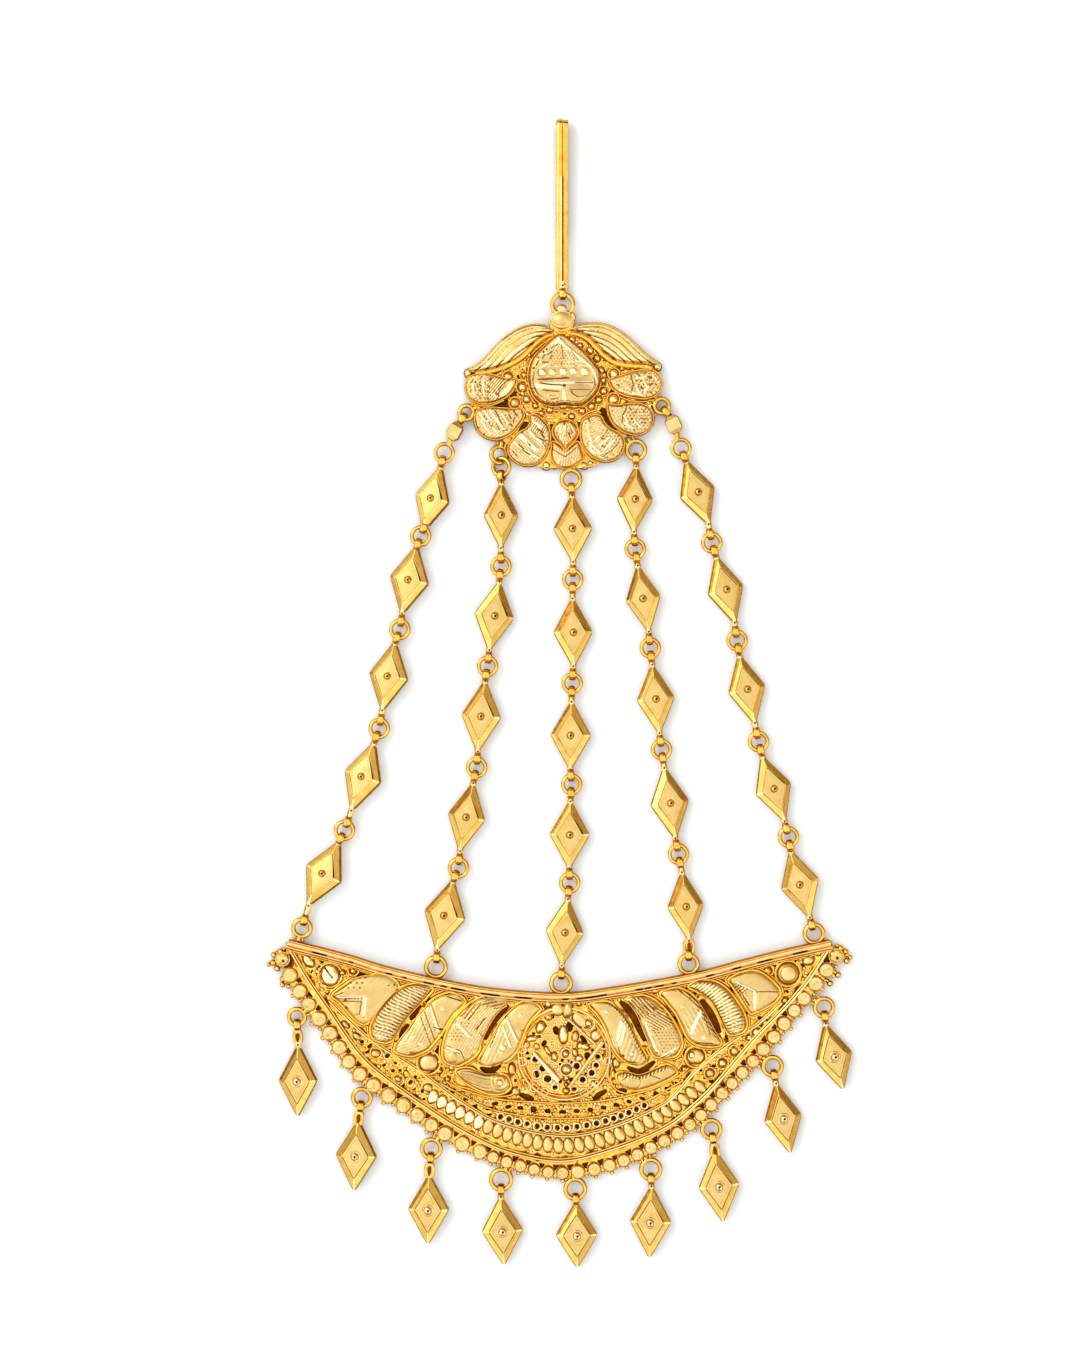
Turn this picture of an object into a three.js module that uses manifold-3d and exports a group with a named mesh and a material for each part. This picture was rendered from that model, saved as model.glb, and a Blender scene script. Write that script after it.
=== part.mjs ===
// Chhapka: a side hair ornament in yellow gold, laid flat. A slim hook carries a pierced top ornament,
// five chains of diamond links run down to a pierced crescent, and nine diamond drops hang from its fringe.
// Millimetres, +Z up. The piece lies on z = 0, with its hook towards +Y and its crescent towards -Y.
import * as THREE from 'three';
import { mergeVertices } from 'three/addons/utils/BufferGeometryUtils.js';
import Module from 'manifold-3d';

const wasm = await Module();
wasm.setup();

// ---------- driving dimensions ----------
const LINKED_TILT = 24;                                // tilt of a bail and a ring that hang in each other, in degrees
const RING = { radius: 1.15, wire: 0.27 };             // jump ring: centreline radius and wire radius
const FOOT = { wide: 1.2, long: 1.3, high: 0.8 };         // solder foot between a bail and what carries it
const BAIL_WIRE = 0.26;                                // wire radius of the soldered bails
const LOOP = { hole: 0.5, outer: 0.88, half: 0.44, inset: 0.05 };  // upright end loop of a link, a short band
const LINK_Z = 0.95;                                   // height of a link's long axis above the table
const DIAMOND = { below: 0.45, edge: 0.38, crown: 0.93, table: 0.64, point: 0.62, boss: 0.42, bossHigh: 0.22 };
const NECK = 0.36;                                     // radius of the neck between a loop and its diamond
const BOX = { half: 1.18, long: 2.5 };                  // faceted box link: half width and length
const HOOK = { wide: 1.6, thick: 0.6, long: 22.8, back: 14.5, high: 1.72, low: 0.36 };
const PLATE = 0.9;                                     // pierced back plates
const RAIL = { wide: 0.78, top: 2.1, outer: 1.9, inner: 1.7 };
const BAND_TOP = 1.25;                                 // floor of the oval band between the two lower rails
const STUD = { radius: 0.94, high: 1.45, cap: 0.78 };
const LEAF = { foot: 0.12, top: 2.6, bevel: 0.75 };
const ROSETTE = { x: 0.39, y: -47.12, radius: 5.95, rim: 1.5, crown: 2.3 };
const GOLD = { color: 0xe3ab3f, roughness: 0.24, metalness: 1.0 };

// ---------- tables ----------
// Each chain from the ornament down. A diamond row has its middle, the turn of its upper end from +Y,
// its roll about its long axis, its width, and its length between necks. Rings lie flat between links.
const CHAINS = [
  { // chain 1
    topBail: { x: -12.35, y: 36.58, across: 2.35 }, endBail: { x: -33.86, y: -30.78, across: 2.75 },
    diamonds: [
      { x: -16.83, y: 25.33, turn: -15.1, roll: -14, wide: 4.70, long: 8.08 },
      { x: -19.83, y: 14.69, turn: -12.4, roll: -11, wide: 5.26, long: 8.41 },
      { x: -22.53, y: 2.11, turn: -10.6, roll: -10, wide: 5.22, long: 8.46 },
      { x: -25.90, y: -11.01, turn: -18.5, roll: -13, wide: 5.10, long: 8.75 },
      { x: -31.01, y: -23.68, turn: -26.2, roll: -13, wide: 5.21, long: 8.68 },
    ],
    rings: [
      { x: -15.25, y: 31.33 },
      { x: -18.33, y: 20.46 },
      { x: -21.06, y: 8.25 },
      { x: -23.75, y: -4.69 },
      { x: -28.29, y: -18.01 },
    ],
  },
  { // chain 2
    topBail: { x: -8.10, y: 31.07, across: 2.68 }, endBail: { x: -16.34, y: -35.88, across: 3.07 },
    diamonds: [
      { x: -7.83, y: 23.14, turn: -0.4, roll: 3, wide: 4.60, long: 8.00 },
      { x: -8.72, y: 10.01, turn: -8.6, roll: 4, wide: 5.22, long: 8.49 },
      { x: -10.42, y: -3.11, turn: -6.0, roll: -3, wide: 5.20, long: 8.69 },
      { x: -12.35, y: -16.28, turn: -11.2, roll: -3, wide: 4.94, long: 8.51 },
      { x: -15.19, y: -29.10, turn: -13.1, roll: -7, wide: 5.53, long: 8.74 },
    ],
    rings: [
      { x: -7.80, y: 29.48 },
      { x: -7.84, y: 16.51 },
      { x: -9.59, y: 3.44 },
      { x: -11.01, y: -9.79 },
      { x: -13.41, y: -22.92 },
    ],
  },
  { // chain 3
    topBail: { x: 1.31, y: 27.84, across: 2.93 }, endBail: { x: 0.01, y: -37.99, across: 3.05 },
    diamonds: [
      { x: 1.54, y: 21.39, turn: 0.9, roll: -3, wide: 5.14, long: 8.13 },
      { x: 1.57, y: 7.85, turn: 0.9, roll: 2, wide: 5.16, long: 8.34 },
      { x: 1.28, y: -5.61, turn: -1.1, roll: -4, wide: 5.31, long: 8.26 },
      { x: 1.14, y: -18.57, turn: -0.9, roll: 0, wide: 5.27, long: 8.20 },
      { x: 0.49, y: -31.31, turn: -5.3, roll: 1, wide: 5.05, long: 8.17 },
    ],
    rings: [
      { x: 1.53, y: 14.78 },
      { x: 1.46, y: 1.24 },
      { x: 1.40, y: -11.99 },
      { x: 1.14, y: -24.86 },
    ],
  },
  { // chain 4
    topBail: { x: 9.80, y: 31.70, across: 2.88 }, endBail: { x: 16.68, y: -35.49, across: 2.88 },
    diamonds: [
      { x: 9.65, y: 25.25, turn: -2.4, roll: 3, wide: 4.77, long: 8.01 },
      { x: 10.74, y: 12.27, turn: 9.8, roll: -4, wide: 4.64, long: 8.22 },
      { x: 12.38, y: -0.84, turn: 6.1, roll: 0, wide: 5.01, long: 8.44 },
      { x: 14.21, y: -14.45, turn: 9.0, roll: 5, wide: 5.10, long: 8.77 },
      { x: 16.29, y: -27.93, turn: 6.0, roll: 2, wide: 4.81, long: 8.44 },
    ],
    rings: [
      { x: 9.71, y: 18.76 },
      { x: 11.67, y: 5.83 },
      { x: 13.14, y: -7.45 },
      { x: 15.36, y: -21.12 },
    ],
  },
  { // chain 5
    topBail: { x: 13.16, y: 37.45, across: 2.42 }, endBail: { x: 33.07, y: -31.50, across: 2.94 },
    diamonds: [
      { x: 17.82, y: 26.13, turn: 20.1, roll: 5, wide: 4.79, long: 8.31 },
      { x: 21.51, y: 13.42, turn: 16.1, roll: 6, wide: 4.84, long: 8.44 },
      { x: 24.29, y: 0.42, turn: 13.1, roll: 3, wide: 4.96, long: 8.54 },
      { x: 27.75, y: -12.57, turn: 19.5, roll: 3, wide: 4.85, long: 8.46 },
      { x: 31.23, y: -25.04, turn: 16.5, roll: -7, wide: 5.15, long: 8.50 },
    ],
    rings: [
      { x: 15.69, y: 31.91 },
      { x: 19.71, y: 19.59 },
      { x: 23.01, y: 6.80 },
      { x: 25.82, y: -6.41 },
      { x: 29.73, y: -18.88 },
    ],
  },
];
// Box links at the top of the first and last chain.
const BOX_LINKS = [
  { chain: 0, x: -13.92, y: 34.12 }, { chain: 4, x: 14.71, y: 35.03 },
];
// Drops under the crescent, left to right, each with the bail that it hangs from.
const DROPS = [
  { x: -34.37, y: -50.73, turn: -0.3, roll: -6, wide: 5.11, long: 8.89, bailX: -34.51, bailY: -42.39, bailAcross: 2.61 },
  { x: -26.77, y: -60.53, turn: -3.3, roll: -9, wide: 5.44, long: 8.68, bailX: -26.03, bailY: -52.95, bailAcross: 2.81 },
  { x: -17.31, y: -67.56, turn: -0.8, roll: -4, wide: 5.38, long: 8.58, bailX: -16.95, bailY: -59.61, bailAcross: 2.93 },
  { x: -7.66, y: -70.34, turn: 2.8, roll: 1, wide: 5.39, long: 8.39, bailX: -7.82, bailY: -63.65, bailAcross: 3.14 },
  { x: 2.05, y: -70.87, turn: 0.8, roll: 1, wide: 5.46, long: 8.08, bailX: 1.87, bailY: -64.89, bailAcross: 3.08 },
  { x: 11.70, y: -69.17, turn: -1.6, roll: -4, wide: 5.39, long: 8.87, bailX: 11.74, bailY: -62.30, bailAcross: 3.01 },
  { x: 20.64, y: -64.47, turn: 6.6, roll: -2, wide: 5.33, long: 8.97, bailX: 19.66, bailY: -57.07, bailAcross: 2.88 },
  { x: 29.02, y: -55.62, turn: 11.6, roll: 3, wide: 5.00, long: 8.87, bailX: 27.65, bailY: -48.84, bailAcross: 2.92 },
  { x: 35.66, y: -47.56, turn: 15.3, roll: 4, wide: 4.96, long: 8.43, bailX: 34.38, bailY: -41.16, bailAcross: 2.88 },
];
// Centreline of the crescent's top rail, left tip to right tip.
const TOP_RAIL = [
  { x: -35.61, y: -32.67 }, { x: -27.87, y: -34.68 }, { x: -23.35, y: -36.09 }, { x: -16.41, y: -37.74 },
  { x: -8.67, y: -39.12 }, { x: 0.13, y: -39.67 }, { x: 6.8, y: -38.94 }, { x: 17.22, y: -37.07 },
  { x: 23.88, y: -35.35 }, { x: 29.22, y: -34.01 }, { x: 35.08, y: -32.73 },
];
// Centreline of the crescent's lower outer rail, left tip to right tip.
const OUTER_RAIL = [
  { x: -35.69, y: -32.88 }, { x: -34.77, y: -34.44 }, { x: -32.81, y: -37.71 }, { x: -30.2, y: -41.5 },
  { x: -26.27, y: -47.12 }, { x: -22.22, y: -50.73 }, { x: -15.74, y: -55.25 }, { x: -10.98, y: -58.03 },
  { x: -6.24, y: -60 }, { x: 0.13, y: -61.02 }, { x: 6.54, y: -59.57 }, { x: 13.2, y: -56.9 },
  { x: 16.55, y: -54.73 }, { x: 19.87, y: -51.57 }, { x: 23.12, y: -47.16 }, { x: 26.1, y: -43.76 },
  { x: 29.5, y: -39.66 }, { x: 32.34, y: -36.26 }, { x: 35.03, y: -33.01 },
];
// Centreline of the crescent's inner rail, above the oval band.
const INNER_RAIL = [
  { x: -30.2, y: -40.2 }, { x: -26.93, y: -43.46 }, { x: -24.31, y: -45.69 }, { x: -19.08, y: -48.95 },
  { x: -13.52, y: -53.03 }, { x: -7.82, y: -56.2 }, { x: 0.13, y: -57.84 }, { x: 6.54, y: -56.75 },
  { x: 13.2, y: -53.82 }, { x: 16.55, y: -51.15 }, { x: 19.58, y: -47.31 }, { x: 23.84, y: -44.47 },
  { x: 28.09, y: -41.07 },
];
// Line of the fringe studs, with the number of studs from the row before.
const STUD_LINE = [
  { x: -36.47, y: -35.1, studs: 0 }, { x: -34.12, y: -39.02, studs: 2 }, { x: -30.2, y: -44.51, studs: 3 },
  { x: -26.27, y: -49.87, studs: 3 }, { x: -20.58, y: -53.9, studs: 3 }, { x: -15.19, y: -57.62, studs: 3 },
  { x: -10.59, y: -60, studs: 2 }, { x: -5.31, y: -61.83, studs: 3 }, { x: 0.2, y: -62.76, studs: 3 },
  { x: 6.34, y: -61.74, studs: 3 }, { x: 11.74, y: -59.49, studs: 3 }, { x: 16.84, y: -56.41, studs: 3 },
  { x: 21.05, y: -52.33, studs: 3 }, { x: 26.43, y: -46.6, studs: 4 }, { x: 31.7, y: -39.93, studs: 4 },
  { x: 36.05, y: -34.48, studs: 3 },
];
// Curved leaves between the rails: spine and half width.
const LEAVES = [
  { // arrow left
    rows: [
      { x: -21.44, y: -38.1, half: 0.26 }, { x: -23.01, y: -38.76, half: 1.44 }, { x: -24.97, y: -39.93, half: 2.22 },
      { x: -26.8, y: -40.72, half: 2.22 }, { x: -28.5, y: -40.98, half: 1.18 }, { x: -29.67, y: -40.2, half: 0.26 },
    ],
  },
  { // ribbed left
    rows: [
      { x: -17.91, y: -38.1, half: 0.92 }, { x: -19.74, y: -39.67, half: 2.03 }, { x: -21.31, y: -41.11, half: 1.9 },
      { x: -22.61, y: -42.81, half: 1.96 }, { x: -23.27, y: -44.51, half: 1.7 }, { x: -23.4, y: -45.82, half: 0.52 },
    ],
  },
  { // paisley left
    rows: [
      { x: -13.99, y: -39.02, half: 1.18 }, { x: -15.69, y: -41.11, half: 2.42 }, { x: -17.39, y: -43.33, half: 2.35 },
      { x: -18.82, y: -45.42, half: 2.29 }, { x: -20, y: -46.86, half: 1.18 }, { x: -20.52, y: -47.52, half: 0.39 },
    ],
  },
  { // hatched left
    rows: [
      { x: -8.37, y: -39.28, half: 1.18 }, { x: -10.33, y: -41.11, half: 2.22 }, { x: -11.9, y: -43.07, half: 2.22 },
      { x: -12.94, y: -45.16, half: 2.29 }, { x: -13.73, y: -46.86, half: 1.7 }, { x: -14.12, y: -48.3, half: 0.52 },
    ],
  },
  { // smooth left
    rows: [
      { x: -3.4, y: -40.2, half: 1.05 }, { x: -5.23, y: -41.76, half: 1.9 }, { x: -6.41, y: -43.59, half: 1.83 },
      { x: -7.45, y: -45.42, half: 2.03 }, { x: -8.63, y: -47.12, half: 1.9 }, { x: -9.93, y: -48.43, half: 0.65 },
    ],
  },
  { // smooth right
    rows: [
      { x: 4.44, y: -40.33, half: 1.05 }, { x: 6.14, y: -42.03, half: 1.76 }, { x: 7.32, y: -44.12, half: 1.9 },
      { x: 8.37, y: -46.08, half: 1.96 }, { x: 9.54, y: -47.52, half: 1.63 }, { x: 10.72, y: -48.56, half: 0.52 },
    ],
  },
  { // hatched right
    rows: [
      { x: 9.67, y: -39.28, half: 1.18 }, { x: 11.63, y: -41.11, half: 2.29 }, { x: 12.94, y: -43.07, half: 2.22 },
      { x: 13.86, y: -45.16, half: 2.16 }, { x: 14.25, y: -46.86, half: 1.63 }, { x: 14.12, y: -48.04, half: 0.52 },
    ],
  },
  { // paisley right
    rows: [
      { x: 14.51, y: -38.37, half: 0.78 }, { x: 16.08, y: -40.59, half: 1.83 }, { x: 17.39, y: -42.55, half: 1.76 },
      { x: 18.56, y: -44.25, half: 1.76 }, { x: 19.74, y: -45.42, half: 1.18 }, { x: 20.78, y: -45.95, half: 0.39 },
    ],
  },
  { // ribbed right
    rows: [
      { x: 18.3, y: -37.19, half: 1.05 }, { x: 19.87, y: -38.76, half: 2.16 }, { x: 21.31, y: -40.59, half: 2.16 },
      { x: 22.35, y: -42.42, half: 1.96 }, { x: 22.88, y: -43.99, half: 1.37 }, { x: 22.75, y: -45.03, half: 0.39 },
    ],
  },
];
// Small leaves that lie under the tall ones.
const LOW_LEAVES = [
  { // left lower leaf
    rows: [
      { x: -14.9, y: -49.35, half: 0.2 }, { x: -13.59, y: -49.48, half: 0.78 }, { x: -11.9, y: -49.61, half: 0.98 },
      { x: -9.67, y: -50.65, half: 1.7 }, { x: -7.97, y: -50.92, half: 1.57 }, { x: -6.54, y: -50.52, half: 0.52 },
    ],
  },
  { // right lower leaf
    rows: [
      { x: 7.58, y: -50.26, half: 0.52 }, { x: 9.02, y: -50.78, half: 1.44 }, { x: 10.59, y: -50.78, half: 1.44 },
      { x: 12.55, y: -49.87, half: 1.18 }, { x: 13.86, y: -49.22, half: 0.78 }, { x: 14.9, y: -48.82, half: 0.26 },
    ],
  },
];
// Outline of the faceted leaf at the right.
const FACET_LEAF = [
  { x: 21.05, y: -37.32 }, { x: 23.01, y: -36.47 }, { x: 24.97, y: -36.27 }, { x: 26.80, y: -36.80 }, { x: 28.10, y: -38.37 },
  { x: 28.37, y: -39.93 }, { x: 26.80, y: -41.50 }, { x: 25.10, y: -42.29 }, { x: 24.31, y: -40.59 }, { x: 23.01, y: -38.76 },
];
// Round domes on the crescent.
const DOMES = [
  { x: -30.13, y: -36.80, radius: 1.75, high: 2.1 }, { x: -27.32, y: -36.41, radius: 0.9, high: 1.6 },
  { x: 29.65, y: -36.76, radius: 1.75, high: 2.1 }, { x: -17.25, y: -48.30, radius: 1.25, high: 2.0 },
  { x: 17.58, y: -47.25, radius: 1.25, high: 2.0 }, { x: 0.26, y: -41.37, radius: 1.5, high: 2.2 },
  { x: -38.18, y: -35.49, radius: 0.34, high: 1.2 }, { x: -37.45, y: -35.69, radius: 0.7, high: 1.3 },
  { x: 38.17, y: -35.03, radius: 0.34, high: 1.2 }, { x: 37.39, y: -34.97, radius: 0.7, high: 1.3 },
];
// Slits pierced right through the crescent: centreline and width.
const SLITS = [
  { wide: 0.98, rows: [{ x: -6.86, y: -40.85 }, { x: -9.02, y: -43.2 }, { x: -9.93, y: -45.42 }] },
  { wide: 1.18, rows: [{ x: 7.71, y: -40.33 }, { x: 9.54, y: -42.29 }, { x: 10.98, y: -45.56 }] },
  { wide: 1.18, rows: [{ x: 18.3, y: -40.07 }, { x: 19.35, y: -41.76 }, { x: 20.78, y: -44.51 }] },
  { wide: 0.92, rows: [{ x: -18.3, y: -40.85 }, { x: -19.22, y: -41.76 }, { x: -19.61, y: -42.81 }] },
  { wide: 0.92, rows: [{ x: -19.87, y: -43.33 }, { x: -20.52, y: -44.25 }, { x: -21.05, y: -45.16 }] },
  { wide: 0.85, rows: [{ x: -10.59, y: -49.02 }, { x: -9.28, y: -49.41 }, { x: -7.84, y: -48.69 }] },
  { wide: 0.92, rows: [{ x: 8.63, y: -48.95 }, { x: 10.33, y: -49.54 }, { x: 12.29, y: -48.17 }] },
  { wide: 0.85, rows: [{ x: -5.49, y: -52.48 }, { x: -4.71, y: -52.75 }, { x: -3.53, y: -53.14 }] },
  { wide: 0.59, rows: [{ x: -1.57, y: -53.4 }, { x: -0.65, y: -53.14 }, { x: 0.13, y: -53.14 }] },
  { wide: 0.78, rows: [{ x: 4.18, y: -53.14 }, { x: 5.1, y: -52.48 }, { x: 6.01, y: -51.96 }] },
  { wide: 0.85, rows: [{ x: 7.19, y: -52.09 }, { x: 7.84, y: -52.09 }, { x: 8.63, y: -52.09 }] },
  { wide: 0.59, rows: [{ x: -26.67, y: -37.19 }, { x: -25.88, y: -36.67 }, { x: -25.1, y: -36.41 }] },
];
// Outlines of the two wings of the top ornament.
const WING_LEFT = [
  { x: -1.18, y: 47.78 }, { x: -3.46, y: 48.3 }, { x: -5.41, y: 47.65 }, { x: -7.32, y: 46.34 },
  { x: -8.89, y: 44.77 }, { x: -10.46, y: 43.2 }, { x: -12.42, y: 42.03 }, { x: -11.9, y: 41.24 },
  { x: -9.75, y: 41.76 }, { x: -7.97, y: 42.16 }, { x: -6.27, y: 42.94 }, { x: -4.84, y: 43.79 },
  { x: -3.53, y: 45.29 }, { x: -1.7, y: 46.86 },
];
const WING_RIGHT = [
  { x: 1.44, y: 47.65 }, { x: 3.7, y: 48.5 }, { x: 5.86, y: 48.3 }, { x: 7.45, y: 47.52 },
  { x: 9.02, y: 46.34 }, { x: 10.33, y: 44.9 }, { x: 11.63, y: 43.66 }, { x: 13.07, y: 42.81 },
  { x: 12.42, y: 42.03 }, { x: 10.33, y: 42.61 }, { x: 7.97, y: 42.68 }, { x: 5.88, y: 43.53 },
  { x: 4.34, y: 44.77 }, { x: 3.01, y: 46.27 }, { x: 1.44, y: 47.12 },
];
// Outline of the leaf-shaped medallion in the middle of the top ornament.
const MEDALLION = [
  { x: -0.2, y: 46.6 }, { x: -2.09, y: 45.1 }, { x: -3.66, y: 43.33 }, { x: -4.12, y: 41.37 },
  { x: -3.79, y: 39.48 }, { x: -2.88, y: 38.17 }, { x: -1.07, y: 37.53 }, { x: 0.44, y: 37.66 },
  { x: 2.39, y: 37.56 }, { x: 3.79, y: 38.37 }, { x: 4.8, y: 39.74 }, { x: 5.05, y: 41.56 },
  { x: 4.47, y: 43.4 }, { x: 3.4, y: 44.51 }, { x: 1.57, y: 45.62 },
];
// Round-ended petals of the top ornament: spine and half width.
const PETALS = [
  { // petal left 1
    rows: [
      { x: -12.22, y: 39.8, half: 0.65 }, { x: -11.37, y: 39.87, half: 1.7 }, { x: -10.07, y: 39.87, half: 2.07 },
      { x: -8.5, y: 39.74, half: 2.03 }, { x: -6.93, y: 40.07, half: 1.5 }, { x: -5.88, y: 40.72, half: 0.52 },
    ],
  },
  { // petal left 2
    rows: [
      { x: -11.24, y: 35.23, half: 0.78 }, { x: -10.33, y: 35.36, half: 1.83 }, { x: -8.89, y: 35.23, half: 2.35 },
      { x: -7.45, y: 35.49, half: 2.29 }, { x: -6.14, y: 36.14, half: 1.44 }, { x: -5.36, y: 36.93, half: 0.52 },
    ],
  },
  { // petal left 3
    rows: [
      { x: -4.84, y: 29.74, half: 0.65 }, { x: -4.77, y: 30.78, half: 1.83 }, { x: -4.58, y: 32.22, half: 2.68 },
      { x: -3.79, y: 33.53, half: 2.61 }, { x: -3.14, y: 34.71, half: 1.9 }, { x: -2.61, y: 35.62, half: 0.65 },
    ],
  },
  { // petal right 1
    rows: [
      { x: 13.07, y: 40.07, half: 0.65 }, { x: 12.29, y: 40.26, half: 1.63 }, { x: 10.98, y: 40.33, half: 1.9 },
      { x: 9.41, y: 40.2, half: 1.83 }, { x: 7.71, y: 40.46, half: 1.44 }, { x: 6.54, y: 41.24, half: 0.52 },
    ],
  },
  { // petal right 2
    rows: [
      { x: 12.03, y: 35.62, half: 0.78 }, { x: 11.24, y: 35.75, half: 1.7 }, { x: 9.8, y: 35.88, half: 2.16 },
      { x: 8.24, y: 36.01, half: 2.03 }, { x: 6.8, y: 36.67, half: 1.37 }, { x: 6.14, y: 37.71, half: 0.52 },
    ],
  },
  { // petal right 3
    rows: [
      { x: 6.01, y: 29.87, half: 0.92 }, { x: 5.88, y: 30.92, half: 2.09 }, { x: 5.75, y: 32.35, half: 2.61 },
      { x: 5.23, y: 33.66, half: 2.61 }, { x: 4.71, y: 34.84, half: 1.96 }, { x: 4.18, y: 35.88, half: 0.65 },
    ],
  },
];
// Slits pierced right through the top ornament.
const ORNAMENT_SLITS = [
  { wide: 0.92, rows: [{ x: -8.76, y: 37.45 }, { x: -7.32, y: 37.84 }, { x: -5.88, y: 38.76 }] },
  { wide: 0.92, rows: [{ x: -5.1, y: 34.58 }, { x: -4.58, y: 34.84 }, { x: -3.92, y: 34.71 }] },
  { wide: 0.52, rows: [{ x: -1.18, y: 35.1 }, { x: -1.05, y: 34.05 }, { x: -0.92, y: 32.88 }] },
  { wide: 0.52, rows: [{ x: 2.35, y: 35.23 }, { x: 2.22, y: 34.18 }, { x: 2.22, y: 32.88 }] },
  { wide: 0.52, rows: [{ x: 6.54, y: 39.41 }, { x: 6.67, y: 39.28 }, { x: 7.06, y: 39.02 }] },
  { wide: 0.98, rows: [{ x: 5.23, y: 36.93 }, { x: 5.62, y: 35.62 }, { x: 6.67, y: 34.44 }] },
];
// Where the ornament's bails are soldered on, chain by chain.
const BAIL_ROOTS = [
  { x: -9.80, y: 37.97 }, { x: -7.58, y: 33.53 }, { x: 1.05, y: 30.39 }, { x: 8.50, y: 33.53 }, { x: 11.37, y: 38.50 },
];
// Strip that ties the lower petals and the fan.
const TIE = [
  { x: -3.27, y: 31.70 }, { x: 5.10, y: 31.96 }, { x: 5.10, y: 30.26 }, { x: 4.05, y: 29.48 }, { x: -2.09, y: 29.22 }, { x: -3.27, y: 29.48 },
];
const ORNAMENT_DOMES = [
  { x: -12.09, y: 41.76, radius: 0.5, high: 1.5 }, { x: 12.55, y: 42.61, radius: 0.5, high: 1.5 },
  { x: -1.96, y: 29.74, radius: 0.6, high: 1.4 }, { x: 3.27, y: 29.80, radius: 0.6, high: 1.4 },
];

// ---------- solids ----------
const solid = (geometry) => {
  const g = geometry.clone();
  for (const name of Object.keys(g.attributes)) if (name !== 'position') g.deleteAttribute(name);
  const m = mergeVertices(g, 1e-4);
  const s = new wasm.Manifold(new wasm.Mesh({
    numProp: 3,
    vertProperties: new Float32Array(m.attributes.position.array),
    triVerts: new Uint32Array(m.index.array),
  }));
  if (s.volume() <= 0) throw new Error('inside out solid');
  return s;
};
const union = (list) => list.reduce((a, b) => a.add(b));
const geometryOf = (s) => {
  const m = s.getMesh();
  const g = new THREE.BufferGeometry();
  g.setAttribute('position', new THREE.BufferAttribute(new Float32Array(m.vertProperties), 3));
  g.setIndex(new THREE.BufferAttribute(new Uint32Array(m.triVerts), 1));
  g.computeVertexNormals();
  return g;
};
const at = (geometry, { x = 0, y = 0, z = 0, turn = 0 }) => {
  geometry.rotateZ(THREE.MathUtils.degToRad(turn));
  geometry.translate(x, y, z);
  return geometry;
};
// A turned form standing on z, from a closed profile of (radius, height) rows.
const turned = (profile, sides) => {
  const g = new THREE.LatheGeometry(profile.map(([r, h]) => new THREE.Vector2(r, h)), sides);
  g.rotateX(Math.PI / 2);
  return g;
};
const dome = (radius, foot, high, sides = 10) => turned(
  [[0, foot], [radius, foot], [radius, foot + (high - foot) * 0.45], [radius * 0.66, foot + (high - foot) * 0.86], [0, high]], sides);
const prism = (points, foot, top, bevel = 0) => {
  const shape = new THREE.Shape(points.map((p) => new THREE.Vector2(p.x, p.y)));
  const options = bevel
    ? { depth: top - foot - 2 * bevel, bevelEnabled: true, bevelThickness: bevel, bevelSize: bevel, bevelOffset: -bevel, bevelSegments: 1, steps: 1 }
    : { depth: top - foot, bevelEnabled: false, steps: 1 };
  const g = new THREE.ExtrudeGeometry(shape, options);
  g.translate(0, 0, foot + bevel);
  return g;
};
const spline = (rows) => new THREE.CatmullRomCurve3(rows.map((p) => new THREE.Vector3(p.x, p.y, 0)), false, 'centripetal');
const sideOf = (curve, t) => {
  const d = curve.getTangent(t);
  return new THREE.Vector3(-d.y, d.x, 0).normalize();
};
// Points along a curve, moved sideways to the left of its heading.
const offsetLine = (curve, distance, count) => Array.from({ length: count + 1 }, (_, i) => {
  const t = i / count;
  return curve.getPoint(t).addScaledVector(sideOf(curve, t), distance);
});
const ribbon = (curve, wide, count) => [...offsetLine(curve, wide / 2, count), ...offsetLine(curve, -wide / 2, count).reverse()];
// Outline of a leaf from its spine and half widths, with its two ends rounded off.
const leafOutline = (rows, count = 7, least = 0.2) => {
  const curve = spline(rows);
  const halves = new THREE.SplineCurve(rows.map((p, i) => new THREE.Vector2(i, p.half)));
  const left = [];
  const right = [];
  for (let i = 0; i <= count; i++) {
    const t = i / count;
    const h = Math.max(least, halves.getPoint(t).y);
    const p = curve.getPoint(t);
    const n = sideOf(curve, t);
    left.push(p.clone().addScaledVector(n, h));
    right.push(p.clone().addScaledVector(n, -h));
  }
  return [...left, ...right.reverse()];
};
const counterClockwise = (points) => (THREE.ShapeUtils.isClockWise(points.map((p) => new THREE.Vector2(p.x, p.y))) ? points.slice().reverse() : points);

// ---------- links ----------
const ringGeometry = (radius, wire, sides = 10) => new THREE.TorusGeometry(radius, wire, 4, sides);
const flatRing = ({ x, y, z = LINK_Z, radius = RING.radius, wire = RING.wire, roll = 0, turn = 0, sides = 10 }) => {
  const g = ringGeometry(radius, wire, sides);
  g.rotateY(THREE.MathUtils.degToRad(roll));
  return at(g, { x, y, z, turn });
};
// An upright band loop: its hole's axis is level and square to the heading.
const loopGeometry = () => {
  const { hole, outer, half } = LOOP;
  const g = new THREE.LatheGeometry([[hole, -half], [outer, -half * 0.6], [outer, half * 0.6], [hole, half], [hole, -half]]
    .map(([r, h]) => new THREE.Vector2(r, h)), 6);
  g.rotateZ(Math.PI / 2);
  return g;
};
const headingOf = (dx, dy) => THREE.MathUtils.radToDeg(Math.atan2(-dx, dy));
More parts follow.
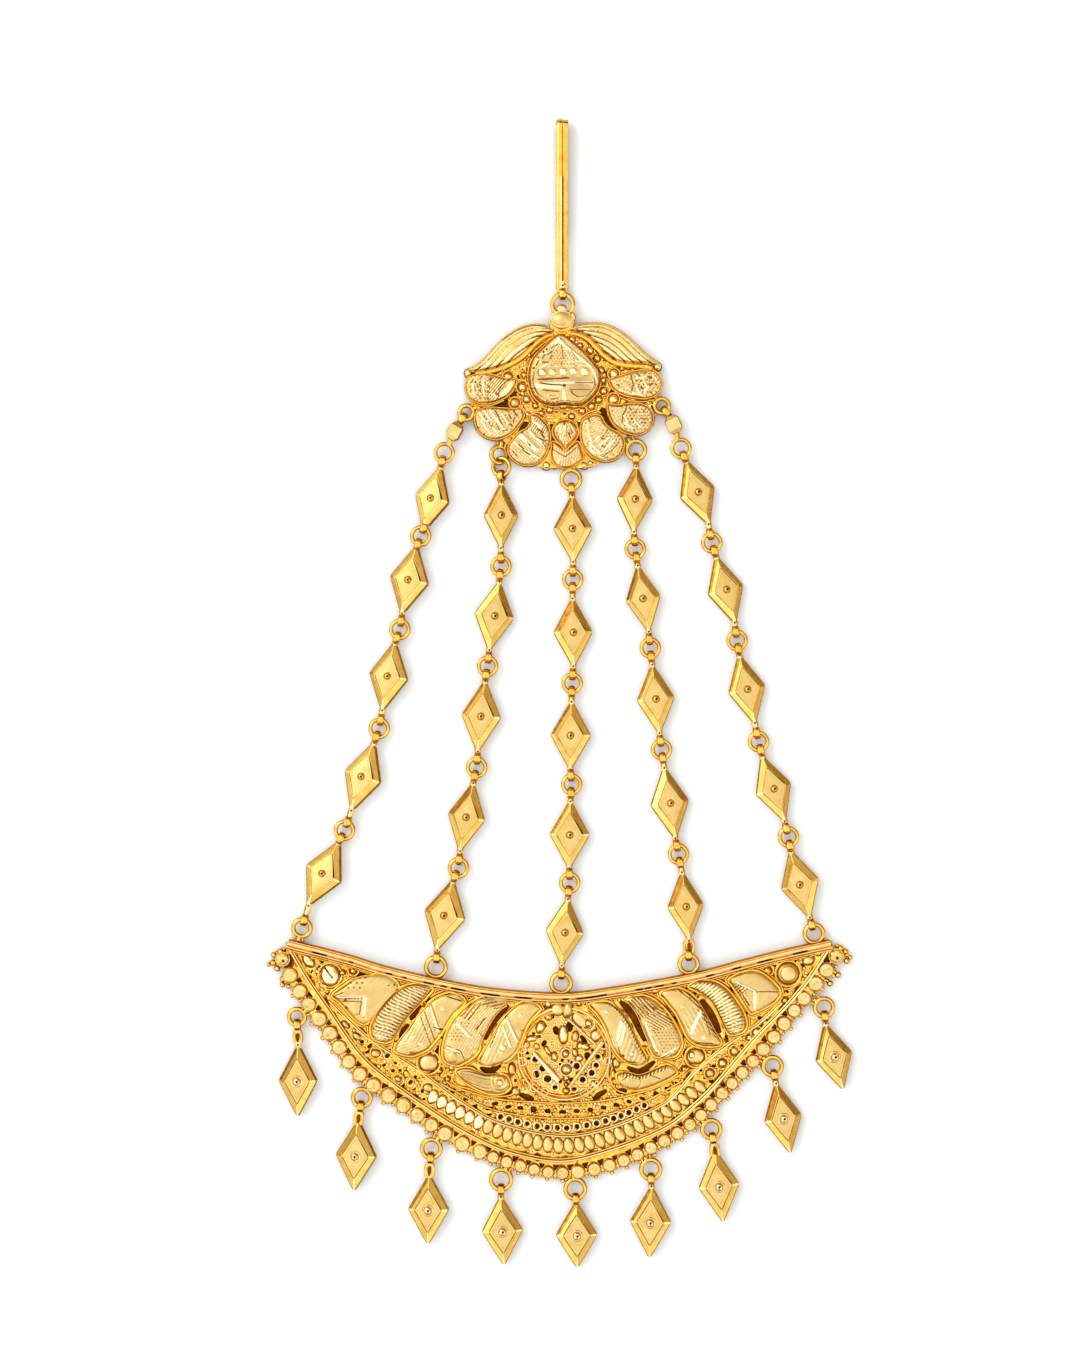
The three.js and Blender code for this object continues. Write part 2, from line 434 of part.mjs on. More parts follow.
// A loop through a ring, and its neck to the end of the piece at (x, y, z).
const loopAndNeck = (ring, end) => {
  const d = new THREE.Vector3(end.x - ring.x, end.y - ring.y, 0);
  const reach = d.length();
  d.normalize();
  const turn = headingOf(d.x, d.y);
  const z = ring.z;
  const band = loopGeometry().rotateY(THREE.MathUtils.degToRad((ring.roll ?? 0) * Math.sign(d.y)));
  const loop = at(band, { x: ring.x + d.x * (ring.radius - LOOP.inset), y: ring.y + d.y * (ring.radius - LOOP.inset), z, turn });
  const start = ring.radius - LOOP.inset + (LOOP.hole + LOOP.outer) / 2;
  const stop = Math.max(reach + 0.45, start + 0.4);
  const neck = new THREE.CylinderGeometry(NECK, NECK, stop - start, 4);
  const place = at(neck, { x: ring.x + d.x * (start + stop) / 2, y: ring.y + d.y * (start + stop) / 2, z, turn });
  return solid(loop).add(solid(place));
};
// A diamond lying on its back: bevelled rhombus with a boss, cut square where its necks join.
const diamondSolid = ({ x, y, z, turn, roll, wide, long, upper, lower }) => {
  const { below, edge, crown, table, point, boss, bossHigh } = DIAMOND;
  const body = new THREE.LatheGeometry([[0, -below], [1, -below], [1, -below + edge], [table, crown - 0.06], [0, crown]]
    .map(([r, h]) => new THREE.Vector2(r, h)), 4);
  body.rotateX(Math.PI / 2);
  const p = body.attributes.position;
  for (let i = 0; i < p.count; i++) {
    const half = long / 2 + ((p.getY(i) > 0 ? upper : lower) ? point : 0);
    p.setXY(i, p.getX(i) * wide / 2, p.getY(i) * half);
  }
  let s = solid(body);
  const cutter = (from) => {
    const box = new THREE.BoxGeometry(8, 4, 6);
    box.translate(0, from > 0 ? from + 2 : from - 2, 0);
    return solid(box);
  };
  if (upper) s = s.subtract(cutter(upper));
  if (lower) s = s.subtract(cutter(-lower));
  s = s.add(solid(turned([[0, crown - 0.3], [boss, crown - 0.3], [0, crown + bossHigh]], 5)));
  return s.rotate([0, roll, 0]).rotate([0, 0, turn]).translate([x, y, z]);
};
const endPoint = (d, sign, reach) => {
  const a = THREE.MathUtils.degToRad(d.turn);
  return { x: d.x - Math.sin(a) * reach * sign, y: d.y + Math.cos(a) * reach * sign };
};
// How far from its middle a diamond may run towards a ring without touching the ring's wire.
const reachTo = (d, sign, ring) => {
  const gap = Math.hypot(d.x - ring.x, d.y - ring.y) - ring.radius - ring.wire - 0.16;
  return Math.min(d.long / 2, gap);
};
const restHeight = (d) => Math.max(LINK_Z, DIAMOND.below * Math.cos(THREE.MathUtils.degToRad(d.roll))
  + (d.wide / 2) * Math.sin(THREE.MathUtils.degToRad(Math.abs(d.roll))));

const pieces = [];
const piece = (name, s) => pieces.push({ name, s });
const bailOf = (b) => ({ x: b.x, y: b.y, z: LINK_Z, radius: b.across / 2 - BAIL_WIRE, wire: BAIL_WIRE });

CHAINS.forEach((chain, c) => {
  const heights = chain.diamonds.map(restHeight);
  const rings = chain.rings.map((r) => ({ ...r, z: LINK_Z, radius: RING.radius, wire: RING.wire }));
  const lead = rings.length - (chain.diamonds.length - 1);
  rings.forEach((r, i) => {
    const above = heights[i - lead] ?? heights[0];
    const below = heights[i - lead + 1] ?? heights[0];
    r.z = lead && i === 0 ? heights[0] : (above + below) / 2;
    r.roll = lead && i === 0 && !BOX_LINKS.some((b) => b.chain === c) ? -LINKED_TILT : 0;
  });
  const top = bailOf(chain.topBail);
  const end = bailOf(chain.endBail);
  const box = BOX_LINKS.find((b) => b.chain === c);
  chain.diamonds.forEach((d, i) => {
    const upperRing = i + lead - 1 >= 0 ? rings[i + lead - 1] : top;
    const lowerRing = i + lead < rings.length ? rings[i + lead] : end;
    const upper = reachTo(d, 1, upperRing);
    const lower = reachTo(d, -1, lowerRing);
    const body = diamondSolid({ ...d, z: heights[i], upper, lower });
    const s = union([body, loopAndNeck(upperRing, endPoint(d, 1, upper - 0.25)), loopAndNeck(lowerRing, endPoint(d, -1, lower - 0.25))]);
    piece(`chain_${c + 1}_diamond_${i + 1}`, s);
  });
  rings.forEach((r, i) => {
    if (lead && i === 0) {
      if (box) {
        // the box link and the ring below it are soldered together
        const d = new THREE.Vector3(r.x - top.x, r.y - top.y, 0).normalize();
        const turn = headingOf(-d.x, -d.y);
        const barrel = turned([[0, 0], [0.5, 0], [1, 0.22], [1, 0.78], [0.5, 1], [0, 1]], 4);
        barrel.translate(0, 0, -0.5);
        barrel.rotateZ(Math.PI / 4);
        barrel.scale(BOX.half * Math.SQRT2 * 0.8, BOX.half * Math.SQRT2 * 0.8, BOX.long);
        barrel.rotateX(Math.PI / 2);
        at(barrel, { x: box.x, y: box.y, z: LINK_Z, turn });
        const link = union([
          solid(barrel),
          loopAndNeck(top, { x: box.x - d.x * (BOX.long / 2 - 0.3), y: box.y - d.y * (BOX.long / 2 - 0.3) }),
          solid(flatRing({ ...r, sides: 12 })),
          solid(at(new THREE.CylinderGeometry(NECK, NECK, 1.5, 4), { x: r.x - d.x * (r.radius + 0.6), y: r.y - d.y * (r.radius + 0.6), z: r.z, turn })),
        ]);
        piece(`chain_${c + 1}_box_link`, link);
      } else {
        piece(`chain_${c + 1}_ring_0`, solid(flatRing(r)));
      }
    } else {
      piece(`chain_${c + 1}_ring_${i + 1 - lead}`, solid(flatRing(r)));
    }
  });
});

DROPS.forEach((d, i) => {
  const bail = { x: d.bailX, y: d.bailY, z: LINK_Z, radius: d.bailAcross / 2 - BAIL_WIRE, wire: BAIL_WIRE };
  const upper = reachTo(d, 1, bail);
  const body = diamondSolid({ ...d, z: restHeight(d), upper });
  piece(`drop_${i + 1}`, body.add(loopAndNeck(bail, endPoint(d, 1, upper - 0.25))));
});

// ---------- crescent ----------
const topRail = spline(TOP_RAIL);
const outerRail = spline(OUTER_RAIL);
const innerRail = spline(INNER_RAIL);
const studLine = spline(STUD_LINE);
const studPlaces = () => {
  const places = [studLine.getPoint(0)];
  STUD_LINE.forEach((row, i) => {
    for (let k = 1; k <= row.studs; k++) places.push(studLine.getPoint((i - 1 + k / row.studs) / (STUD_LINE.length - 1)));
  });
  return places;
};
const slitCutters = (slits) => slits.map(({ wide, rows }) => {
  const curve = spline(rows);
  const count = 3;
  const left = [];
  const right = [];
  for (let i = 0; i <= count; i++) {
    const t = i / count;
    const h = (wide / 2) * (0.45 + 0.55 * Math.sin(Math.PI * Math.min(1, Math.max(0, t * 0.8 + 0.1))));
    const p = curve.getPoint(t);
    const n = sideOf(curve, t);
    left.push(p.clone().addScaledVector(n, h));
    right.push(p.clone().addScaledVector(n, -h));
  }
  return solid(prism(counterClockwise([...left, ...right.reverse()]), -1, 5));
});
// A soldered bail with its foot, which runs from the ring's wire to the piece at (towards).
const bailSolid = (b, towards, roll = 0) => {
  const d = new THREE.Vector3(towards.x - b.x, towards.y - b.y, 0).normalize();
  const long = FOOT.long;
  const foot = new THREE.BoxGeometry(FOOT.wide, long, FOOT.high);
  at(foot, { x: b.x + d.x * (b.radius + long / 2), y: b.y + d.y * (b.radius + long / 2), z: 0.5 + FOOT.high / 2, turn: headingOf(d.x, d.y) });
  return solid(flatRing({ x: b.x, y: b.y, radius: b.radius, wire: b.wire, z: b.z, roll })).add(solid(foot));
};
const nearest = (curve, b) => {
  let best = null;
  for (let i = 0; i <= 200; i++) {
    const p = curve.getPoint(i / 200);
    const far = Math.hypot(p.x - b.x, p.y - b.y);
    if (!best || far < best.far) best = { far, x: p.x, y: p.y };
  }
  return best;
};

{
  const plate = [...offsetLine(topRail, 0.2, 14), ...offsetLine(studLine, 0.3, 24).reverse()];
  const bandFloor = [...offsetLine(innerRail, 0, 14), ...offsetLine(outerRail, 0, 22).reverse()];
  const leafSolids = [...LEAVES.map(({ rows }) => solid(prism(counterClockwise(leafOutline(rows, 5, LEAF.bevel + 0.15)), LEAF.foot, LEAF.top, LEAF.bevel))),
    ...LOW_LEAVES.map(({ rows }) => solid(prism(counterClockwise(leafOutline(rows, 4, 0.65)), 0.3, LEAF.top - 0.5, 0.5)))];
  let s = union([
    solid(prism(counterClockwise(plate), 0, PLATE)),
    solid(prism(counterClockwise(bandFloor), 0.2, BAND_TOP)),
    ...leafSolids,
    solid(prism(counterClockwise(FACET_LEAF), 0.08, LEAF.top, 0.8)),
    solid(at(turned([[0, 0.2], [ROSETTE.radius, 0.2], [ROSETTE.radius, ROSETTE.rim], [ROSETTE.radius * 0.5, ROSETTE.crown - 0.1], [0, ROSETTE.crown]], 16), ROSETTE)),
    ...DOMES.map((d) => solid(at(dome(d.radius, 0.35, d.high, d.radius > 1 ? 8 : 5), d))),
  ]);
  s = slitCutters(SLITS).reduce((a, b) => a.subtract(b), s);
  s = union([
    s,
    solid(prism(counterClockwise(ribbon(topRail, RAIL.wide, 14)), 0.1, RAIL.top)),
    solid(prism(counterClockwise(ribbon(outerRail, RAIL.wide, 22)), 0.1, RAIL.outer)),
    solid(prism(counterClockwise(ribbon(innerRail, RAIL.wide * 0.7, 14)), 0.1, RAIL.inner)),
    ...studPlaces().map((p) => solid(at(turned([[0, 0.1], [STUD.radius, 0.1], [STUD.cap, STUD.high], [0, STUD.high]], 6), { x: p.x, y: p.y }))),
    ...CHAINS.map((chain) => bailSolid(bailOf(chain.endBail), nearest(topRail, chain.endBail))),
    ...DROPS.map((d) => {
      const b = { x: d.bailX, y: d.bailY, z: LINK_Z, radius: d.bailAcross / 2 - BAIL_WIRE, wire: BAIL_WIRE };
      return bailSolid(b, nearest(studLine, b));
    }),
  ]);
  piece('crescent', s);
}

// ---------- top ornament ----------
{
  const petalSolids = PETALS.map(({ rows }) => solid(prism(counterClockwise(leafOutline(rows, 6, 0.7)), 0.25, 2.1, 0.55)));
  const petalFeet = PETALS.map(({ rows }) => solid(prism(counterClockwise(leafOutline(rows.map((r) => ({ ...r, half: r.half + 0.35 })), 6)), 0, PLATE)));
  let s = union([
    solid(at(turned([[0, 0], [7.2, 0], [7.2, PLATE], [0, PLATE]], 16), { x: 0.33, y: 40.20 })),
    ...petalFeet,
    ...petalSolids,
    solid(prism(counterClockwise(TIE), 0, PLATE)),
    solid(at(turned([[0, 0.05], [1.4, 0.05], [1.4, 2], [0, 2]], 8), { x: 0.13, y: 47.39 })),
    solid(prism(counterClockwise(WING_LEFT), 0.1, 2.3, 0.3)),
    solid(prism(counterClockwise(WING_RIGHT), 0.1, 2.3, 0.3)),
  ]);
  s = slitCutters(ORNAMENT_SLITS).reduce((a, b) => a.subtract(b), s);
  s = union([
    s,
    solid(prism(counterClockwise(MEDALLION), 0.15, 3.0, 0.7)),
    solid(at(turned([[0, 0], [1.9, 0], [1.9, 1.5], [1.2, 2.2], [0, 2.2]], 10), { x: 0.71, y: 33.86 })),
    solid(at(turned([[0, 0], [2.1, 0], [2.1, 1.2], [1.2, 1.9], [0, 1.9]], 10), { x: 0.85, y: 31.11 })),
    solid(at(turned([[0, 1.45], [1.5, 1.45], [1.5, 1.8], [0.9, 2.25], [0, 2.25]], 10), { x: 0.13, y: 48.72 })),
    ...ORNAMENT_DOMES.map((d) => solid(at(dome(d.radius, 0.2, d.high, 8), d))),
    ...CHAINS.map((chain, c) => bailSolid(bailOf(chain.topBail), BAIL_ROOTS[c], c === 1 ? LINKED_TILT : 0)),
  ]);
  // the top loop stands upright through the hook's ring
  const ring = { x: 0.24, y: 50.73, z: LINK_Z, radius: 1.36, wire: 0.3 };
  s = s.add(loopAndNeck(ring, { x: 0.13, y: 49.48 }));
  piece('top_ornament', s);

  // ---------- hair hook ----------
  const x = ring.x - 0.1;
  const bottom = ring.y + ring.radius;
  const top = bottom + HOOK.long;
  const bendRadius = (HOOK.high - HOOK.low) / 2;
  const side = new THREE.Shape();
  const outer = bendRadius + HOOK.thick / 2;
  const inner = bendRadius - HOOK.thick / 2;
  const midZ = (HOOK.high + HOOK.low) / 2;
  const bendY = top - outer;
  // side view of the folded strip: front leg, bend at the top, back leg
  side.moveTo(bottom + 0.2, LINK_Z - HOOK.thick / 2);
  side.lineTo(bendY, HOOK.high - HOOK.thick / 2);
  for (let i = 0; i <= 6; i++) {
    const a = Math.PI / 2 - (Math.PI * i) / 6;
    side.lineTo(bendY + inner * Math.cos(a), midZ + inner * Math.sin(a));
  }
  side.lineTo(bendY - HOOK.back, HOOK.low + HOOK.thick / 2 - 0.02);
  side.lineTo(bendY - HOOK.back - 0.5, HOOK.low - HOOK.thick / 2 + 0.2);
  side.lineTo(bendY - HOOK.back, HOOK.low - HOOK.thick / 2);
  for (let i = 0; i <= 8; i++) {
    const a = -Math.PI / 2 + (Math.PI * i) / 8;
    side.lineTo(bendY + outer * Math.cos(a), midZ + outer * Math.sin(a));
  }
  side.lineTo(bottom + 0.2, LINK_Z + HOOK.thick / 2);
  side.closePath();
  const strip = new THREE.ExtrudeGeometry(side, { depth: HOOK.wide, bevelEnabled: false, steps: 1 });
  // the shape's x is the length and its y the height: stand it up along +Y
  strip.applyMatrix4(new THREE.Matrix4().makeBasis(new THREE.Vector3(0, 1, 0), new THREE.Vector3(0, 0, 1), new THREE.Vector3(1, 0, 0)));
  strip.translate(x - HOOK.wide / 2, 0, 0);
  piece('hair_hook', solid(strip).add(solid(flatRing({ ...ring, sides: 16 }))));
}

const group = new THREE.Group();
const material = new THREE.MeshStandardMaterial(GOLD);
for (const { name, s } of pieces) {
  const mesh = new THREE.Mesh(geometryOf(s), material.clone());
  mesh.name = name;
  group.add(mesh);
}

export default group;
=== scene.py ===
import math

import bpy
import numpy as np
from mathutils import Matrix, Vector
from mathutils.geometry import delaunay_2d_cdt


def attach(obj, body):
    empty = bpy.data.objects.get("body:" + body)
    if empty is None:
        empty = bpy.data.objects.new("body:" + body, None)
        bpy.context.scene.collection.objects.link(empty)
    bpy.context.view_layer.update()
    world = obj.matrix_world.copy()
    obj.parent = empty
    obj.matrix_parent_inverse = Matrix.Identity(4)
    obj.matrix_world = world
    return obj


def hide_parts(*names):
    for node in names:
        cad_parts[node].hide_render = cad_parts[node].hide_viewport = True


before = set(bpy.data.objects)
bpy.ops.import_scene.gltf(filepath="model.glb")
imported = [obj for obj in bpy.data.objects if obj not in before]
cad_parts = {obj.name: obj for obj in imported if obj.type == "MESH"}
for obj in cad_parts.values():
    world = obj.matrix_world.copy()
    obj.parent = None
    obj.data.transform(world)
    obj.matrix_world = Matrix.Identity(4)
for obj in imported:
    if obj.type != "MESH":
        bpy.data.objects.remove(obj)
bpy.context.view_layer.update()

MM = 0.001

# ---------------------------------------------------------------- tables


def table(text):
    """Rows of named numbers: the first line names the columns."""
    lines = [line.split() for line in text.strip().splitlines()]
    names = lines[0]
    return [dict(zip(names, map(float, row))) for row in lines[1:]]


def columns(rows, *names):
    return np.array([[row[n] for n in names] for row in rows], float)


# ---------------------------------------------------------------- curves


def spline(points, count, closed=False):
    """A smooth curve through the points, at even steps along its length."""
    p = np.array(points, float)
    n = len(p)
    fine = []
    for i in range(n if closed else n - 1):
        if closed:
            a, b, c, d = p[(i - 1) % n], p[i], p[(i + 1) % n], p[(i + 2) % n]
        else:
            b, c = p[i], p[i + 1]
            a = p[i - 1] if i else 2 * b - c
            d = p[i + 2] if i + 2 < n else 2 * c - b
        t = (np.arange(24) / 24)[:, None]
        fine.append(0.5 * (2 * b + (c - a) * t + (2 * a - 5 * b + 4 * c - d) * t ** 2 + (3 * b - a - 3 * c + d) * t ** 3))
    fine = np.vstack(fine + [p[:1] if closed else p[-1:]])
    return even(fine, count, closed)


def even(line, count, closed=False):
    """The line again, at count even steps."""
    step = np.linalg.norm(np.diff(line[:, :3], axis=0), axis=1)
    run = np.concatenate([[0], np.cumsum(step)])
    at = np.linspace(0, run[-1], count + 1)[:-1] if closed else np.linspace(0, run[-1], count)
    return np.stack([np.interp(at, run, line[:, k]) for k in range(line.shape[1])], 1)


def length_of(line):
    return float(np.linalg.norm(np.diff(line, axis=0), axis=1).sum())


def tangents(line, closed=False):
    if closed:
        d = np.roll(line, -1, 0) - np.roll(line, 1, 0)
    else:
        d = np.gradient(line, axis=0)
    return d / np.maximum(np.linalg.norm(d, axis=1, keepdims=True), 1e-12)


def offset(line, by, closed=False):
    """A flat line moved sideways, to its left where by is above 0."""
    t = tangents(line[:, :2], closed)
    moved = line.copy()
    moved[:, 0] -= t[:, 1] * by
    moved[:, 1] += t[:, 0] * by
    return moved


def raised(line, z):
    """A flat line as one in space, at a height or at a row of heights."""
    return np.column_stack([line[:, :2], np.broadcast_to(z, (len(line),))])


def inside(points, polygon):
    """Which points lie inside a polygon."""
    x, y = points[:, 0], points[:, 1]
    hit = np.zeros(len(points), bool)
    a = polygon
    b = np.roll(polygon, -1, 0)
    for (x1, y1), (x2, y2) in zip(a[:, :2], b[:, :2]):
        cross = (y1 > y) != (y2 > y)
        if y1 != y2:
            hit ^= cross & (x < (x2 - x1) * (y - y1) / (y2 - y1) + x1)
    return hit


def distance_to(points, line, closed=True):
    """How far each point is from a line."""
    a = line[:, :2]
    b = np.roll(a, -1, 0) if closed else a[1:]
    a = a if closed else a[:-1]
    best = np.full(len(points), 1e9)
    for p, q in zip(a, b):
        d = q - p
        t = np.clip(((points[:, :2] - p) @ d) / max(d @ d, 1e-12), 0, 1)
        best = np.minimum(best, np.hypot(*(points[:, :2] - p - t[:, None] * d).T))
    return best


# ---------------------------------------------------------------- shapes


class Form:
    """Closed shapes in millimetres, gathered into one mesh. Each is added with its finish's number."""

    def __init__(self):
        self.verts, self.faces, self.finish, self.count = [], [], [], 0

    def add(self, verts, faces, finish=0):
        verts = np.asarray(verts, float)
        self.verts.append(verts)
        start = self.count
        for f in faces:
            self.faces.append([i + start for i in f])
        self.finish.extend(finish if isinstance(finish, list) else [finish] * len(faces))
        self.count += len(verts)

    # a section swept along a line, with the section's first axis to the line's left and its second along up
    def sweep(self, line, section, up=(0, 0, 1), closed=False, finish=0, grow=None, section_closed=True):
        line = np.asarray(line, float)
        section = np.asarray(section, float)
        n, k = len(line), len(section)
        t = tangents(line, closed)
        up = np.broadcast_to(np.asarray(up, float), t.shape)
        side = np.cross(up, t)
        side /= np.maximum(np.linalg.norm(side, axis=1, keepdims=True), 1e-9)
        top = np.cross(t, side)
        scale = np.ones(n) if grow is None else np.asarray(grow, float)
        verts = (line[:, None] + side[:, None] * section[None, :, :1] * scale[:, None, None]
                 + top[:, None] * section[None, :, 1:2] * scale[:, None, None]).reshape(-1, 3)
        rows = n if closed else n - 1
        i = np.repeat(np.arange(rows), k)
        j = np.tile(np.arange(k), rows)
        i2, j2 = (i + 1) % n, (j + 1) % k
        faces = np.stack([i * k + j, i * k + j2, i2 * k + j2, i2 * k + j], 1).tolist()
        if not closed:
            faces.append(list(range(k))[::-1])
            faces.append([(n - 1) * k + m for m in range(k)])
        self.add(verts, faces, finish)

    def wire(self, line, radius, sides=8, up=(0, 0, 1), closed=False, finish=0, grow=None, flat=1.0):
        a = np.arange(sides) / sides * 2 * math.pi + math.pi / sides
        self.sweep(line, np.stack([np.cos(a) * radius, np.sin(a) * radius * flat], 1), up, closed, finish, grow)

    # a profile of (radius, height) rows turned about an upright axis; it starts and ends on the axis
    def turn(self, profile, at, around=12, start=0.0, stretch=(1, 1), heading=0.0, tip=None, finish=0):
        profile = np.asarray(profile, float)
        a = np.arange(around) / around * 2 * math.pi + start
        ring = np.stack([np.cos(a) * stretch[0], np.sin(a) * stretch[1]], 1)
        verts, faces = [], []
        starts = []
        for r, z in profile:
            starts.append(len(verts))
            if r < 1e-9:
                verts.append((0, 0, z))
            else:
                verts.extend((x * r, y * r, z) for x, y in ring)
        for s, (r0, _), (r1, _), e in zip(starts, profile, profile[1:], starts[1:]):
            if r0 < 1e-9 and r1 < 1e-9:
                continue
            for m in range(around):
                m2 = (m + 1) % around
                if r0 < 1e-9:
                    faces.append([s, e + m2, e + m])
                elif r1 < 1e-9:
                    faces.append([s + m, s + m2, e])
                else:
                    faces.append([s + m, s + m2, e + m2, e + m])
        verts = np.array(verts, float)
        c, s = math.cos(heading), math.sin(heading)
        verts[:, :2] = verts[:, :2] @ np.array([[c, s], [-s, c]])
        if tip is not None:  # leaned as a whole: rise per millimetre along x and y
            verts[:, 2] += verts[:, 0] * tip[0] + verts[:, 1] * tip[1]
        self.add(verts + np.asarray(at, float), faces, finish)

    def grain(self, at, radius, rings=4, around=8, finish=0, squash=1.0):
        """A granule: a small ball."""
        a = np.linspace(-math.pi / 2, math.pi / 2, rings + 1)
        profile = [(abs(math.cos(v)) * radius if 0 < i < rings else 0.0, math.sin(v) * radius * squash) for i, v in enumerate(a)]
        self.turn(profile, at, around, finish=finish)

    def grains(self, places, radius, z, **how):
        radius = np.broadcast_to(radius, (len(places),))
        z = np.broadcast_to(z, (len(places),))
        for p, r, h in zip(places, radius, z):
            self.grain((p[0], p[1], h), r, **how)

    def ring(self, at, radius, wire, around=32, sides=10, axis=(0, 0, 1), finish=0, flat=1.0, phase=0.0):
        axis = np.asarray(axis, float) / np.linalg.norm(axis)
        x = np.cross(axis, (0, 1, 0))
        x = np.array([1.0, 0, 0]) if np.linalg.norm(x) < 1e-6 else x / np.linalg.norm(x)
        y = np.cross(axis, x)
        a = (np.arange(around) + phase) / around * 2 * math.pi
        line = np.asarray(at, float) + (np.cos(a)[:, None] * x + np.sin(a)[:, None] * y) * radius
        self.wire(line, wire, sides, axis, True, finish, flat=flat)

    # a sheet with a shaped top: rows across run between two edges, with a height worked out over it
    def relief(self, edge_a, edge_b, low, height, rows, across, finish=0, paint=None):
        v = np.linspace(-1, 1, across + 1)
        # the cross rows bunch a little towards both edges, where the sheet turns down
        v = np.sign(v) * (1 - (1 - np.abs(v)) ** 1.15)
        a, b = edge_a[:, None, :], edge_b[:, None, :]
        xy = (a + b) / 2 + (b - a) / 2 * v[None, :, None]
        middle = (edge_a + edge_b) / 2
        run = np.concatenate([[0], np.cumsum(np.linalg.norm(np.diff(middle, axis=0), axis=1))])
        half = np.linalg.norm(edge_b - edge_a, axis=1) / 2
        s = np.broadcast_to(run[:, None], xy.shape[:2])
        t = half[:, None] * v[None, :]
        z = height(s, t, s / run[-1], np.broadcast_to(v[None, :], s.shape), xy[..., 0], xy[..., 1])
        n, k = len(edge_a), across + 1
        top = np.dstack([xy, z]).reshape(-1, 3)
        foot = top.copy()
        foot[:, 2] = low
        g = lambda i, j: i * k + j
        rim = [g(0, j) for j in range(k)] + [g(i, k - 1) for i in range(1, n)] + [g(n - 1, j) for j in range(k - 2, -1, -1)] + [g(i, 0) for i in range(n - 2, 0, -1)]
        number = {m: n * k + c for c, m in enumerate(rim)}
        i, j = np.meshgrid(np.arange(n - 1), np.arange(k - 1), indexing="ij")
        i, j = i.ravel(), j.ravel()
        # the sheet's top faces up whichever way its rows run
        e1 = xy[-1, k // 2] - xy[0, k // 2]
        e2 = xy[n // 2, -1] - xy[n // 2, 0]
        flip = e1[0] * e2[1] - e1[1] * e2[0] < 0
        quads = np.stack([i * k + j, (i + 1) * k + j, (i + 1) * k + j + 1, i * k + j + 1], 1)
        faces = quads.tolist()
        marks = [finish] * len(faces)
        if paint is not None:
            mid = lambda f: f.ravel()[quads].mean(1)
            marks = [int(m) for m in paint(mid(s), mid(t), mid(s) / run[-1], mid(np.broadcast_to(v[None, :], s.shape)), mid(xy[..., 0]), mid(xy[..., 1]))]
        for p, q in zip(rim, rim[1:] + rim[:1]):
            faces.append([q, p, number[p], number[q]])
        walls = len(faces) - len(marks)
        for r in range(n - 1):
            if r == 0:
                faces.append([number[g(0, m)] for m in range(k)] + [number[g(1, k - 1)], number[g(1, 0)]])
            elif r == n - 2:
                faces.append([number[g(r, 0)], number[g(r, k - 1)]] + [number[g(n - 1, m)] for m in range(k - 1, -1, -1)])
            else:
                faces.append([number[g(r, 0)], number[g(r, k - 1)], number[g(r + 1, k - 1)], number[g(r + 1, 0)]])
        marks += [finish] * (len(faces) - len(marks))
        if flip:
            faces = [f[::-1] for f in faces]
        self.add(np.vstack([top, foot[rim]]), faces, marks)

    # a plate of any outline, with holes through it and a height worked out over its top
    def plate(self, outline, low, height, holes=(), step=None, finish=0, top_finish=None, paint=None):
        loops = [np.asarray(outline, float)[:, :2]] + [np.asarray(h, float)[:, :2] for h in holes]
        points = np.vstack(loops)
        edges, at = [], 0
        for loop in loops:
            edges += [(at + i, at + (i + 1) % len(loop)) for i in range(len(loop))]
            at += len(loop)
        if step:
            lo, hi = loops[0].min(0), loops[0].max(0)
            gx, gy = np.meshgrid(np.arange(lo[0], hi[0], step), np.arange(lo[1], hi[1], step * 0.866))
            gx = gx + (np.arange(gx.shape[0]) % 2)[:, None] * step / 2
            grid = np.stack([gx.ravel(), gy.ravel()], 1)
            keep = inside(grid, loops[0])
            grid = grid[keep]
            for loop in loops[1:]:
                grid = grid[~inside(grid, loop)]
            for loop in loops:
                grid = grid[distance_to(grid, loop) > step * 0.45]
            points = np.vstack([points, grid])
        verts, _, tris, origin, _, _ = delaunay_2d_cdt([tuple(p) for p in points], edges, [], 2, 1e-6, True)
        verts = np.array([tuple(v) for v in verts])
        rim = len(edges)
        # the rims' points in the result, in their own order
        place = {}
        for new, olds in enumerate(origin):
            for o in olds:
                place.setdefault(o, new)
        z = height(verts[:, 0], verts[:, 1]) if callable(height) else np.full(len(verts), float(height))
        n = len(verts)
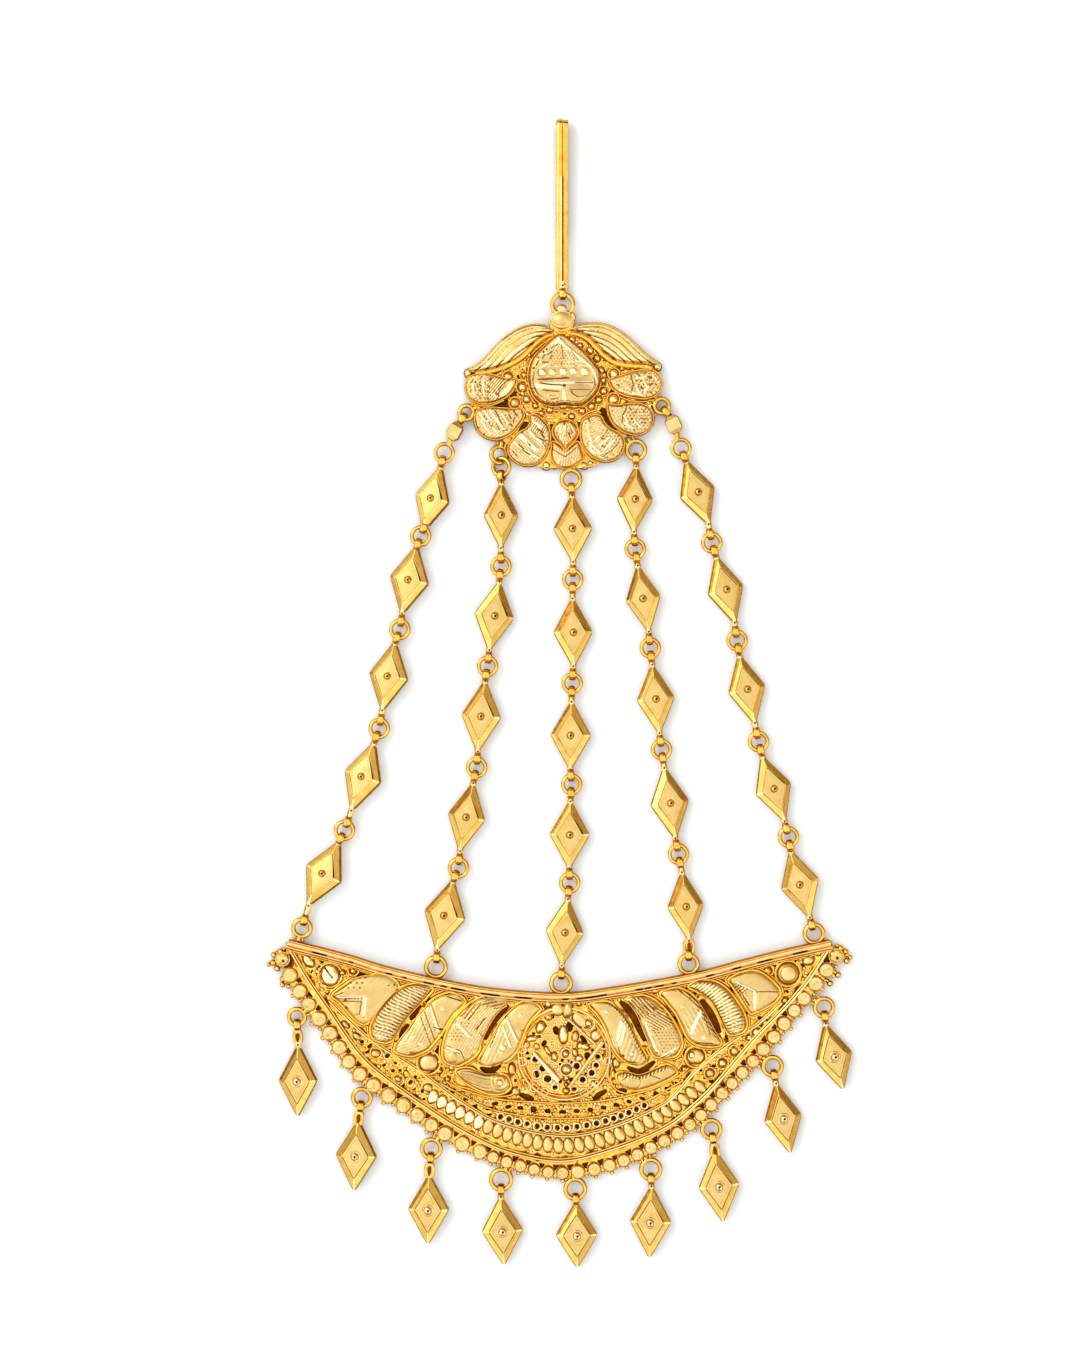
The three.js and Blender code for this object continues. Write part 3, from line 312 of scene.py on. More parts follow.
        # keep the triangles inside the outline and outside the holes
        middle = verts[np.array(tris)].mean(1)
        keep = inside(middle, loops[0])
        for loop in loops[1:]:
            near = np.abs(middle - loop.mean(0)).max(1) < np.ptp(loop, axis=0).max()
            keep[near] &= ~inside(middle[near], loop)
        tris = [list(t) for t, k in zip(tris, keep) if k]
        v0, v1, v2 = (verts[[t[c] for t in tris]] for c in range(3))
        turned = (v1[:, 0] - v0[:, 0]) * (v2[:, 1] - v0[:, 1]) - (v1[:, 1] - v0[:, 1]) * (v2[:, 0] - v0[:, 0])
        tris = [t if w > 0 else t[::-1] for t, w in zip(tris, turned)]
        top_marks = [finish if top_finish is None else top_finish] * len(tris)
        if paint is not None:
            mid = (v0 + v1 + v2) / 3
            top_marks = [int(m) for m in paint(mid[:, 0], mid[:, 1])]
        faces = list(tris) + [[i + n for i in t[::-1]] for t in tris]
        marks = top_marks + [finish] * len(tris)
        at = 0
        for number, loop in enumerate(loops):
            area = 0.5 * np.sum(loop[:, 0] * np.roll(loop[:, 1], -1) - np.roll(loop[:, 0], -1) * loop[:, 1])
            ids = [place[at + i] for i in range(len(loop))]
            if (area < 0) == (number == 0):
                ids = ids[::-1]
            for p, q in zip(ids, ids[1:] + ids[:1]):
                faces.append([p, p + n, q + n, q])
                marks.append(finish)
            at += len(loop)
        self.add(np.vstack([np.column_stack([verts, z]), np.column_stack([verts, np.full(n, float(low))])]), faces, marks)

    def facets(self, verts, faces, finish=0):
        self.add(verts, faces, finish)

    def moved(self, turn=0.0, roll=0.0, at=(0, 0, 0)):
        """Rolled about its length, turned about the upright, and moved to its place."""
        v = np.vstack(self.verts)
        c, s = math.cos(roll), math.sin(roll)
        v = v @ np.array([[c, 0, -s], [0, 1, 0], [s, 0, c]])
        c, s = math.cos(turn), math.sin(turn)
        v = v @ np.array([[c, s, 0], [-s, c, 0], [0, 0, 1]])
        self.verts = [v + np.asarray(at, float)]
        return self

    def join(self, other):
        self.add(np.vstack(other.verts), other.faces, list(other.finish))
        return self

    def piece(self, name, finishes, nodes, slot, sharp=32):
        """The mesh as a Blender object that rides with the part and stands for its solids."""
        mesh = bpy.data.meshes.new(name)
        mesh.from_pydata((np.vstack(self.verts) * MM).tolist(), [], self.faces)
        for f in finishes:
            mesh.materials.append(f)
        mesh.polygons.foreach_set("material_index", np.array(self.finish, dtype=np.int32))
        mesh.polygons.foreach_set("use_smooth", np.ones(len(mesh.polygons), bool))
        mesh.update()
        mesh.set_sharp_from_angle(angle=math.radians(sharp))
        thing = bpy.data.objects.new(name, mesh)
        bpy.context.scene.collection.objects.link(thing)
        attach(thing, "root")
        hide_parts(*([nodes] if isinstance(nodes, str) else nodes))
        return thing


# ---------------------------------------------------------------- finishes


def gold(name, light, deep, rough, spread=0.08, grain=0.0, grain_size=0.12, brushed=0.0, mottle=1.1, rim=0.80, flank_shade_from=(0.34, 0.86)):
    """Yellow gold: light and deep are its two tones, rough its middle roughness. Grain is a fine matte
    texture, brushed a set of fine parallel scratches; sizes are in millimetres. Rim is how strongly shade
    is painted on the steep flanks of the work, darkening the tone there towards a deep brown; the two
    slopes given last are where that painted shade starts and where it is full."""
    m = bpy.data.materials.new(name)
    m.use_nodes = True
    nodes, links = m.node_tree.nodes, m.node_tree.links
    nodes.clear()
    out = nodes.new("ShaderNodeOutputMaterial")
    s = nodes.new("ShaderNodeBsdfPrincipled")
    s.inputs["Metallic"].default_value = 1.0
    s.inputs["Specular Tint"].default_value = (0.85, 0.50, 0.16, 1)
    links.new(s.outputs["BSDF"], out.inputs["Surface"])
    where = nodes.new("ShaderNodeTexCoord")

    def noise(size, detail=3.0, stretch=None):
        n = nodes.new("ShaderNodeTexNoise")
        n.inputs["Scale"].default_value = 1.0 / (size * MM)
        n.inputs["Detail"].default_value = detail
        if stretch:
            m2 = nodes.new("ShaderNodeMapping")
            m2.inputs["Scale"].default_value = stretch
            m2.inputs["Rotation"].default_value = (0, 0, 0.9)
            links.new(where.outputs["Object"], m2.inputs["Vector"])
            links.new(m2.outputs["Vector"], n.inputs["Vector"])
        else:
            links.new(where.outputs["Object"], n.inputs["Vector"])
        return n

    tone = noise(mottle, 4.0)
    mix = nodes.new("ShaderNodeMix")
    mix.data_type = "RGBA"
    mix.inputs["A"].default_value = (*deep, 1)
    mix.inputs["B"].default_value = (*light, 1)
    ramp = nodes.new("ShaderNodeMapRange")
    ramp.inputs["From Min"].default_value = 0.32
    ramp.inputs["From Max"].default_value = 0.62
    links.new(tone.outputs["Fac"], ramp.inputs["Value"])
    links.new(ramp.outputs["Result"], mix.inputs["Factor"])
    # painted shade on steep flanks: the slope of the surface itself, against the upright of the lying object: 0 flat, 1
    # on edge
    slope = nodes.new("ShaderNodeSeparateXYZ")
    links.new(where.outputs["Normal"], slope.inputs[0])
    level = nodes.new("ShaderNodeMath")
    level.operation = "ABSOLUTE"
    links.new(slope.outputs["Z"], level.inputs[0])
    steep = nodes.new("ShaderNodeMath")
    steep.operation = "SUBTRACT"
    steep.inputs[0].default_value = 1.0
    links.new(level.outputs[0], steep.inputs[1])
    away = nodes.new("ShaderNodeMapRange")
    away.interpolation_type = "SMOOTHSTEP"
    away.inputs["From Min"].default_value = flank_shade_from[0]
    away.inputs["From Max"].default_value = flank_shade_from[1]
    away.inputs["To Max"].default_value = rim
    links.new(steep.outputs[0], away.inputs["Value"])
    edge = nodes.new("ShaderNodeMix")
    edge.data_type = "RGBA"
    edge.inputs["B"].default_value = (deep[0] * 0.50, deep[1] * 0.24, deep[2] * 0.08, 1)
    links.new(away.outputs["Result"], edge.inputs["Factor"])
    links.new(mix.outputs["Result"], edge.inputs["A"])
    links.new(edge.outputs["Result"], s.inputs["Base Color"])
    wear = noise(0.35, 3.0)
    r = nodes.new("ShaderNodeMapRange")
    r.inputs["From Min"].default_value = 0.3
    r.inputs["From Max"].default_value = 0.7
    r.inputs["To Min"].default_value = rough - spread
    r.inputs["To Max"].default_value = rough + spread
    links.new(wear.outputs["Fac"], r.inputs["Value"])
    links.new(r.outputs["Result"], s.inputs["Roughness"])
    height = None
    if brushed:
        lines = noise(0.16, 2.0, (1.0, 0.08, 1.0))
        b = nodes.new("ShaderNodeBump")
        b.inputs["Strength"].default_value = brushed
        b.inputs["Distance"].default_value = 0.01 * MM
        links.new(lines.outputs["Fac"], b.inputs["Height"])
        height = b
    if grain:
        fine = noise(grain_size, 2.0)
        b = nodes.new("ShaderNodeBump")
        b.inputs["Strength"].default_value = grain
        b.inputs["Distance"].default_value = 0.02 * MM
        links.new(fine.outputs["Fac"], b.inputs["Height"])
        if height:
            links.new(height.outputs["Normal"], b.inputs["Normal"])
        height = b
    if height:
        links.new(height.outputs["Normal"], s.inputs["Normal"])
    return m


# The golds below are one metal: their roughness and textures are its finishes, and the differences of tone between them
# paint light and shade where noted.
POLISHED = gold("polished_gold", (0.87, 0.57, 0.12), (0.79, 0.45, 0.055), 0.14, 0.05, grain=0.15, grain_size=0.4, flank_shade_from=(0.10, 0.64))
SATIN = gold("satin_gold", (0.75, 0.55, 0.205), (0.70, 0.475, 0.14), 0.38, 0.08, grain=0.55, grain_size=0.12, brushed=0.25)
# wire gold: deeper and more orange than the satin gold, painted for the gold's light thrown back onto the wires from
# the gold around them
WIRE = gold("wire_gold", (0.94, 0.59, 0.11), (0.82, 0.42, 0.035), 0.17, 0.06, grain=0.2, grain_size=0.3, flank_shade_from=(0.18, 0.72))
# painted light: polished gold painted paler, for parts shown lit
PAINTED_LIGHT = gold("painted_light_gold", (0.94, 0.74, 0.39), (0.88, 0.63, 0.27), 0.11, 0.04, grain=0.1, grain_size=0.25)
# painted shade: a near-black brown for hollows, hole walls, drilled holes and the sheets seen through gaps
PAINTED_SHADE = gold("painted_shade_gold", (0.20, 0.065, 0.008), (0.11, 0.03, 0.003), 0.5, 0.1, grain=0.5, grain_size=0.15)
# painted shade: dark brown for grooves, cut lines, joins and the thin dark lines round feet and edges
PAINTED_LINE_SHADE = gold("painted_line_shade_gold", (0.26, 0.10, 0.012), (0.17, 0.05, 0.006), 0.35, 0.08, grain=0.2, grain_size=0.15)
# painted highlight: the palest gold, for crests, cut corners, balls and beads shown in the highlight
PAINTED_HIGHLIGHT = gold("painted_highlight_gold", (0.96, 0.82, 0.52), (0.92, 0.74, 0.42), 0.16, 0.05, grain=0.1, grain_size=0.25)
# ground gold: the same deeper orange, painted for the gold's light thrown back onto the ground between the work
GROUND = gold("ground_gold", (0.96, 0.61, 0.12), (0.84, 0.45, 0.04), 0.26, 0.08, grain=0.25, grain_size=0.2, rim=0.60)
BEVEL = gold("bevel_gold", (0.84, 0.585, 0.15), (0.77, 0.48, 0.085), 0.26, 0.04, grain=0.05, grain_size=0.3, brushed=0.05)
# painted half shade: a dull brown gold for shallow grooves, hollows, rib lines and rims
PAINTED_HALF_SHADE = gold("painted_half_shade_gold", (0.66, 0.46, 0.22), (0.54, 0.35, 0.14), 0.40, 0.08, grain=0.5, grain_size=0.12)
LEAF = gold("leaf_gold", (0.74, 0.55, 0.222), (0.68, 0.465, 0.152), 0.40, 0.08, grain=0.55, grain_size=0.12, brushed=0.2)
# cap gold: a beaten matte texture, painted paler than the satin gold as tops lit from above
CAP = gold("cap_gold", (0.84, 0.64, 0.27), (0.77, 0.53, 0.17), 0.36, 0.10, grain=0.9, grain_size=0.14)
# painted shade: the dark brown seen where the slits are closed by the sheet below
PAINTED_SLIT_SHADE = gold("painted_slit_shade_gold", (0.24, 0.065, 0.010), (0.13, 0.03, 0.003), 0.50, 0.10, grain=0.4, grain_size=0.2)
# painted warm shade: a dark orange-brown for shaded flanks, thin dark lines and dark reflections
PAINTED_WARM_SHADE = gold("painted_warm_shade_gold", (0.50, 0.235, 0.030), (0.30, 0.12, 0.010), 0.26, 0.08, grain=0.3, grain_size=0.3, mottle=0.7)
# painted deep shade: near black, for the deepest cuts and the dark reflection in the bosses' middles
PAINTED_DEEP_SHADE = gold("painted_deep_shade_gold", (0.050, 0.018, 0.003), (0.025, 0.008, 0.001), 0.50, 0.10, grain=0.3, grain_size=0.2, rim=0.0)
FINISHES = [SATIN, POLISHED, WIRE, PAINTED_LIGHT, PAINTED_SHADE, PAINTED_LINE_SHADE, PAINTED_HIGHLIGHT, GROUND, BEVEL, CAP, PAINTED_SLIT_SHADE, PAINTED_HALF_SHADE, LEAF, PAINTED_WARM_SHADE, PAINTED_DEEP_SHADE]
F_SATIN, F_POLISHED, F_WIRE, F_PAINTED_LIGHT, F_PAINTED_SHADE, F_PAINTED_LINE_SHADE, F_PAINTED_HIGHLIGHT, F_GROUND, F_BEVEL, F_CAP, F_PAINTED_SLIT_SHADE, F_PAINTED_HALF_SHADE, F_LEAF, F_PAINTED_WARM_SHADE, F_PAINTED_DEEP_SHADE = range(15)

# ---------------------------------------------------------------- links

RING = {"radius": 1.15, "wire": 0.27}
BAIL_WIRE = 0.26
LOOP = {"middle": 0.63, "half": 0.43, "thick": 0.19}
LINK_Z = 0.95
LINKED_TILT = math.radians(24)
NECK = 0.34
DIAMOND = {"below": 0.45, "edge": 0.36, "crown": 0.90, "table_wide": 0.66, "table_long": 0.60, "point": 0.62}
BOX = {"half": 0.95, "long": 2.5}

# A diamond link's profile from its middle below to its middle above: share of its outline and height.
# Where the row is marked, the strip up to it is a line: 1 a groove round the table, painted dark as shade on its upper
# right (on drops on all four long sides); 2 a scribed groove; 3, like the rows under it, a band painted as warm shade
# on the long sides.
DIAMOND_PROFILE = table("""
share   z      line
0.97   -0.45   0
1.00   -0.40   0
1.00    0.19   0
0.988   0.25   0
0.955   0.37   3
0.845   0.547  4
0.715   0.755  0
0.700   0.785  0
0.682   0.785  0
0.670   0.735  1
0.652   0.735  1
0.640   0.795  1
0.520   0.815  0
0.514   0.802  2
0.508   0.802  2
0.502   0.818  2
0.150   0.870  0
""")

# The polished boss at a link's middle, and the bezel round it: on a chain's links and on the drops.
BOSS = table("""
r      z
0.41   0.70
0.41   0.86
0.395  0.95
0.35   1.05
0.28   1.13
0.19   1.18
0.10   1.205
0      1.212
""")
BEZEL = table("""
r      z
0      0.70
0.53   0.70
0.53   0.87
0.50   0.90
0.46   0.89
0.44   0.84
0      0.84
""")
DROP_BEZEL = table("""
r      z
0      0.70
0.66   0.70
0.68   0.93
0.61   0.99
0.53   0.97
0.46   0.88
0      0.88
""")
DRILLED = table("""
r      z
0     -0.12
0.15  -0.12
0.15   0.015
0.09   0.03
0      0.03
""")

# The drilled middle of a boss, painted near black as shade and as the dark reflection in it.
DIMPLE = table("""
r      z
0      1.00
0.17   1.00
0.17   1.215
0.11   1.245
0      1.25
""")

# Which links' upper left slopes carry a painted dark reflection, and how far; and the width of the cut beside the
# table.
PAINTED_REFLECTIONS = table("""
chain  link  stain  gash
1      1     0      1.2
1      2     0      1.0
1      3     0      0.7
1      4     0      1.1
1      5     0      1.2
2      1     1      0.6
2      2     0      1.0
2      3     1      0.9
2      4     2      0.7
2      5     1      1.0
3      1     1      0.8
3      2     2      0.6
3      3     1      0.6
3      4     1      1.1
3      5     0      0.8
4      1     2      0.5
4      2     1      0.3
4      3     1      0.3
4      4     0      0.4
4      5     2      0.3
5      1     1      0.3
5      2     1      0.3
5      3     1      0.4
5      4     0      0.7
5      5     0      0.3
""")
# the same painted dark reflections, for the nine drops
DROP_PAINTED_REFLECTIONS = (1, 0, 1, 0, 1, 1, 0, 2, 1)

CHAINS = [
    {  # chain 1: its top and end bails are x, y and width across
        "top": (-12.35, 36.58, 2.35), "end": (-33.86, -30.78, 2.75),
        "diamonds": table("""
        x  y  turn  roll  wide  long
        -16.83  25.33  -15.1  -14  4.7  8.08
        -19.83  14.69  -12.4  -11  5.26  8.41
        -22.53  2.11  -10.6  -10  5.22  8.46
        -25.9  -11.01  -18.5  -13  5.1  8.75
        -31.01  -23.68  -26.2  -13  5.21  8.68
        """),
        "rings": table("""
        x  y
        -15.25  31.33
        -18.33  20.46
        -21.06  8.25
        -23.75  -4.69
        -28.29  -18.01
        """),
    },
    {  # chain 2: its top and end bails are x, y and width across
        "top": (-8.1, 31.07, 2.68), "end": (-16.34, -35.88, 3.07),
        "diamonds": table("""
        x  y  turn  roll  wide  long
        -7.83  23.14  -0.4  3  4.6  8
        -8.72  10.01  -8.6  4  5.22  8.49
        -10.42  -3.11  -6  -3  5.2  8.69
        -12.35  -16.28  -11.2  -3  4.94  8.51
        -15.19  -29.1  -13.1  -7  5.53  8.74
        """),
        "rings": table("""
        x  y
        -7.8  29.48
        -7.84  16.51
        -9.59  3.44
        -11.01  -9.79
        -13.41  -22.92
        """),
    },
    {  # chain 3: its top and end bails are x, y and width across
        "top": (1.31, 27.84, 2.93), "end": (0.01, -37.99, 3.05),
        "diamonds": table("""
        x  y  turn  roll  wide  long
        1.54  21.39  0.9  -3  5.14  8.13
        1.57  7.85  0.9  2  5.16  8.34
        1.28  -5.61  -1.1  -4  5.31  8.26
        1.14  -18.57  -0.9  0  5.27  8.2
        0.49  -31.31  -5.3  1  5.05  8.17
        """),
        "rings": table("""
        x  y
        1.53  14.78
        1.46  1.24
        1.4  -11.99
        1.14  -24.86
        """),
    },
    {  # chain 4: its top and end bails are x, y and width across
        "top": (9.8, 31.7, 2.88), "end": (16.68, -35.49, 2.88),
        "diamonds": table("""
        x  y  turn  roll  wide  long
        9.65  25.25  -2.4  3  4.77  8.01
        10.74  12.27  9.8  -4  4.64  8.22
        12.38  -0.84  6.1  0  5.01  8.44
        14.21  -14.45  9  5  5.1  8.77
        16.29  -27.93  6  2  4.81  8.44
        """),
        "rings": table("""
        x  y
        9.71  18.76
        11.67  5.83
        13.14  -7.45
        15.36  -21.12
        """),
    },
    {  # chain 5: its top and end bails are x, y and width across
        "top": (13.16, 37.45, 2.42), "end": (33.07, -31.5, 2.94),
        "diamonds": table("""
        x  y  turn  roll  wide  long
        17.82  26.13  20.1  5  4.79  8.31
        21.51  13.42  16.1  6  4.84  8.44
        24.29  0.42  13.1  3  4.96  8.54
        27.75  -12.57  19.5  3  4.85  8.46
        31.23  -25.04  16.5  -7  5.15  8.5
        """),
        "rings": table("""
        x  y
        15.69  31.91
        19.71  19.59
        23.01  6.8
        25.82  -6.41
        29.73  -18.88
        """),
    },
]

DROPS = table("""
x  y  turn  roll  wide  long  bail_x  bail_y  bail_across
-34.37  -50.73  -0.3  -6  5.11  8.89  -34.51  -42.39  2.61
-26.77  -60.53  -3.3  -9  5.44  8.68  -26.03  -52.95  2.81
-17.31  -67.56  -0.8  -4  5.38  8.58  -16.95  -59.61  2.93
-7.66  -70.34  2.8  1  5.39  8.39  -7.82  -63.65  3.14
2.05  -70.87  0.8  1  5.46  8.08  1.87  -64.89  3.08
11.7  -69.17  -1.6  -4  5.39  8.87  11.74  -62.3  3.01
20.64  -64.47  6.6  -2  5.33  8.97  19.66  -57.07  2.88
29.02  -55.62  11.6  3  5  8.87  27.65  -48.84  2.92
35.66  -47.56  15.3  4  4.96  8.43  34.38  -41.16  2.88
""")

BOX_LINKS = table("""
chain  x  y
1  -13.92  34.12
5  14.71  35.03
""")


def heading(dx, dy):
    """The turn that takes +Y to a direction."""
    return math.atan2(-dx, dy)


def diamond(form, wide, half_long, upper, lower, drop=False, stain=0, gash=1.0):
    """A faceted diamond link in its own frame, its length along y. Its upper left slope carries a painted
    dark reflection, on one row of facets where the argument before gash is 1 and on two where it is 2;
    gash is the width of the cut beside the table."""
    around = []
    for row in DIAMOND_PROFILE:
        share = row["share"]
        t = min(1.0, (1 - share) / 0.345)
        # the table is a little shorter than the outline's share of it
        sx = share
        sy = share * (1 - 0.07 * t)
        x, y = wide / 2 * sx, half_long * sy
        cut = 0.07 if share > 0.6 else 0.02
        up = min(y - cut * 1.6, upper)
        down = min(y - cut * 1.6, lower)
        at = lambda h: x * (1 - h / y)
        e = cut * y / x
        around.append([(x - cut, e), (at(up), up), (-at(up), up), (-(x - cut), e),
                       (-(x - cut), -e), (-at(down), -down), (at(down), -down), (x - cut, -e)])
    verts = [(px, py, row["z"]) for row, ring in zip(DIAMOND_PROFILE, around) for px, py in ring]
    faces, marks = [], []
    faces.append([0, 7, 6, 5, 4, 3, 2, 1])
    marks.append(F_SATIN)
    for r in range(len(around) - 1):
        for m in range(8):
            m2 = (m + 1) % 8
            faces.append([r * 8 + m, r * 8 + m2, (r + 1) * 8 + m2, (r + 1) * 8 + m])
            line = DIAMOND_PROFILE[r + 1]["line"]
            if line == 1:
                # painted shade: the line round the table is one groove of even depth, painted dark along the upper
                # right (on drops along all four long sides) and in plain gold tones on the other sides
                marks.append(F_PAINTED_LINE_SHADE if m == 0 or (drop and m in (2, 4, 6)) else F_WIRE if m in (2, 4, 6) else F_BEVEL)
            elif line == 2:
                marks.append(F_BEVEL)
            # painted warm shade on the long sides of the link's lower rows, a dark outline round the link
            elif line == 3 or r < 3:
                marks.append(F_PAINTED_WARM_SHADE if m in (0, 2, 4, 6) else F_BEVEL)
            elif r in (4, 5):
                # painted light and reflection: the corners' cuts are painted as highlights, and on some links the upper
                # left slope carries a painted dark reflection
                if m in (3, 5, 7):
                    marks.append(F_PAINTED_HIGHLIGHT if m == 5 else F_PAINTED_LIGHT)
                elif m == 2 and stain > r - 4:
                    marks.append(F_PAINTED_WARM_SHADE)
                else:
                    marks.append(F_BEVEL)
            # the short rise to the table's rim is painted light
            elif r == 6:
                marks.append(F_PAINTED_LIGHT)
            else:
                marks.append(F_SATIN)
    top = len(verts)
    verts.append((0, 0, 0.885))
    last = (len(around) - 1) * 8
    for m in range(8):
        faces.append([last + m, last + (m + 1) % 8, top])
        marks.append(F_SATIN)
    form.facets(verts, faces, marks)
    # the cut beside the table: along its upper right it widens towards the corner and is painted near black as deep
    # shade, and along its lower left it is a scratch painted as a line of shade
    ring = np.array(around[7])
    for a, b, wide_cut, reach in ((0, 1, 0.20 * gash, 0.78), (4, 5, 0.07, 0.80)):
        p, q = ring[a], ring[b]
        along = (q - p) / np.hypot(*(q - p))
        across = np.array([-along[1], along[0]])
        across *= -1 if across @ p > 0 else 1
        stations = [(0.02, 0.45), (0.06, 1.0), (0.30, 0.75), (0.55, 0.45), (reach, 0.12)]
        cut_verts, cut_faces = [], []
        for share, w in stations:
            middle = p + (q - p) * share + across * 0.06
            for side, z in ((0.5, 0.70), (0.5, 0.812), (-0.5, 0.806), (-0.5, 0.70)):
                v = middle + across * side * w * wide_cut
                cut_verts.append((v[0], v[1], z))
        for i in range(len(stations) - 1):
            for k in range(4):
                k2 = (k + 1) % 4
                cut_faces.append([i * 4 + k, i * 4 + k2, i * 4 + 4 + k2, i * 4 + 4 + k])
        cut_faces += [[3, 2, 1, 0], [len(cut_verts) - 4 + k for k in range(4)]]
        if a == 0:
            cut_faces = [f[::-1] for f in cut_faces]
        form.facets(cut_verts, cut_faces, F_PAINTED_DEEP_SHADE if a == 0 else F_PAINTED_LINE_SHADE)
    # the boss in its bezel: on the drops both are painted light; on the links a thin ring of painted warm shade runs
    # round the boss; the drilled middle of each is painted near black as shade and dark reflection
    if drop:
        form.turn(columns(DROP_BEZEL, "r", "z") * (1.1, 1), (0, 0, 0), 24, finish=F_PAINTED_LIGHT)
        form.turn(columns(BOSS, "r", "z") * (1.2, 1.08), (0, 0, 0), 24, finish=F_PAINTED_LIGHT)
    else:
        form.turn(columns(BEZEL, "r", "z"), (0, 0, 0), 22, finish=F_BEVEL)
        form.ring((0, 0, 0.86), 0.47, 0.05, 26, 6, finish=F_PAINTED_WARM_SHADE)
        form.turn(columns(BOSS, "r", "z"), (0, 0, 0), 22, finish=F_BEVEL)
    form.turn(columns(DIMPLE, "r", "z"), (0.06, -0.01, 0.097 if drop else 0), 14, finish=F_PAINTED_DEEP_SHADE)


def end_loop(form, ring, towards, z_end, reach_end):
    """The upright band that holds a ring, and the neck from it to its link."""
    d = np.array([towards[0] - ring["x"], towards[1] - ring["y"]])
    far = np.hypot(*d)
    d /= far
    middle = np.array([ring["x"], ring["y"]]) + d * ring["radius"]
    z = ring["z"]
    roll = ring.get("roll", 0.0) * (1 if d[1] > 0 else -1)
    level = np.array([d[1], -d[0], 0])
    upright = np.array([0, 0, 1.0])
    axis = level * math.cos(roll) - upright * math.sin(roll)
    upright = upright * math.cos(roll) + level * math.sin(roll)
    a = np.arange(28) / 28 * 2 * math.pi
    line = np.array([middle[0], middle[1], z]) + np.outer(np.cos(a), [d[0], d[1], 0]) * LOOP["middle"] + np.outer(np.sin(a), upright) * LOOP["middle"]
    b = np.arange(14) / 14 * 2 * math.pi
    section = np.stack([np.sign(np.sin(b)) * np.abs(np.sin(b)) ** 0.8 * LOOP["thick"], np.sign(np.cos(b)) * np.abs(np.cos(b)) ** 0.8 * LOOP["half"]], 1)
    form.sweep(line, section, axis, True, F_POLISHED)
    start = ring["radius"] + LOOP["middle"] + 0.05
    stop = far - reach_end
    steps = np.linspace(start, max(stop, start + 0.35), 9)
    t = np.linspace(0, 1, 9)
    neck = np.column_stack([ring["x"] + d[0] * steps, ring["y"] + d[1] * steps, z + (z_end - z) * t])
    swell = 1.02 + 0.40 * np.sin(math.pi * np.clip(t * 1.1, 0, 1)) + 0.20 * t ** 3
    # the neck, painted light
    form.wire(neck, NECK, 14, finish=F_PAINTED_LIGHT, grow=swell, flat=0.95)
    # a drilled hole near its end, painted inside as shade
    share = max(0.2, 1 - 0.52 / max(steps[-1] - steps[0], 0.6))
    p = neck[0] + (neck[-1] - neck[0]) * share
    form.turn(columns(DRILLED, "r", "z"), (p[0], p[1], p[2] + NECK * 0.95 * float(np.interp(share, t, swell))), 10, finish=F_PAINTED_SHADE)


def rest_height(d):
    roll = math.radians(d["roll"])
    return max(LINK_Z, DIAMOND["below"] * math.cos(roll) + d["wide"] / 2 * math.sin(abs(roll)))


def reach_to(d, ring):
    return min(d["long"] / 2, math.hypot(d["x"] - ring["x"], d["y"] - ring["y"]) - ring["radius"] - ring["wire"] - 0.16)


def end_point(d, sign, reach):
    a = math.radians(d["turn"])
    return d["x"] - math.sin(a) * reach * sign, d["y"] + math.cos(a) * reach * sign


def jump_ring(form, r, finish=F_POLISHED):
    roll = r.get("roll", 0.0)
    axis = (math.sin(roll), 0, math.cos(roll))
    form.ring((r["x"], r["y"], r["z"]), r["radius"], r["wire"], 44, 12, axis=axis, finish=finish)
    # painted shade: a thin dark line round the wire's inner shoulder
    lift = r["wire"] * 0.80
    form.ring((r["x"] + axis[0] * lift, r["y"], r["z"] + axis[2] * lift), r["radius"] - r["wire"] * 0.60, 0.06, 40, 6, axis=axis, finish=F_PAINTED_WARM_SHADE)


def bail_of(x, y, across):
    return {"x": x, "y": y, "z": LINK_Z, "radius": across / 2 - BAIL_WIRE, "wire": BAIL_WIRE * 1.16}


def link_form(d, z, upper_ring, lower_ring, drop=False, stain=0, gash=1.0):
    upper = reach_to(d, upper_ring) if upper_ring else None
    lower = reach_to(d, lower_ring) if lower_ring else None
    body = Form()
    diamond(body, d["wide"], d["long"] / 2 + (DIAMOND["point"] if upper_ring and lower_ring else DIAMOND["point"] * 0.8),
            (upper or 9) + 0.05, (lower or d["long"] / 2 + 0.1), drop, stain, gash)
    body.moved(math.radians(d["turn"]), math.radians(d["roll"]), (d["x"], d["y"], z))
    for sign, ring, reach in ((1, upper_ring, upper), (-1, lower_ring, lower)):
        if ring:
            end_loop(body, ring, end_point(d, sign, reach - 0.25), z, 0.0)
    return body


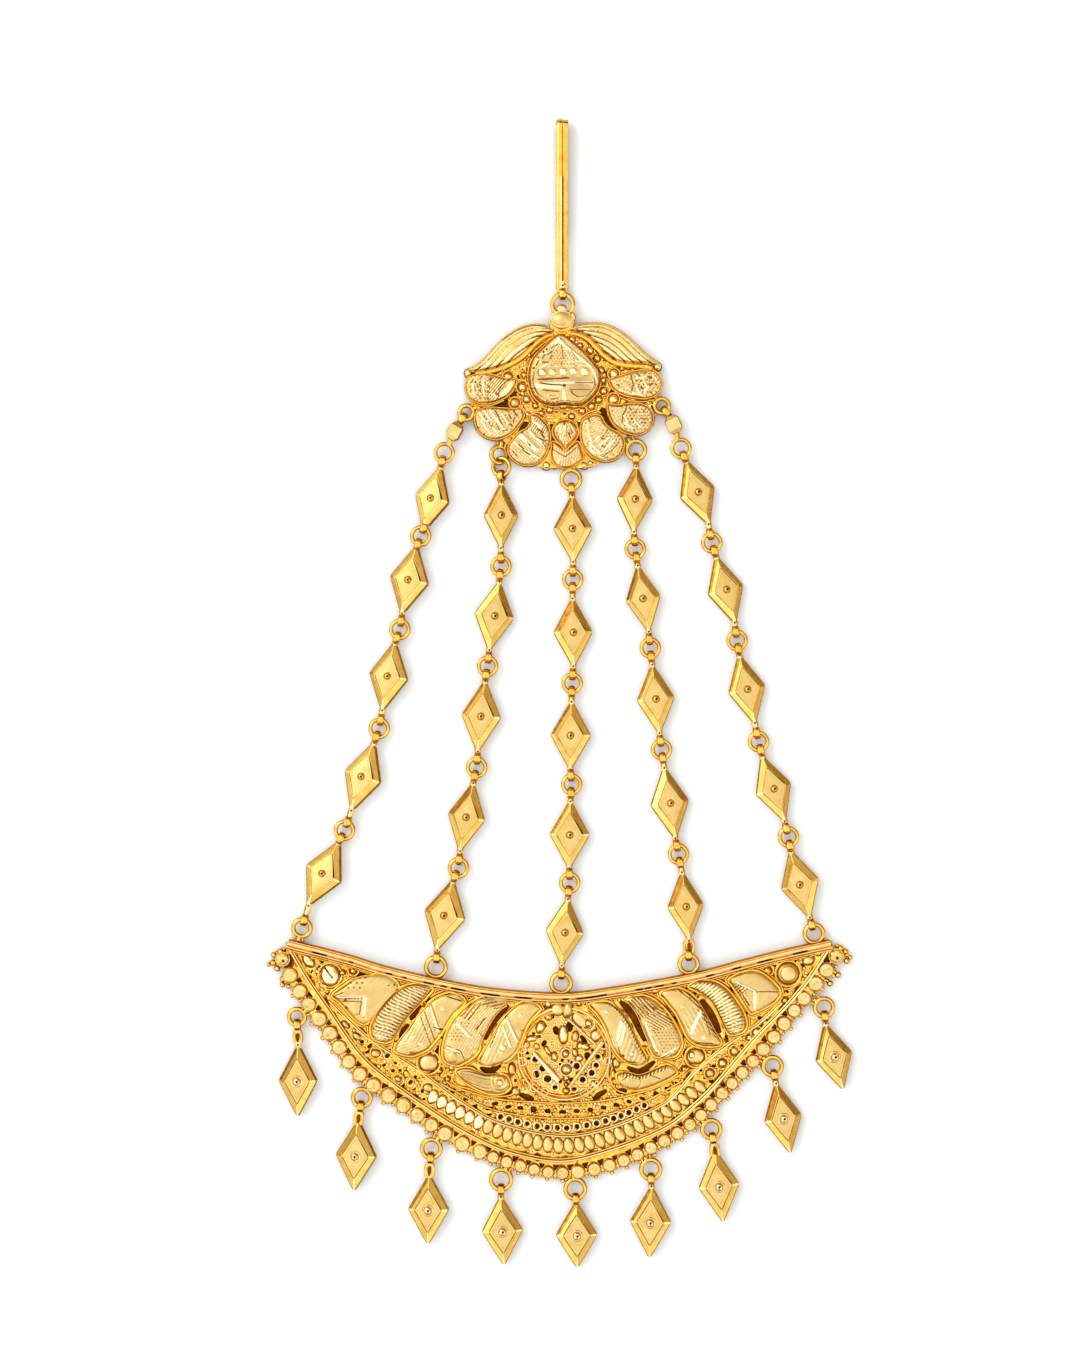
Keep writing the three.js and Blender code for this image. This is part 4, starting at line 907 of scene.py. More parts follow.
for c, chain in enumerate(CHAINS):
    diamonds, rings = chain["diamonds"], chain["rings"]
    heights = [rest_height(d) for d in diamonds]
    lead = len(rings) - (len(diamonds) - 1)
    boxes = [b for b in BOX_LINKS if int(b["chain"]) == c + 1]
    for i, r in enumerate(rings):
        r.update(radius=RING["radius"], wire=RING["wire"])
        above = heights[max(i - lead, 0)]
        below = heights[max(i - lead + 1, 0)]
        r["z"] = heights[0] if lead and i == 0 else (above + below) / 2
        r["roll"] = -LINKED_TILT if lead and i == 0 and not boxes else 0.0
    top = bail_of(*chain["top"])
    end = bail_of(*chain["end"])
    chain["top_ring"], chain["end_ring"] = top, end
    for i, d in enumerate(diamonds):
        upper_ring = rings[i + lead - 1] if i + lead - 1 >= 0 else top
        lower_ring = rings[i + lead] if i + lead < len(rings) else end
        name = f"chain_{c + 1}_diamond_{i + 1}"
        mark = next(s for s in PAINTED_REFLECTIONS if int(s["chain"]) == c + 1 and int(s["link"]) == i + 1)
        link_form(d, heights[i], upper_ring, lower_ring, False, int(mark["stain"]), mark["gash"]).piece(name + "_link", FINISHES, name, "cut_gold", 12)
    for i, r in enumerate(rings):
        form = Form()
        jump_ring(form, r)
        if lead and i == 0 and boxes:
            box = boxes[0]
            d = np.array([r["x"] - top["x"], r["y"] - top["y"]])
            d /= np.hypot(*d)
            # a faceted box: an eight-row barrel of square section, with its corners cut; its faces are painted by the
            # way they face: one side and its upper corner as warm shade, the top in the paler cap gold, the other upper
            # corner as a highlight, and the tapered ends as painted light
            barrel = Form()
            rows = [(-1.0, 0.42), (-0.93, 0.60), (-0.55, 0.98), (-0.45, 1.0), (0.45, 1.0), (0.55, 0.98), (0.93, 0.60), (1.0, 0.42)]
            verts, faces, marks = [], [], []
            for y, w in rows:
                h = BOX["half"] * w
                k = 0.16
                verts += [(px * h, y * BOX["long"] / 2, pz * h * 0.93) for px, pz in
                          ((1, -1 + k), (1, 1 - k), (1 - k, 1), (-1 + k, 1), (-1, 1 - k), (-1, -1 + k), (-1 + k, -1), (1 - k, -1))]
            for a in range(len(rows) - 1):
                for m in range(8):
                    m2 = (m + 1) % 8
                    faces.append([a * 8 + m, (a + 1) * 8 + m, (a + 1) * 8 + m2, a * 8 + m2])
                    marks.append(F_PAINTED_LIGHT if a in (0, 6) else (F_PAINTED_WARM_SHADE, F_PAINTED_WARM_SHADE, F_CAP, F_PAINTED_HIGHLIGHT, F_POLISHED, F_POLISHED, F_POLISHED, F_POLISHED)[m])
            faces += [list(range(8)), [(len(rows) - 1) * 8 + m for m in range(7, -1, -1)]]
            marks += [F_POLISHED, F_POLISHED]
            barrel.facets(verts, faces, marks)
            barrel.moved(heading(-d[0], -d[1]), 0.0, (box["x"], box["y"], LINK_Z))
            form.join(barrel)
            tail = (box["x"] - d[0] * (BOX["long"] / 2 - 0.3), box["y"] - d[1] * (BOX["long"] / 2 - 0.3))
            end_loop(form, top, tail, LINK_Z, 0.0)
            start = np.array([box["x"], box["y"]]) + d * (BOX["long"] / 2 - 0.2)
            stop = np.array([r["x"], r["y"]]) - d * (r["radius"] - 0.05)
            line = np.linspace(start, stop, 6)
            form.wire(np.column_stack([line, np.linspace(LINK_Z, r["z"], 6)]), NECK, 12, finish=F_POLISHED)
            form.piece(f"chain_{c + 1}_box_and_ring", FINISHES, f"chain_{c + 1}_box_link", "cut_gold", 25)
        elif lead and i == 0:
            form.piece(f"chain_{c + 1}_jump_ring_0", FINISHES, f"chain_{c + 1}_ring_0", "gold_wire")
        else:
            form.piece(f"chain_{c + 1}_jump_ring_{i + 1 - lead}", FINISHES, f"chain_{c + 1}_ring_{i + 1 - lead}", "gold_wire")

# Oval links between a bail and its drop: the drop, half sizes, the wire's radius and its way along the neck.
OVAL_LINKS = table("""
drop  rx    ry    wire  along
1     0.48  1.02  0.24  1.62
2     0.50  0.98  0.24  1.58
3     0.52  1.00  0.25  1.60
7     0.48  1.02  0.24  1.62
""")


def oval_link(form, ring, towards, row):
    """A flat oval link laid round a neck."""
    way = np.array([towards[0] - ring["x"], towards[1] - ring["y"]])
    way /= np.hypot(*way)
    side = np.array([way[1], -way[0]])
    a = np.arange(30) / 30 * 2 * math.pi
    middle = np.array([ring["x"], ring["y"]]) + way * (ring["radius"] + row["along"])
    line = middle + np.outer(np.cos(a) * row["rx"], side) + np.outer(np.sin(a) * row["ry"], way)
    form.wire(raised(line, ring["z"] + 0.12), row["wire"], 10, closed=True, finish=F_POLISHED)
    # painted shade: a dark lens laid on the neck inside the link
    form.turn(columns(DRILLED, "r", "z"), (*middle, ring["z"] + NECK * 1.36), 16, stretch=(1.7, 4.2), heading=math.atan2(-way[0], way[1]), finish=F_PAINTED_SHADE)


# one such link also lies round the lower neck of the fourth chain's last diamond
last = CHAINS[3]["diamonds"][-1]
lowest = Form()
oval_link(lowest, CHAINS[3]["end_ring"], end_point(last, -1, last["long"] / 2), {"rx": 0.62, "ry": 1.0, "wire": 0.22, "along": 1.15})
lowest.piece("chain_4_oval_link", FINISHES, "chain_4_diamond_5", "cut_gold")

for i, d in enumerate(DROPS):
    bail = bail_of(d["bail_x"], d["bail_y"], d["bail_across"])
    d["bail"] = bail
    form = link_form(d, rest_height(d), bail, None, True, DROP_PAINTED_REFLECTIONS[i], 0.5)
    for row in OVAL_LINKS:
        if int(row["drop"]) == i + 1:
            oval_link(form, bail, end_point(d, 1, d["long"] / 2), row)
    form.piece(f"drop_{i + 1}_link", FINISHES, f"drop_{i + 1}", "cut_gold", 12)

# ---------------------------------------------------------------- hair hook

HOOK = {"wide": 1.6, "long": 22.8, "back": 14.5, "high": 1.72, "low": 0.36}
HOOK_RING = {"x": 0.235, "y": 50.732, "z": LINK_Z, "radius": 1.36, "wire": 0.30}
# The strip's section: across it and through it, and the finish of the face that follows. A ridge stands
# left of its middle, with a steep right side. Its finishes paint light and shade: warm shade on the
# strip's sides and the ridge's right side, a highlight on the ridge's crest.
HOOK_SECTION = table("""
across   z    finish
-0.74  -0.26  1
 0.74  -0.26  13
 0.80  -0.16  13
 0.80   0.10  13
 0.74   0.17  2
 0.62   0.20  1
 0.26   0.20  13
 0.12   0.16  13
-0.02   0.30  3
-0.32   0.31  1
-0.58   0.25  12
-0.76   0.14  13
-0.80  -0.04  13
-0.80  -0.16  13
""")

hook = Form()
x = HOOK_RING["x"] - 0.1
bottom = HOOK_RING["y"] + HOOK_RING["radius"]
outer = (HOOK["high"] - HOOK["low"]) / 2 + 0.3
mid_z = (HOOK["high"] + HOOK["low"]) / 2
bend_y = bottom + HOOK["long"] - outer
radius = outer - 0.3
# the strip's middle line: front leg up from the ring, the bend, and the back leg
path = [(x, bottom + 0.2 + k * (bend_y - bottom - 0.2) / 30, LINK_Z + (HOOK["high"] - LINK_Z) * k / 30) for k in range(31)]
path += [(x, bend_y + radius * math.sin(a), mid_z + radius * math.cos(a)) for a in np.linspace(0, math.pi, 17)[1:]]
path += [(x, bend_y - k * HOOK["back"] / 16, HOOK["low"]) for k in range(1, 17)]
path = np.array(path)
grow = np.ones(len(path))
grow[0], grow[-1], grow[-2] = 0.8, 0.5, 0.85
t = tangents(path)
rows = []
for p, d, g in zip(path, t, grow):
    normal = np.array([0, -d[2], d[1]])
    rows.append([p + np.array([a, 0, 0]) * g + normal * b * g for a, b in columns(HOOK_SECTION, "across", "z")])
k = len(HOOK_SECTION)
verts = np.array(rows).reshape(-1, 3)
faces = [[i * k + m, i * k + (m + 1) % k, (i + 1) * k + (m + 1) % k, (i + 1) * k + m] for i in range(len(path) - 1) for m in range(k)]
faces = [f[::-1] for f in faces] + [list(range(k)), [(len(path) - 1) * k + m for m in range(k)][::-1]]
# towards the bend the painted shade and the painted highlight stripes fade into the plain gold
stripes = [F_POLISHED if 21 <= i <= 40 and row["z"] > 0.05 else int(row["finish"]) for i in range(len(path) - 1) for row in HOOK_SECTION]
hook.facets(verts, faces, stripes + [F_POLISHED, F_POLISHED])
# the eye under the strip's end, round the ring
end_loop(hook, HOOK_RING, (x + 0.08, bottom + 1.6), LINK_Z - 0.1, 0.0)
hook.ring((HOOK_RING["x"], HOOK_RING["y"], HOOK_RING["z"]), HOOK_RING["radius"], HOOK_RING["wire"], 48, 12, finish=F_POLISHED)
hook.piece("hair_hook_strip", FINISHES, "hair_hook", "gold_wire", 22)

# ---------------------------------------------------------------- crescent

BASE = {"low": 0.0, "high": 0.35}
WEB_TOP = 1.05
TOP_RAIL = table("""
x  y
-35.61  -32.67
-27.87  -34.68
-23.35  -36.09
-16.41  -37.74
-8.67  -39.12
0.13  -39.67
6.8  -38.94
17.22  -37.07
23.88  -35.35
29.22  -34.01
35.08  -32.73
""")
OUTER_RAIL = table("""
    x  y
    -35.69  -32.88
    -34.77  -34.44
    -32.81  -37.71
    -30.2  -41.5
    -26.27  -47.12
    -22.22  -50.73
    -15.74  -55.25
    -10.98  -58.03
    -6.24  -60
    0.13  -61.02
    6.54  -59.57
    13.2  -56.9
    16.55  -54.58
    19.87  -51.44
    23.12  -47.65
    26.1  -44.2
    29.5  -40.78
    32.34  -37.32
    35.03  -33.14
""")
INNER_RAIL = table("""
    x  y
    -30.2  -40.2
    -26.93  -43.46
    -24.31  -45.69
    -19.08  -48.95
    -13.52  -53.03
    -7.82  -56.2
    0.13  -57.84
    6.54  -56.75
    13.2  -53.82
    15.56  -51.7
    17.39  -49.61
    20.39  -46.99
    23.4  -44.77
    26.01  -42.99
    28.76  -40.46
""")
# Key studs along the fringe, with the number of studs from the row before.
STUD_KEYS = table("""
x  y  studs
-36.47  -35.1  0
-34.12  -39.02  2
-30.2  -44.51  3
-26.27  -49.87  3
-20.58  -53.9  3
-15.19  -57.62  3
-10.59  -60  2
-5.31  -61.83  3
0.2  -62.76  3
6.34  -61.74  3
11.74  -59.49  3
16.84  -56.41  3
21.05  -52.33  3
26.43  -46.6  4
31.7  -39.93  4
36.05  -34.48  3
""")

# Leaves of the upper band: each row is the two edge points of a section across the leaf.
LEAVES = {
    "ribbed_left": table("""
        ax  ay  bx  by
        -18.56  -38.1  -16.73  -38.5
        -20  -38.24  -17.39  -39.41
        -21.18  -38.82  -18.3  -40.46
        -22.22  -39.67  -19.22  -41.44
        -23.14  -40.72  -20  -42.29
        -23.92  -41.76  -20.65  -43.2
        -24.51  -42.94  -21.18  -44.12
        -24.77  -44.12  -21.7  -44.97
        -24.44  -45.03  -22.48  -45.49
        -23.79  -45.42  -23.27  -45.56
    """),
    "paisley_left": table("""
        ax  ay  bx  by
        -14.25  -39.28  -13.07  -39.54
        -15.42  -39.48  -12.55  -40.33
        -16.47  -40  -13.33  -41.18
        -17.39  -40.78  -14.12  -41.96
        -18.3  -41.76  -14.77  -42.88
        -19.15  -42.81  -15.29  -43.79
        -19.93  -43.92  -15.88  -44.71
        -20.78  -44.97  -16.6  -45.56
        -21.44  -45.88  -17.25  -46.34
        -21.57  -46.73  -18.3  -46.93
        -20.78  -47.23  -19.61  -47.32
    """),
    "hatched_left": table("""
        ax  ay  bx  by
        -9.54  -39.74  -7.06  -39.93
        -10.72  -40  -7.06  -40.59
        -11.63  -40.52  -7.84  -41.31
        -12.55  -41.24  -8.5  -42.03
        -13.4  -42.09  -9.08  -42.88
        -14.12  -43.01  -9.61  -43.79
        -14.64  -43.99  -10.07  -44.71
        -15.03  -45.03  -10.46  -45.69
        -15.29  -46.08  -10.78  -46.6
        -15.36  -47.06  -11.5  -47.52
        -15.03  -48.04  -12.68  -48.24
        -14.25  -48.5  -13.59  -48.56
    """),
    "smooth_left": table("""
        ax  ay  bx  by
        -4.44  -40.39  -3.27  -40.59
        -5.49  -40.65  -2.75  -41.24
        -6.41  -41.31  -3.46  -42.03
        -7.25  -42.16  -4.12  -42.88
        -7.97  -43.07  -4.64  -43.73
        -8.56  -44.05  -5.03  -44.64
        -9.15  -45.03  -5.36  -45.56
        -9.67  -46.08  -5.75  -46.47
        -10.2  -47.12  -6.34  -47.32
        -10.59  -48.04  -7.39  -48.1
        -10.2  -48.63  -8.76  -48.67
    """),
    "smooth_right": table("""
        ax  ay  bx  by
        3.79  -40.72  4.84  -40.33
        4.38  -41.37  6.27  -40.52
        5.03  -42.16  7.45  -41.24
        5.56  -43.01  8.24  -42.09
        6.01  -43.92  8.89  -43.07
        6.41  -44.9  9.41  -44.12
        6.73  -45.88  9.87  -45.16
        7.19  -46.73  10.33  -46.14
        7.84  -47.52  10.78  -46.99
        8.69  -48.24  11.18  -47.78
        9.8  -48.69  10.72  -48.43
    """),
    "hatched_right": table("""
        ax  ay  bx  by
        8.24  -40.07  9.54  -39.54
        8.95  -40.65  11.37  -39.8
        9.61  -41.5  12.48  -40.46
        10.13  -42.42  13.4  -41.31
        10.52  -43.4  14.18  -42.29
        10.92  -44.38  14.84  -43.33
        11.31  -45.36  15.36  -44.44
        11.7  -46.34  15.69  -45.56
        12.22  -47.19  15.49  -46.54
        13.07  -47.78  14.64  -47.39
    """),
    "paisley_right": table("""
        ax  ay  bx  by
        13.01  -39.28  13.86  -38.76
        13.59  -39.93  15.42  -38.69
        14.25  -40.78  16.73  -39.28
        14.97  -41.63  17.65  -40.07
        15.49  -42.61  18.37  -41.05
        15.95  -43.59  18.95  -42.09
        16.34  -44.44  19.54  -43.14
        16.86  -45.23  20.07  -44.18
        17.78  -45.82  20.59  -45.03
        18.95  -46.05  20.92  -45.62
        20  -46.01  20.72  -45.92
    """),
    "ribbed_right": table("""
        ax  ay  bx  by
        16.73  -38.37  17.78  -37.71
        17.45  -38.69  19.22  -37.65
        18.24  -39.15  20.46  -37.97
        19.02  -39.74  21.5  -38.69
        19.67  -40.39  22.29  -39.54
        20.2  -41.24  22.94  -40.46
        20.59  -42.09  23.53  -41.37
        20.98  -42.94  23.92  -42.29
        21.37  -43.79  24.12  -43.14
        21.83  -44.38  23.92  -43.92
        22.48  -44.71  23.27  -44.44
    """),
    "arrow_left": table("""
        ax  ay  bx  by
        -29.8  -39.54  -29.41  -39.15
        -29.28  -39.93  -28.37  -38.43
        -28.56  -40.59  -26.8  -37.32
        -27.71  -41.57  -25.23  -36.93
        -26.86  -42.48  -23.66  -36.86
        -26.14  -43.01  -22.22  -37.32
        -25.42  -43.2  -21.18  -38.24
        -25.12  -42.68  -21.83  -38.69
        -24.84  -41.9  -22.75  -39.35
    """),
    "facet_right": table("""
        ax  ay  bx  by
        21.96  -37.52  22.48  -37.06
        22.55  -38.37  24.18  -36.47
        23.27  -39.41  25.62  -36.47
        23.86  -40.33  26.8  -37.12
        24.31  -41.05  27.71  -37.91
        24.71  -41.63  28.5  -38.95
        25.03  -41.74  28.3  -39.74
        25.49  -41.7  27.52  -40.46
    """),
    "lower_left_shell": table("""
        ax  ay  bx  by
        -13.66  -49.41  -13.33  -49.93
        -12.94  -49.08  -12.61  -50.65
        -12.03  -49.08  -11.7  -51.24
        -10.98  -49.41  -10.72  -51.76
        -9.8  -49.82  -9.74  -52.16
        -8.76  -49.8  -8.69  -52.33
        -7.71  -49.9  -7.71  -52.22
        -7.06  -50.26  -7.06  -51.9
        -6.73  -50.72  -6.69  -51.31
    """),
    "lower_right_shell": table("""
        ax  ay  bx  by
        7.32  -50.13  7.71  -51.05
        7.84  -49.61  8.5  -51.63
        8.89  -49.58  9.67  -51.83
        10.07  -49.91  10.85  -51.63
        11.24  -49.61  12.03  -51.24
        12.42  -49.06  13.2  -50.72
        13.59  -48.69  14.25  -50.2
        14.51  -48.69  15.1  -49.54
    """),
}
# each leaf's number in the tables of cut work below
LEAF_NUMBER = {name: i + name.startswith("lower") for i, name in enumerate(LEAVES)}

# Cut lines: ridges stand up (high above 0), grooves go down; the ridges are painted as highlights and the deeper
# grooves as shade. The leaf is its place in the list above.
CUT_LINES = table("""
leaf  ax  ay  bx  by  across  high
1  -17.12  -40.59  -15.69  -44.77  0.39  0.16
1  -17.78  -41.63  -16.34  -45.69  0.18  -0.07
1  -18.3  -42.29  -16.86  -46.21  0.16  -0.06
1  -18.95  -42.81  -17.39  -41.24  0.16  -0.05
1  -19.61  -44.9  -17.91  -42.03  0.16  -0.05
1  -20.13  -45.56  -18.3  -42.42  0.16  -0.05
1  -16.6  -43.59  -15.03  -44.12  0.18  -0.08
1  -14.77  -39.61  -12.94  -40.2  0.18  -0.07
2  -13.59  -43.07  -11.76  -44.9  0.42  0.15
2  -15.03  -46.21  -13.2  -46.86  0.39  0.13
2  -10.59  -44.38  -9.67  -45.42  0.16  -0.08
2  -11.24  -43.99  -9.8  -42.42  0.16  -0.06
2  -11.9  -43.46  -9.54  -40.98  0.13  -0.05
2  -10.07  -42.55  -10.98  -43.99  0.16  -0.06
2  -13.07  -46.73  -12.55  -47.91  0.16  -0.09
3  -7.19  -42.16  -5.56  -45.69  0.39  0.16
3  -7.58  -43.46  -6.54  -46.21  0.31  0.12
3  -5.23  -43.99  -4.44  -44.38  0.16  -0.07
3  -8.37  -44.12  -9.28  -46.34  0.16  -0.06
3  -7.97  -43.59  -8.89  -45.82  0.13  -0.05
4  6.93  -41.76  7.45  -43.46  0.17  -0.05
4  7.97  -42.94  7.19  -45.42  0.42  0.15
4  8.37  -43.46  7.71  -45.95  0.31  0.12
4  6.14  -44.38  6.8  -46.21  0.34  0.12
4  7.45  -46.21  7.97  -48.04  0.17  -0.06
4  7.97  -48.04  9.8  -48.3  0.17  -0.06
5  11.11  -43.33  11.63  -44.9  0.58  0.17
5  11.76  -45.03  12.42  -46.73  0.58  0.17
5  9.8  -40.72  11.37  -42.03  0.14  -0.07
5  10.46  -40.46  12.29  -42.16  0.14  -0.07
5  11.24  -40.33  12.94  -42.03  0.14  -0.07
5  12.94  -47.65  15.03  -46.34  0.21  0.1
6  18.3  -41.63  17.12  -43.86  0.39  0.16
6  17.91  -42.55  16.86  -44.64  0.29  0.11
6  18.69  -42.29  19.48  -44.51  0.17  -0.06
6  18.3  -42.68  19.08  -44.9  0.14  -0.05
6  17.39  -45.69  19.74  -45.75  0.18  -0.08
8  -28.94  -39.74  -25.49  -39.74  0.34  0.15
8  -25.49  -39.8  -25.78  -42.16  0.34  0.15
8  -28.5  -40.26  -26.08  -40.26  0.18  -0.07
8  -26.04  -40.33  -26.27  -41.9  0.18  -0.07
8  -29.67  -39.61  -28.37  -39.08  0.18  -0.06
9  23.14  -37.91  25.32  -38.93  0.37  0.15
9  25.32  -38.93  25.25  -41.56  0.37  0.15
9  25.49  -38.97  28.24  -38.99  0.18  -0.08
9  22.88  -38.24  24.58  -40.85  0.17  -0.07
12  7.97  -50.65  8.76  -49.87  0.18  -0.06
12  11.63  -49.87  12.94  -50.39  0.16  -0.06
""")

# Roundels and dots on the leaves: centre, radius, rise, and whether a groove runs round; sunk dots are painted as shade
# and small raised ones as highlights.
ROUNDELS = table("""
leaf  x  y  r  high  rim
1  -15.42  -41.24  0.31  0.1  1
1  -18.69  -46.08  1.31  0.1  1
1  -18.43  -45.82  0.29  0.1  1
2  -14.12  -47.65  0.65  0.16  1
2  -11.11  -46.99  0.59  0.1  1
3  -5.23  -42.16  0.31  0.1  1
3  -7.58  -46.34  0.47  0.14  1
3  -7.97  -46.93  0.26  0.08  1
4  5.88  -41.63  0.34  0.1  1
4  8.89  -46.99  1.18  0.1  1
4  9.28  -47.12  0.31  0.13  1
4  8.1  -47.39  0.24  -0.14  0
5  13.59  -41.76  0.29  0.09  1
5  14.64  -47.12  0.44  0.12  1
6  15.82  -40.98  0.29  0.08  1
6  18.56  -45.03  0.39  0.14  1
6  18.3  -45.16  1.11  0.08  1
8  -26.93  -41.24  0.78  0.06  0
8  -28.1  -40.07  0.24  -0.12  0
8  -27.97  -41.05  0.24  -0.12  0
8  -22.48  -38.17  0.16  -0.12  0
8  -21.7  -38.1  0.16  -0.14  0
9  26.8  -40.33  0.65  0.05  0
10  -12.42  -49.8  0.59  0.08  1
11  -7.97  -50.92  0.39  0.08  1
12  9.41  -50.78  0.92  0.06  1
""")

# Hatched panels: the part along the leaf (0 to 1) and across it (-1 to 1), the hatch's direction in
# degrees, its spacing and its depth. Where it is 0.018 deep or more, its valleys are painted as shade and its crests as
# light.
HATCHES = table("""
leaf  from  to  near  far  turn  pitch  deep
1  0.42  0.80  -1.0  0.55  62  0.42  0.030
1  0.80  1.00  -1.0  1.0   20  0.36  0.030
2  0.04  0.16  -0.6  0.8   15  0.52  0.090
2  0.16  0.42  -1.0  -0.2  52  0.50  0.085
2  0.14  0.46  -0.2  1.0   48  0.30  0.028
2  0.44  0.80  -0.1  1.0   58  0.34  0.030
3  0.45  0.95  -1.0  0.3   66  0.50  0.022
4  0.10  0.95  0.72  1.0   60  0.40  0.080
4  0.55  0.95  -0.6  0.6   70  0.60  0.018
5  0.04  0.36  -1.0  0.7  -48  0.42  0.060
5  0.36  0.60  -0.5  1.0  -30  0.34  0.040
6  0.10  0.90  0.62  1.0  -40  0.40  0.070
6  0.40  0.72  -0.9  0.6  -62  0.55  0.030
8  0.45  0.95  0.1   1.0   35  0.55  0.012
9  0.10  0.45  -1.0  -0.3  40  0.36  0.045
10 0.25  0.95  -1.0  1.0   80  0.55  0.060
11 0.55  0.98  -1.0  1.0   70  0.55  0.0
12 0.04  0.90  -1.0  -0.35 75  0.42  0.050
""")

# Stippled panels: the same parts of the leaf, with the dots' spacing and depth; the dots are painted as shade.
STIPPLES = table("""
leaf  from  to  near  far  pitch  deep
2  0.45  0.72  -0.9  -0.1  0.50  0.10
5  0.58  0.93  -0.4  0.95  0.48  0.10
8  0.22  0.45  0.3   0.95  0.75  0.06
9  0.10  0.80  -1.0  -0.55 0.45  0.08
10 0.10  0.90  -0.9  0.9   0.42  0.07
""")

# Slits seen between the leaves and under the rosette: three points along each, and its width.
SLITS = table("""
ax  ay  bx  by  cx  cy  wide
-6.86  -40.85  -9.02  -43.2  -9.93  -45.42  0.98
7.71  -40.33  9.54  -42.29  10.98  -45.56  1.18
18.3  -40.07  19.35  -41.76  20.78  -44.51  1.18
-18.3  -40.85  -19.22  -41.76  -19.61  -42.81  0.92
-19.87  -43.33  -20.52  -44.25  -21.05  -45.16  0.92
-10.59  -49.02  -9.28  -49.41  -7.84  -48.69  0.85
8.63  -48.95  10.33  -49.54  12.29  -48.17  0.92
-5.49  -52.48  -4.71  -52.75  -3.53  -53.14  0.85
-1.57  -53.4  -0.65  -53.14  0.13  -53.14  0.59
4.18  -53.14  5.1  -52.48  6.01  -51.96  0.78
7.19  -52.09  7.84  -52.09  8.63  -52.09  0.85
-26.67  -37.19  -25.88  -36.67  -25.1  -36.41  0.59
""")

# Openings in the pierced ground, seen dark because their walls and the sheet under them are painted as shade: centre,
# half size across and along, turn in degrees.
OPENINGS = table("""
x  y  rx  ry  turn
-34.99  -33.27  0.34  0.24  -50
-33.86  -34.05  0.21  0.21  0
-31.2  -35.14  0.31  0.24  20
-33.66  -35.82  0.13  0.34  35
-32.55  -36.47  0.13  0.31  30
-28.95  -38.24  0.58  0.2  30
-30.26  -39.22  0.44  0.2  -45
-28.98  -40.63  0.34  0.31  0
-27.93  -41.18  0.16  0.21  0
-26.01  -45.62  0.31  0.29  0
-24.99  -46.17  0.42  0.24  -40
-25.31  -46.97  0.34  0.2  -30
-22.68  -47.46  0.39  0.29  -40
-23.14  -48.69  0.29  0.21  -30
-21.63  -48.43  0.26  0.18  30
-21.96  -49.42  0.29  0.26  0
-21.02  -49.37  0.21  0.21  0
-19.05  -50.29  0.24  0.29  30
-20.47  -51.2  0.31  0.25  0
-19.66  -50.92  0.38  0.26  -50
-19.24  -51.74  0.31  0.25  0
-18.12  -52.07  0.24  0.29  0
-17.91  -53.14  0.24  0.18  0
-16.73  -49.71  0.52  0.31  -20
-16.14  -46.8  0.39  0.3  -50
-17.29  -48.1  0.17  0.22  -20
-15.86  -49.97  0.13  0.18  -20
-14.08  -52.04  0.39  0.34  -30
-13.07  -53.2  0.29  0.17  -20
-12.39  -53.01  0.27  0.26  0
-11.37  -54.12  0.52  0.24  -28
-9.35  -54.39  0.52  0.22  -15
-9.41  -55.16  0.44  0.16  -20
-8.69  -55.67  0.21  0.16  0
-10.72  -53.5  0.55  0.16  -25
-8.63  -53.71  0.47  0.26  -10
-6.93  -52.16  0.5  0.47  0
-6.9  -54.13  0.46  0.26  -10
-5.33  -54.26  0.43  0.26  0
-3.58  -54.47  0.44  0.43  0
-1.73  -54.68  0.43  0.31  0
0.21  -54.76  0.43  0.29  0
2.04  -54.68  0.43  0.29  0
3.84  -54.5  0.43  0.29  8
5.57  -54.24  0.42  0.29  12
7.24  -53.87  0.41  0.26  14
8.89  -53.45  0.39  0.26  18
10.59  -53.03  0.42  0.21  20
12.44  -52.43  0.39  0.31  20
13.91  -51.8  0.44  0.29  28
15.16  -51.07  0.34  0.2  28
16.08  -46.86  0.29  0.42  20
16.8  -48.76  0.34  0.2  60
17.45  -46.27  0.24  0.16  0
17.23  -43.99  0.12  0.44  -30
19.95  -48.77  0.31  0.2  10
21.05  -50.99  0.42  0.22  30
19.35  -52.43  0.39  0.21  10
19.65  -50.78  0.37  0.31  30
18.77  -50.39  0.21  0.17  0
18.24  -49.32  0.29  0.16  10
22.68  -45.23  0.29  0.29  0
23.66  -46.14  0.24  0.21  0
24.42  -43.93  0.26  0.21  40
25.91  -42.5  0.29  0.26  0
27.22  -42.58  0.31  0.24  40
28.24  -41.48  0.26  0.21  40
27.82  -38.24  0.21  0.21  0
29.41  -38.99  0.44  0.2  30
30.59  -38.1  0.37  0.18  40
31.63  -35.62  0.24  0.21  0
32.75  -34.38  0.29  0.18  30
30.98  -34.78  0.29  0.16  20
33.99  -33.53  0.31  0.18  20
28.1  -35.99  0.21  0.16  0
3.16  -40.72  0.17  0.16  0
3.61  -40.75  0.16  0.16  0
6.54  -46.29  0.24  0.24  0
-5.95  -50.68  0.21  0.25  0
-6.51  -48.82  0.24  0.34  0
-6.41  -45.88  0.13  0.18  0
""")

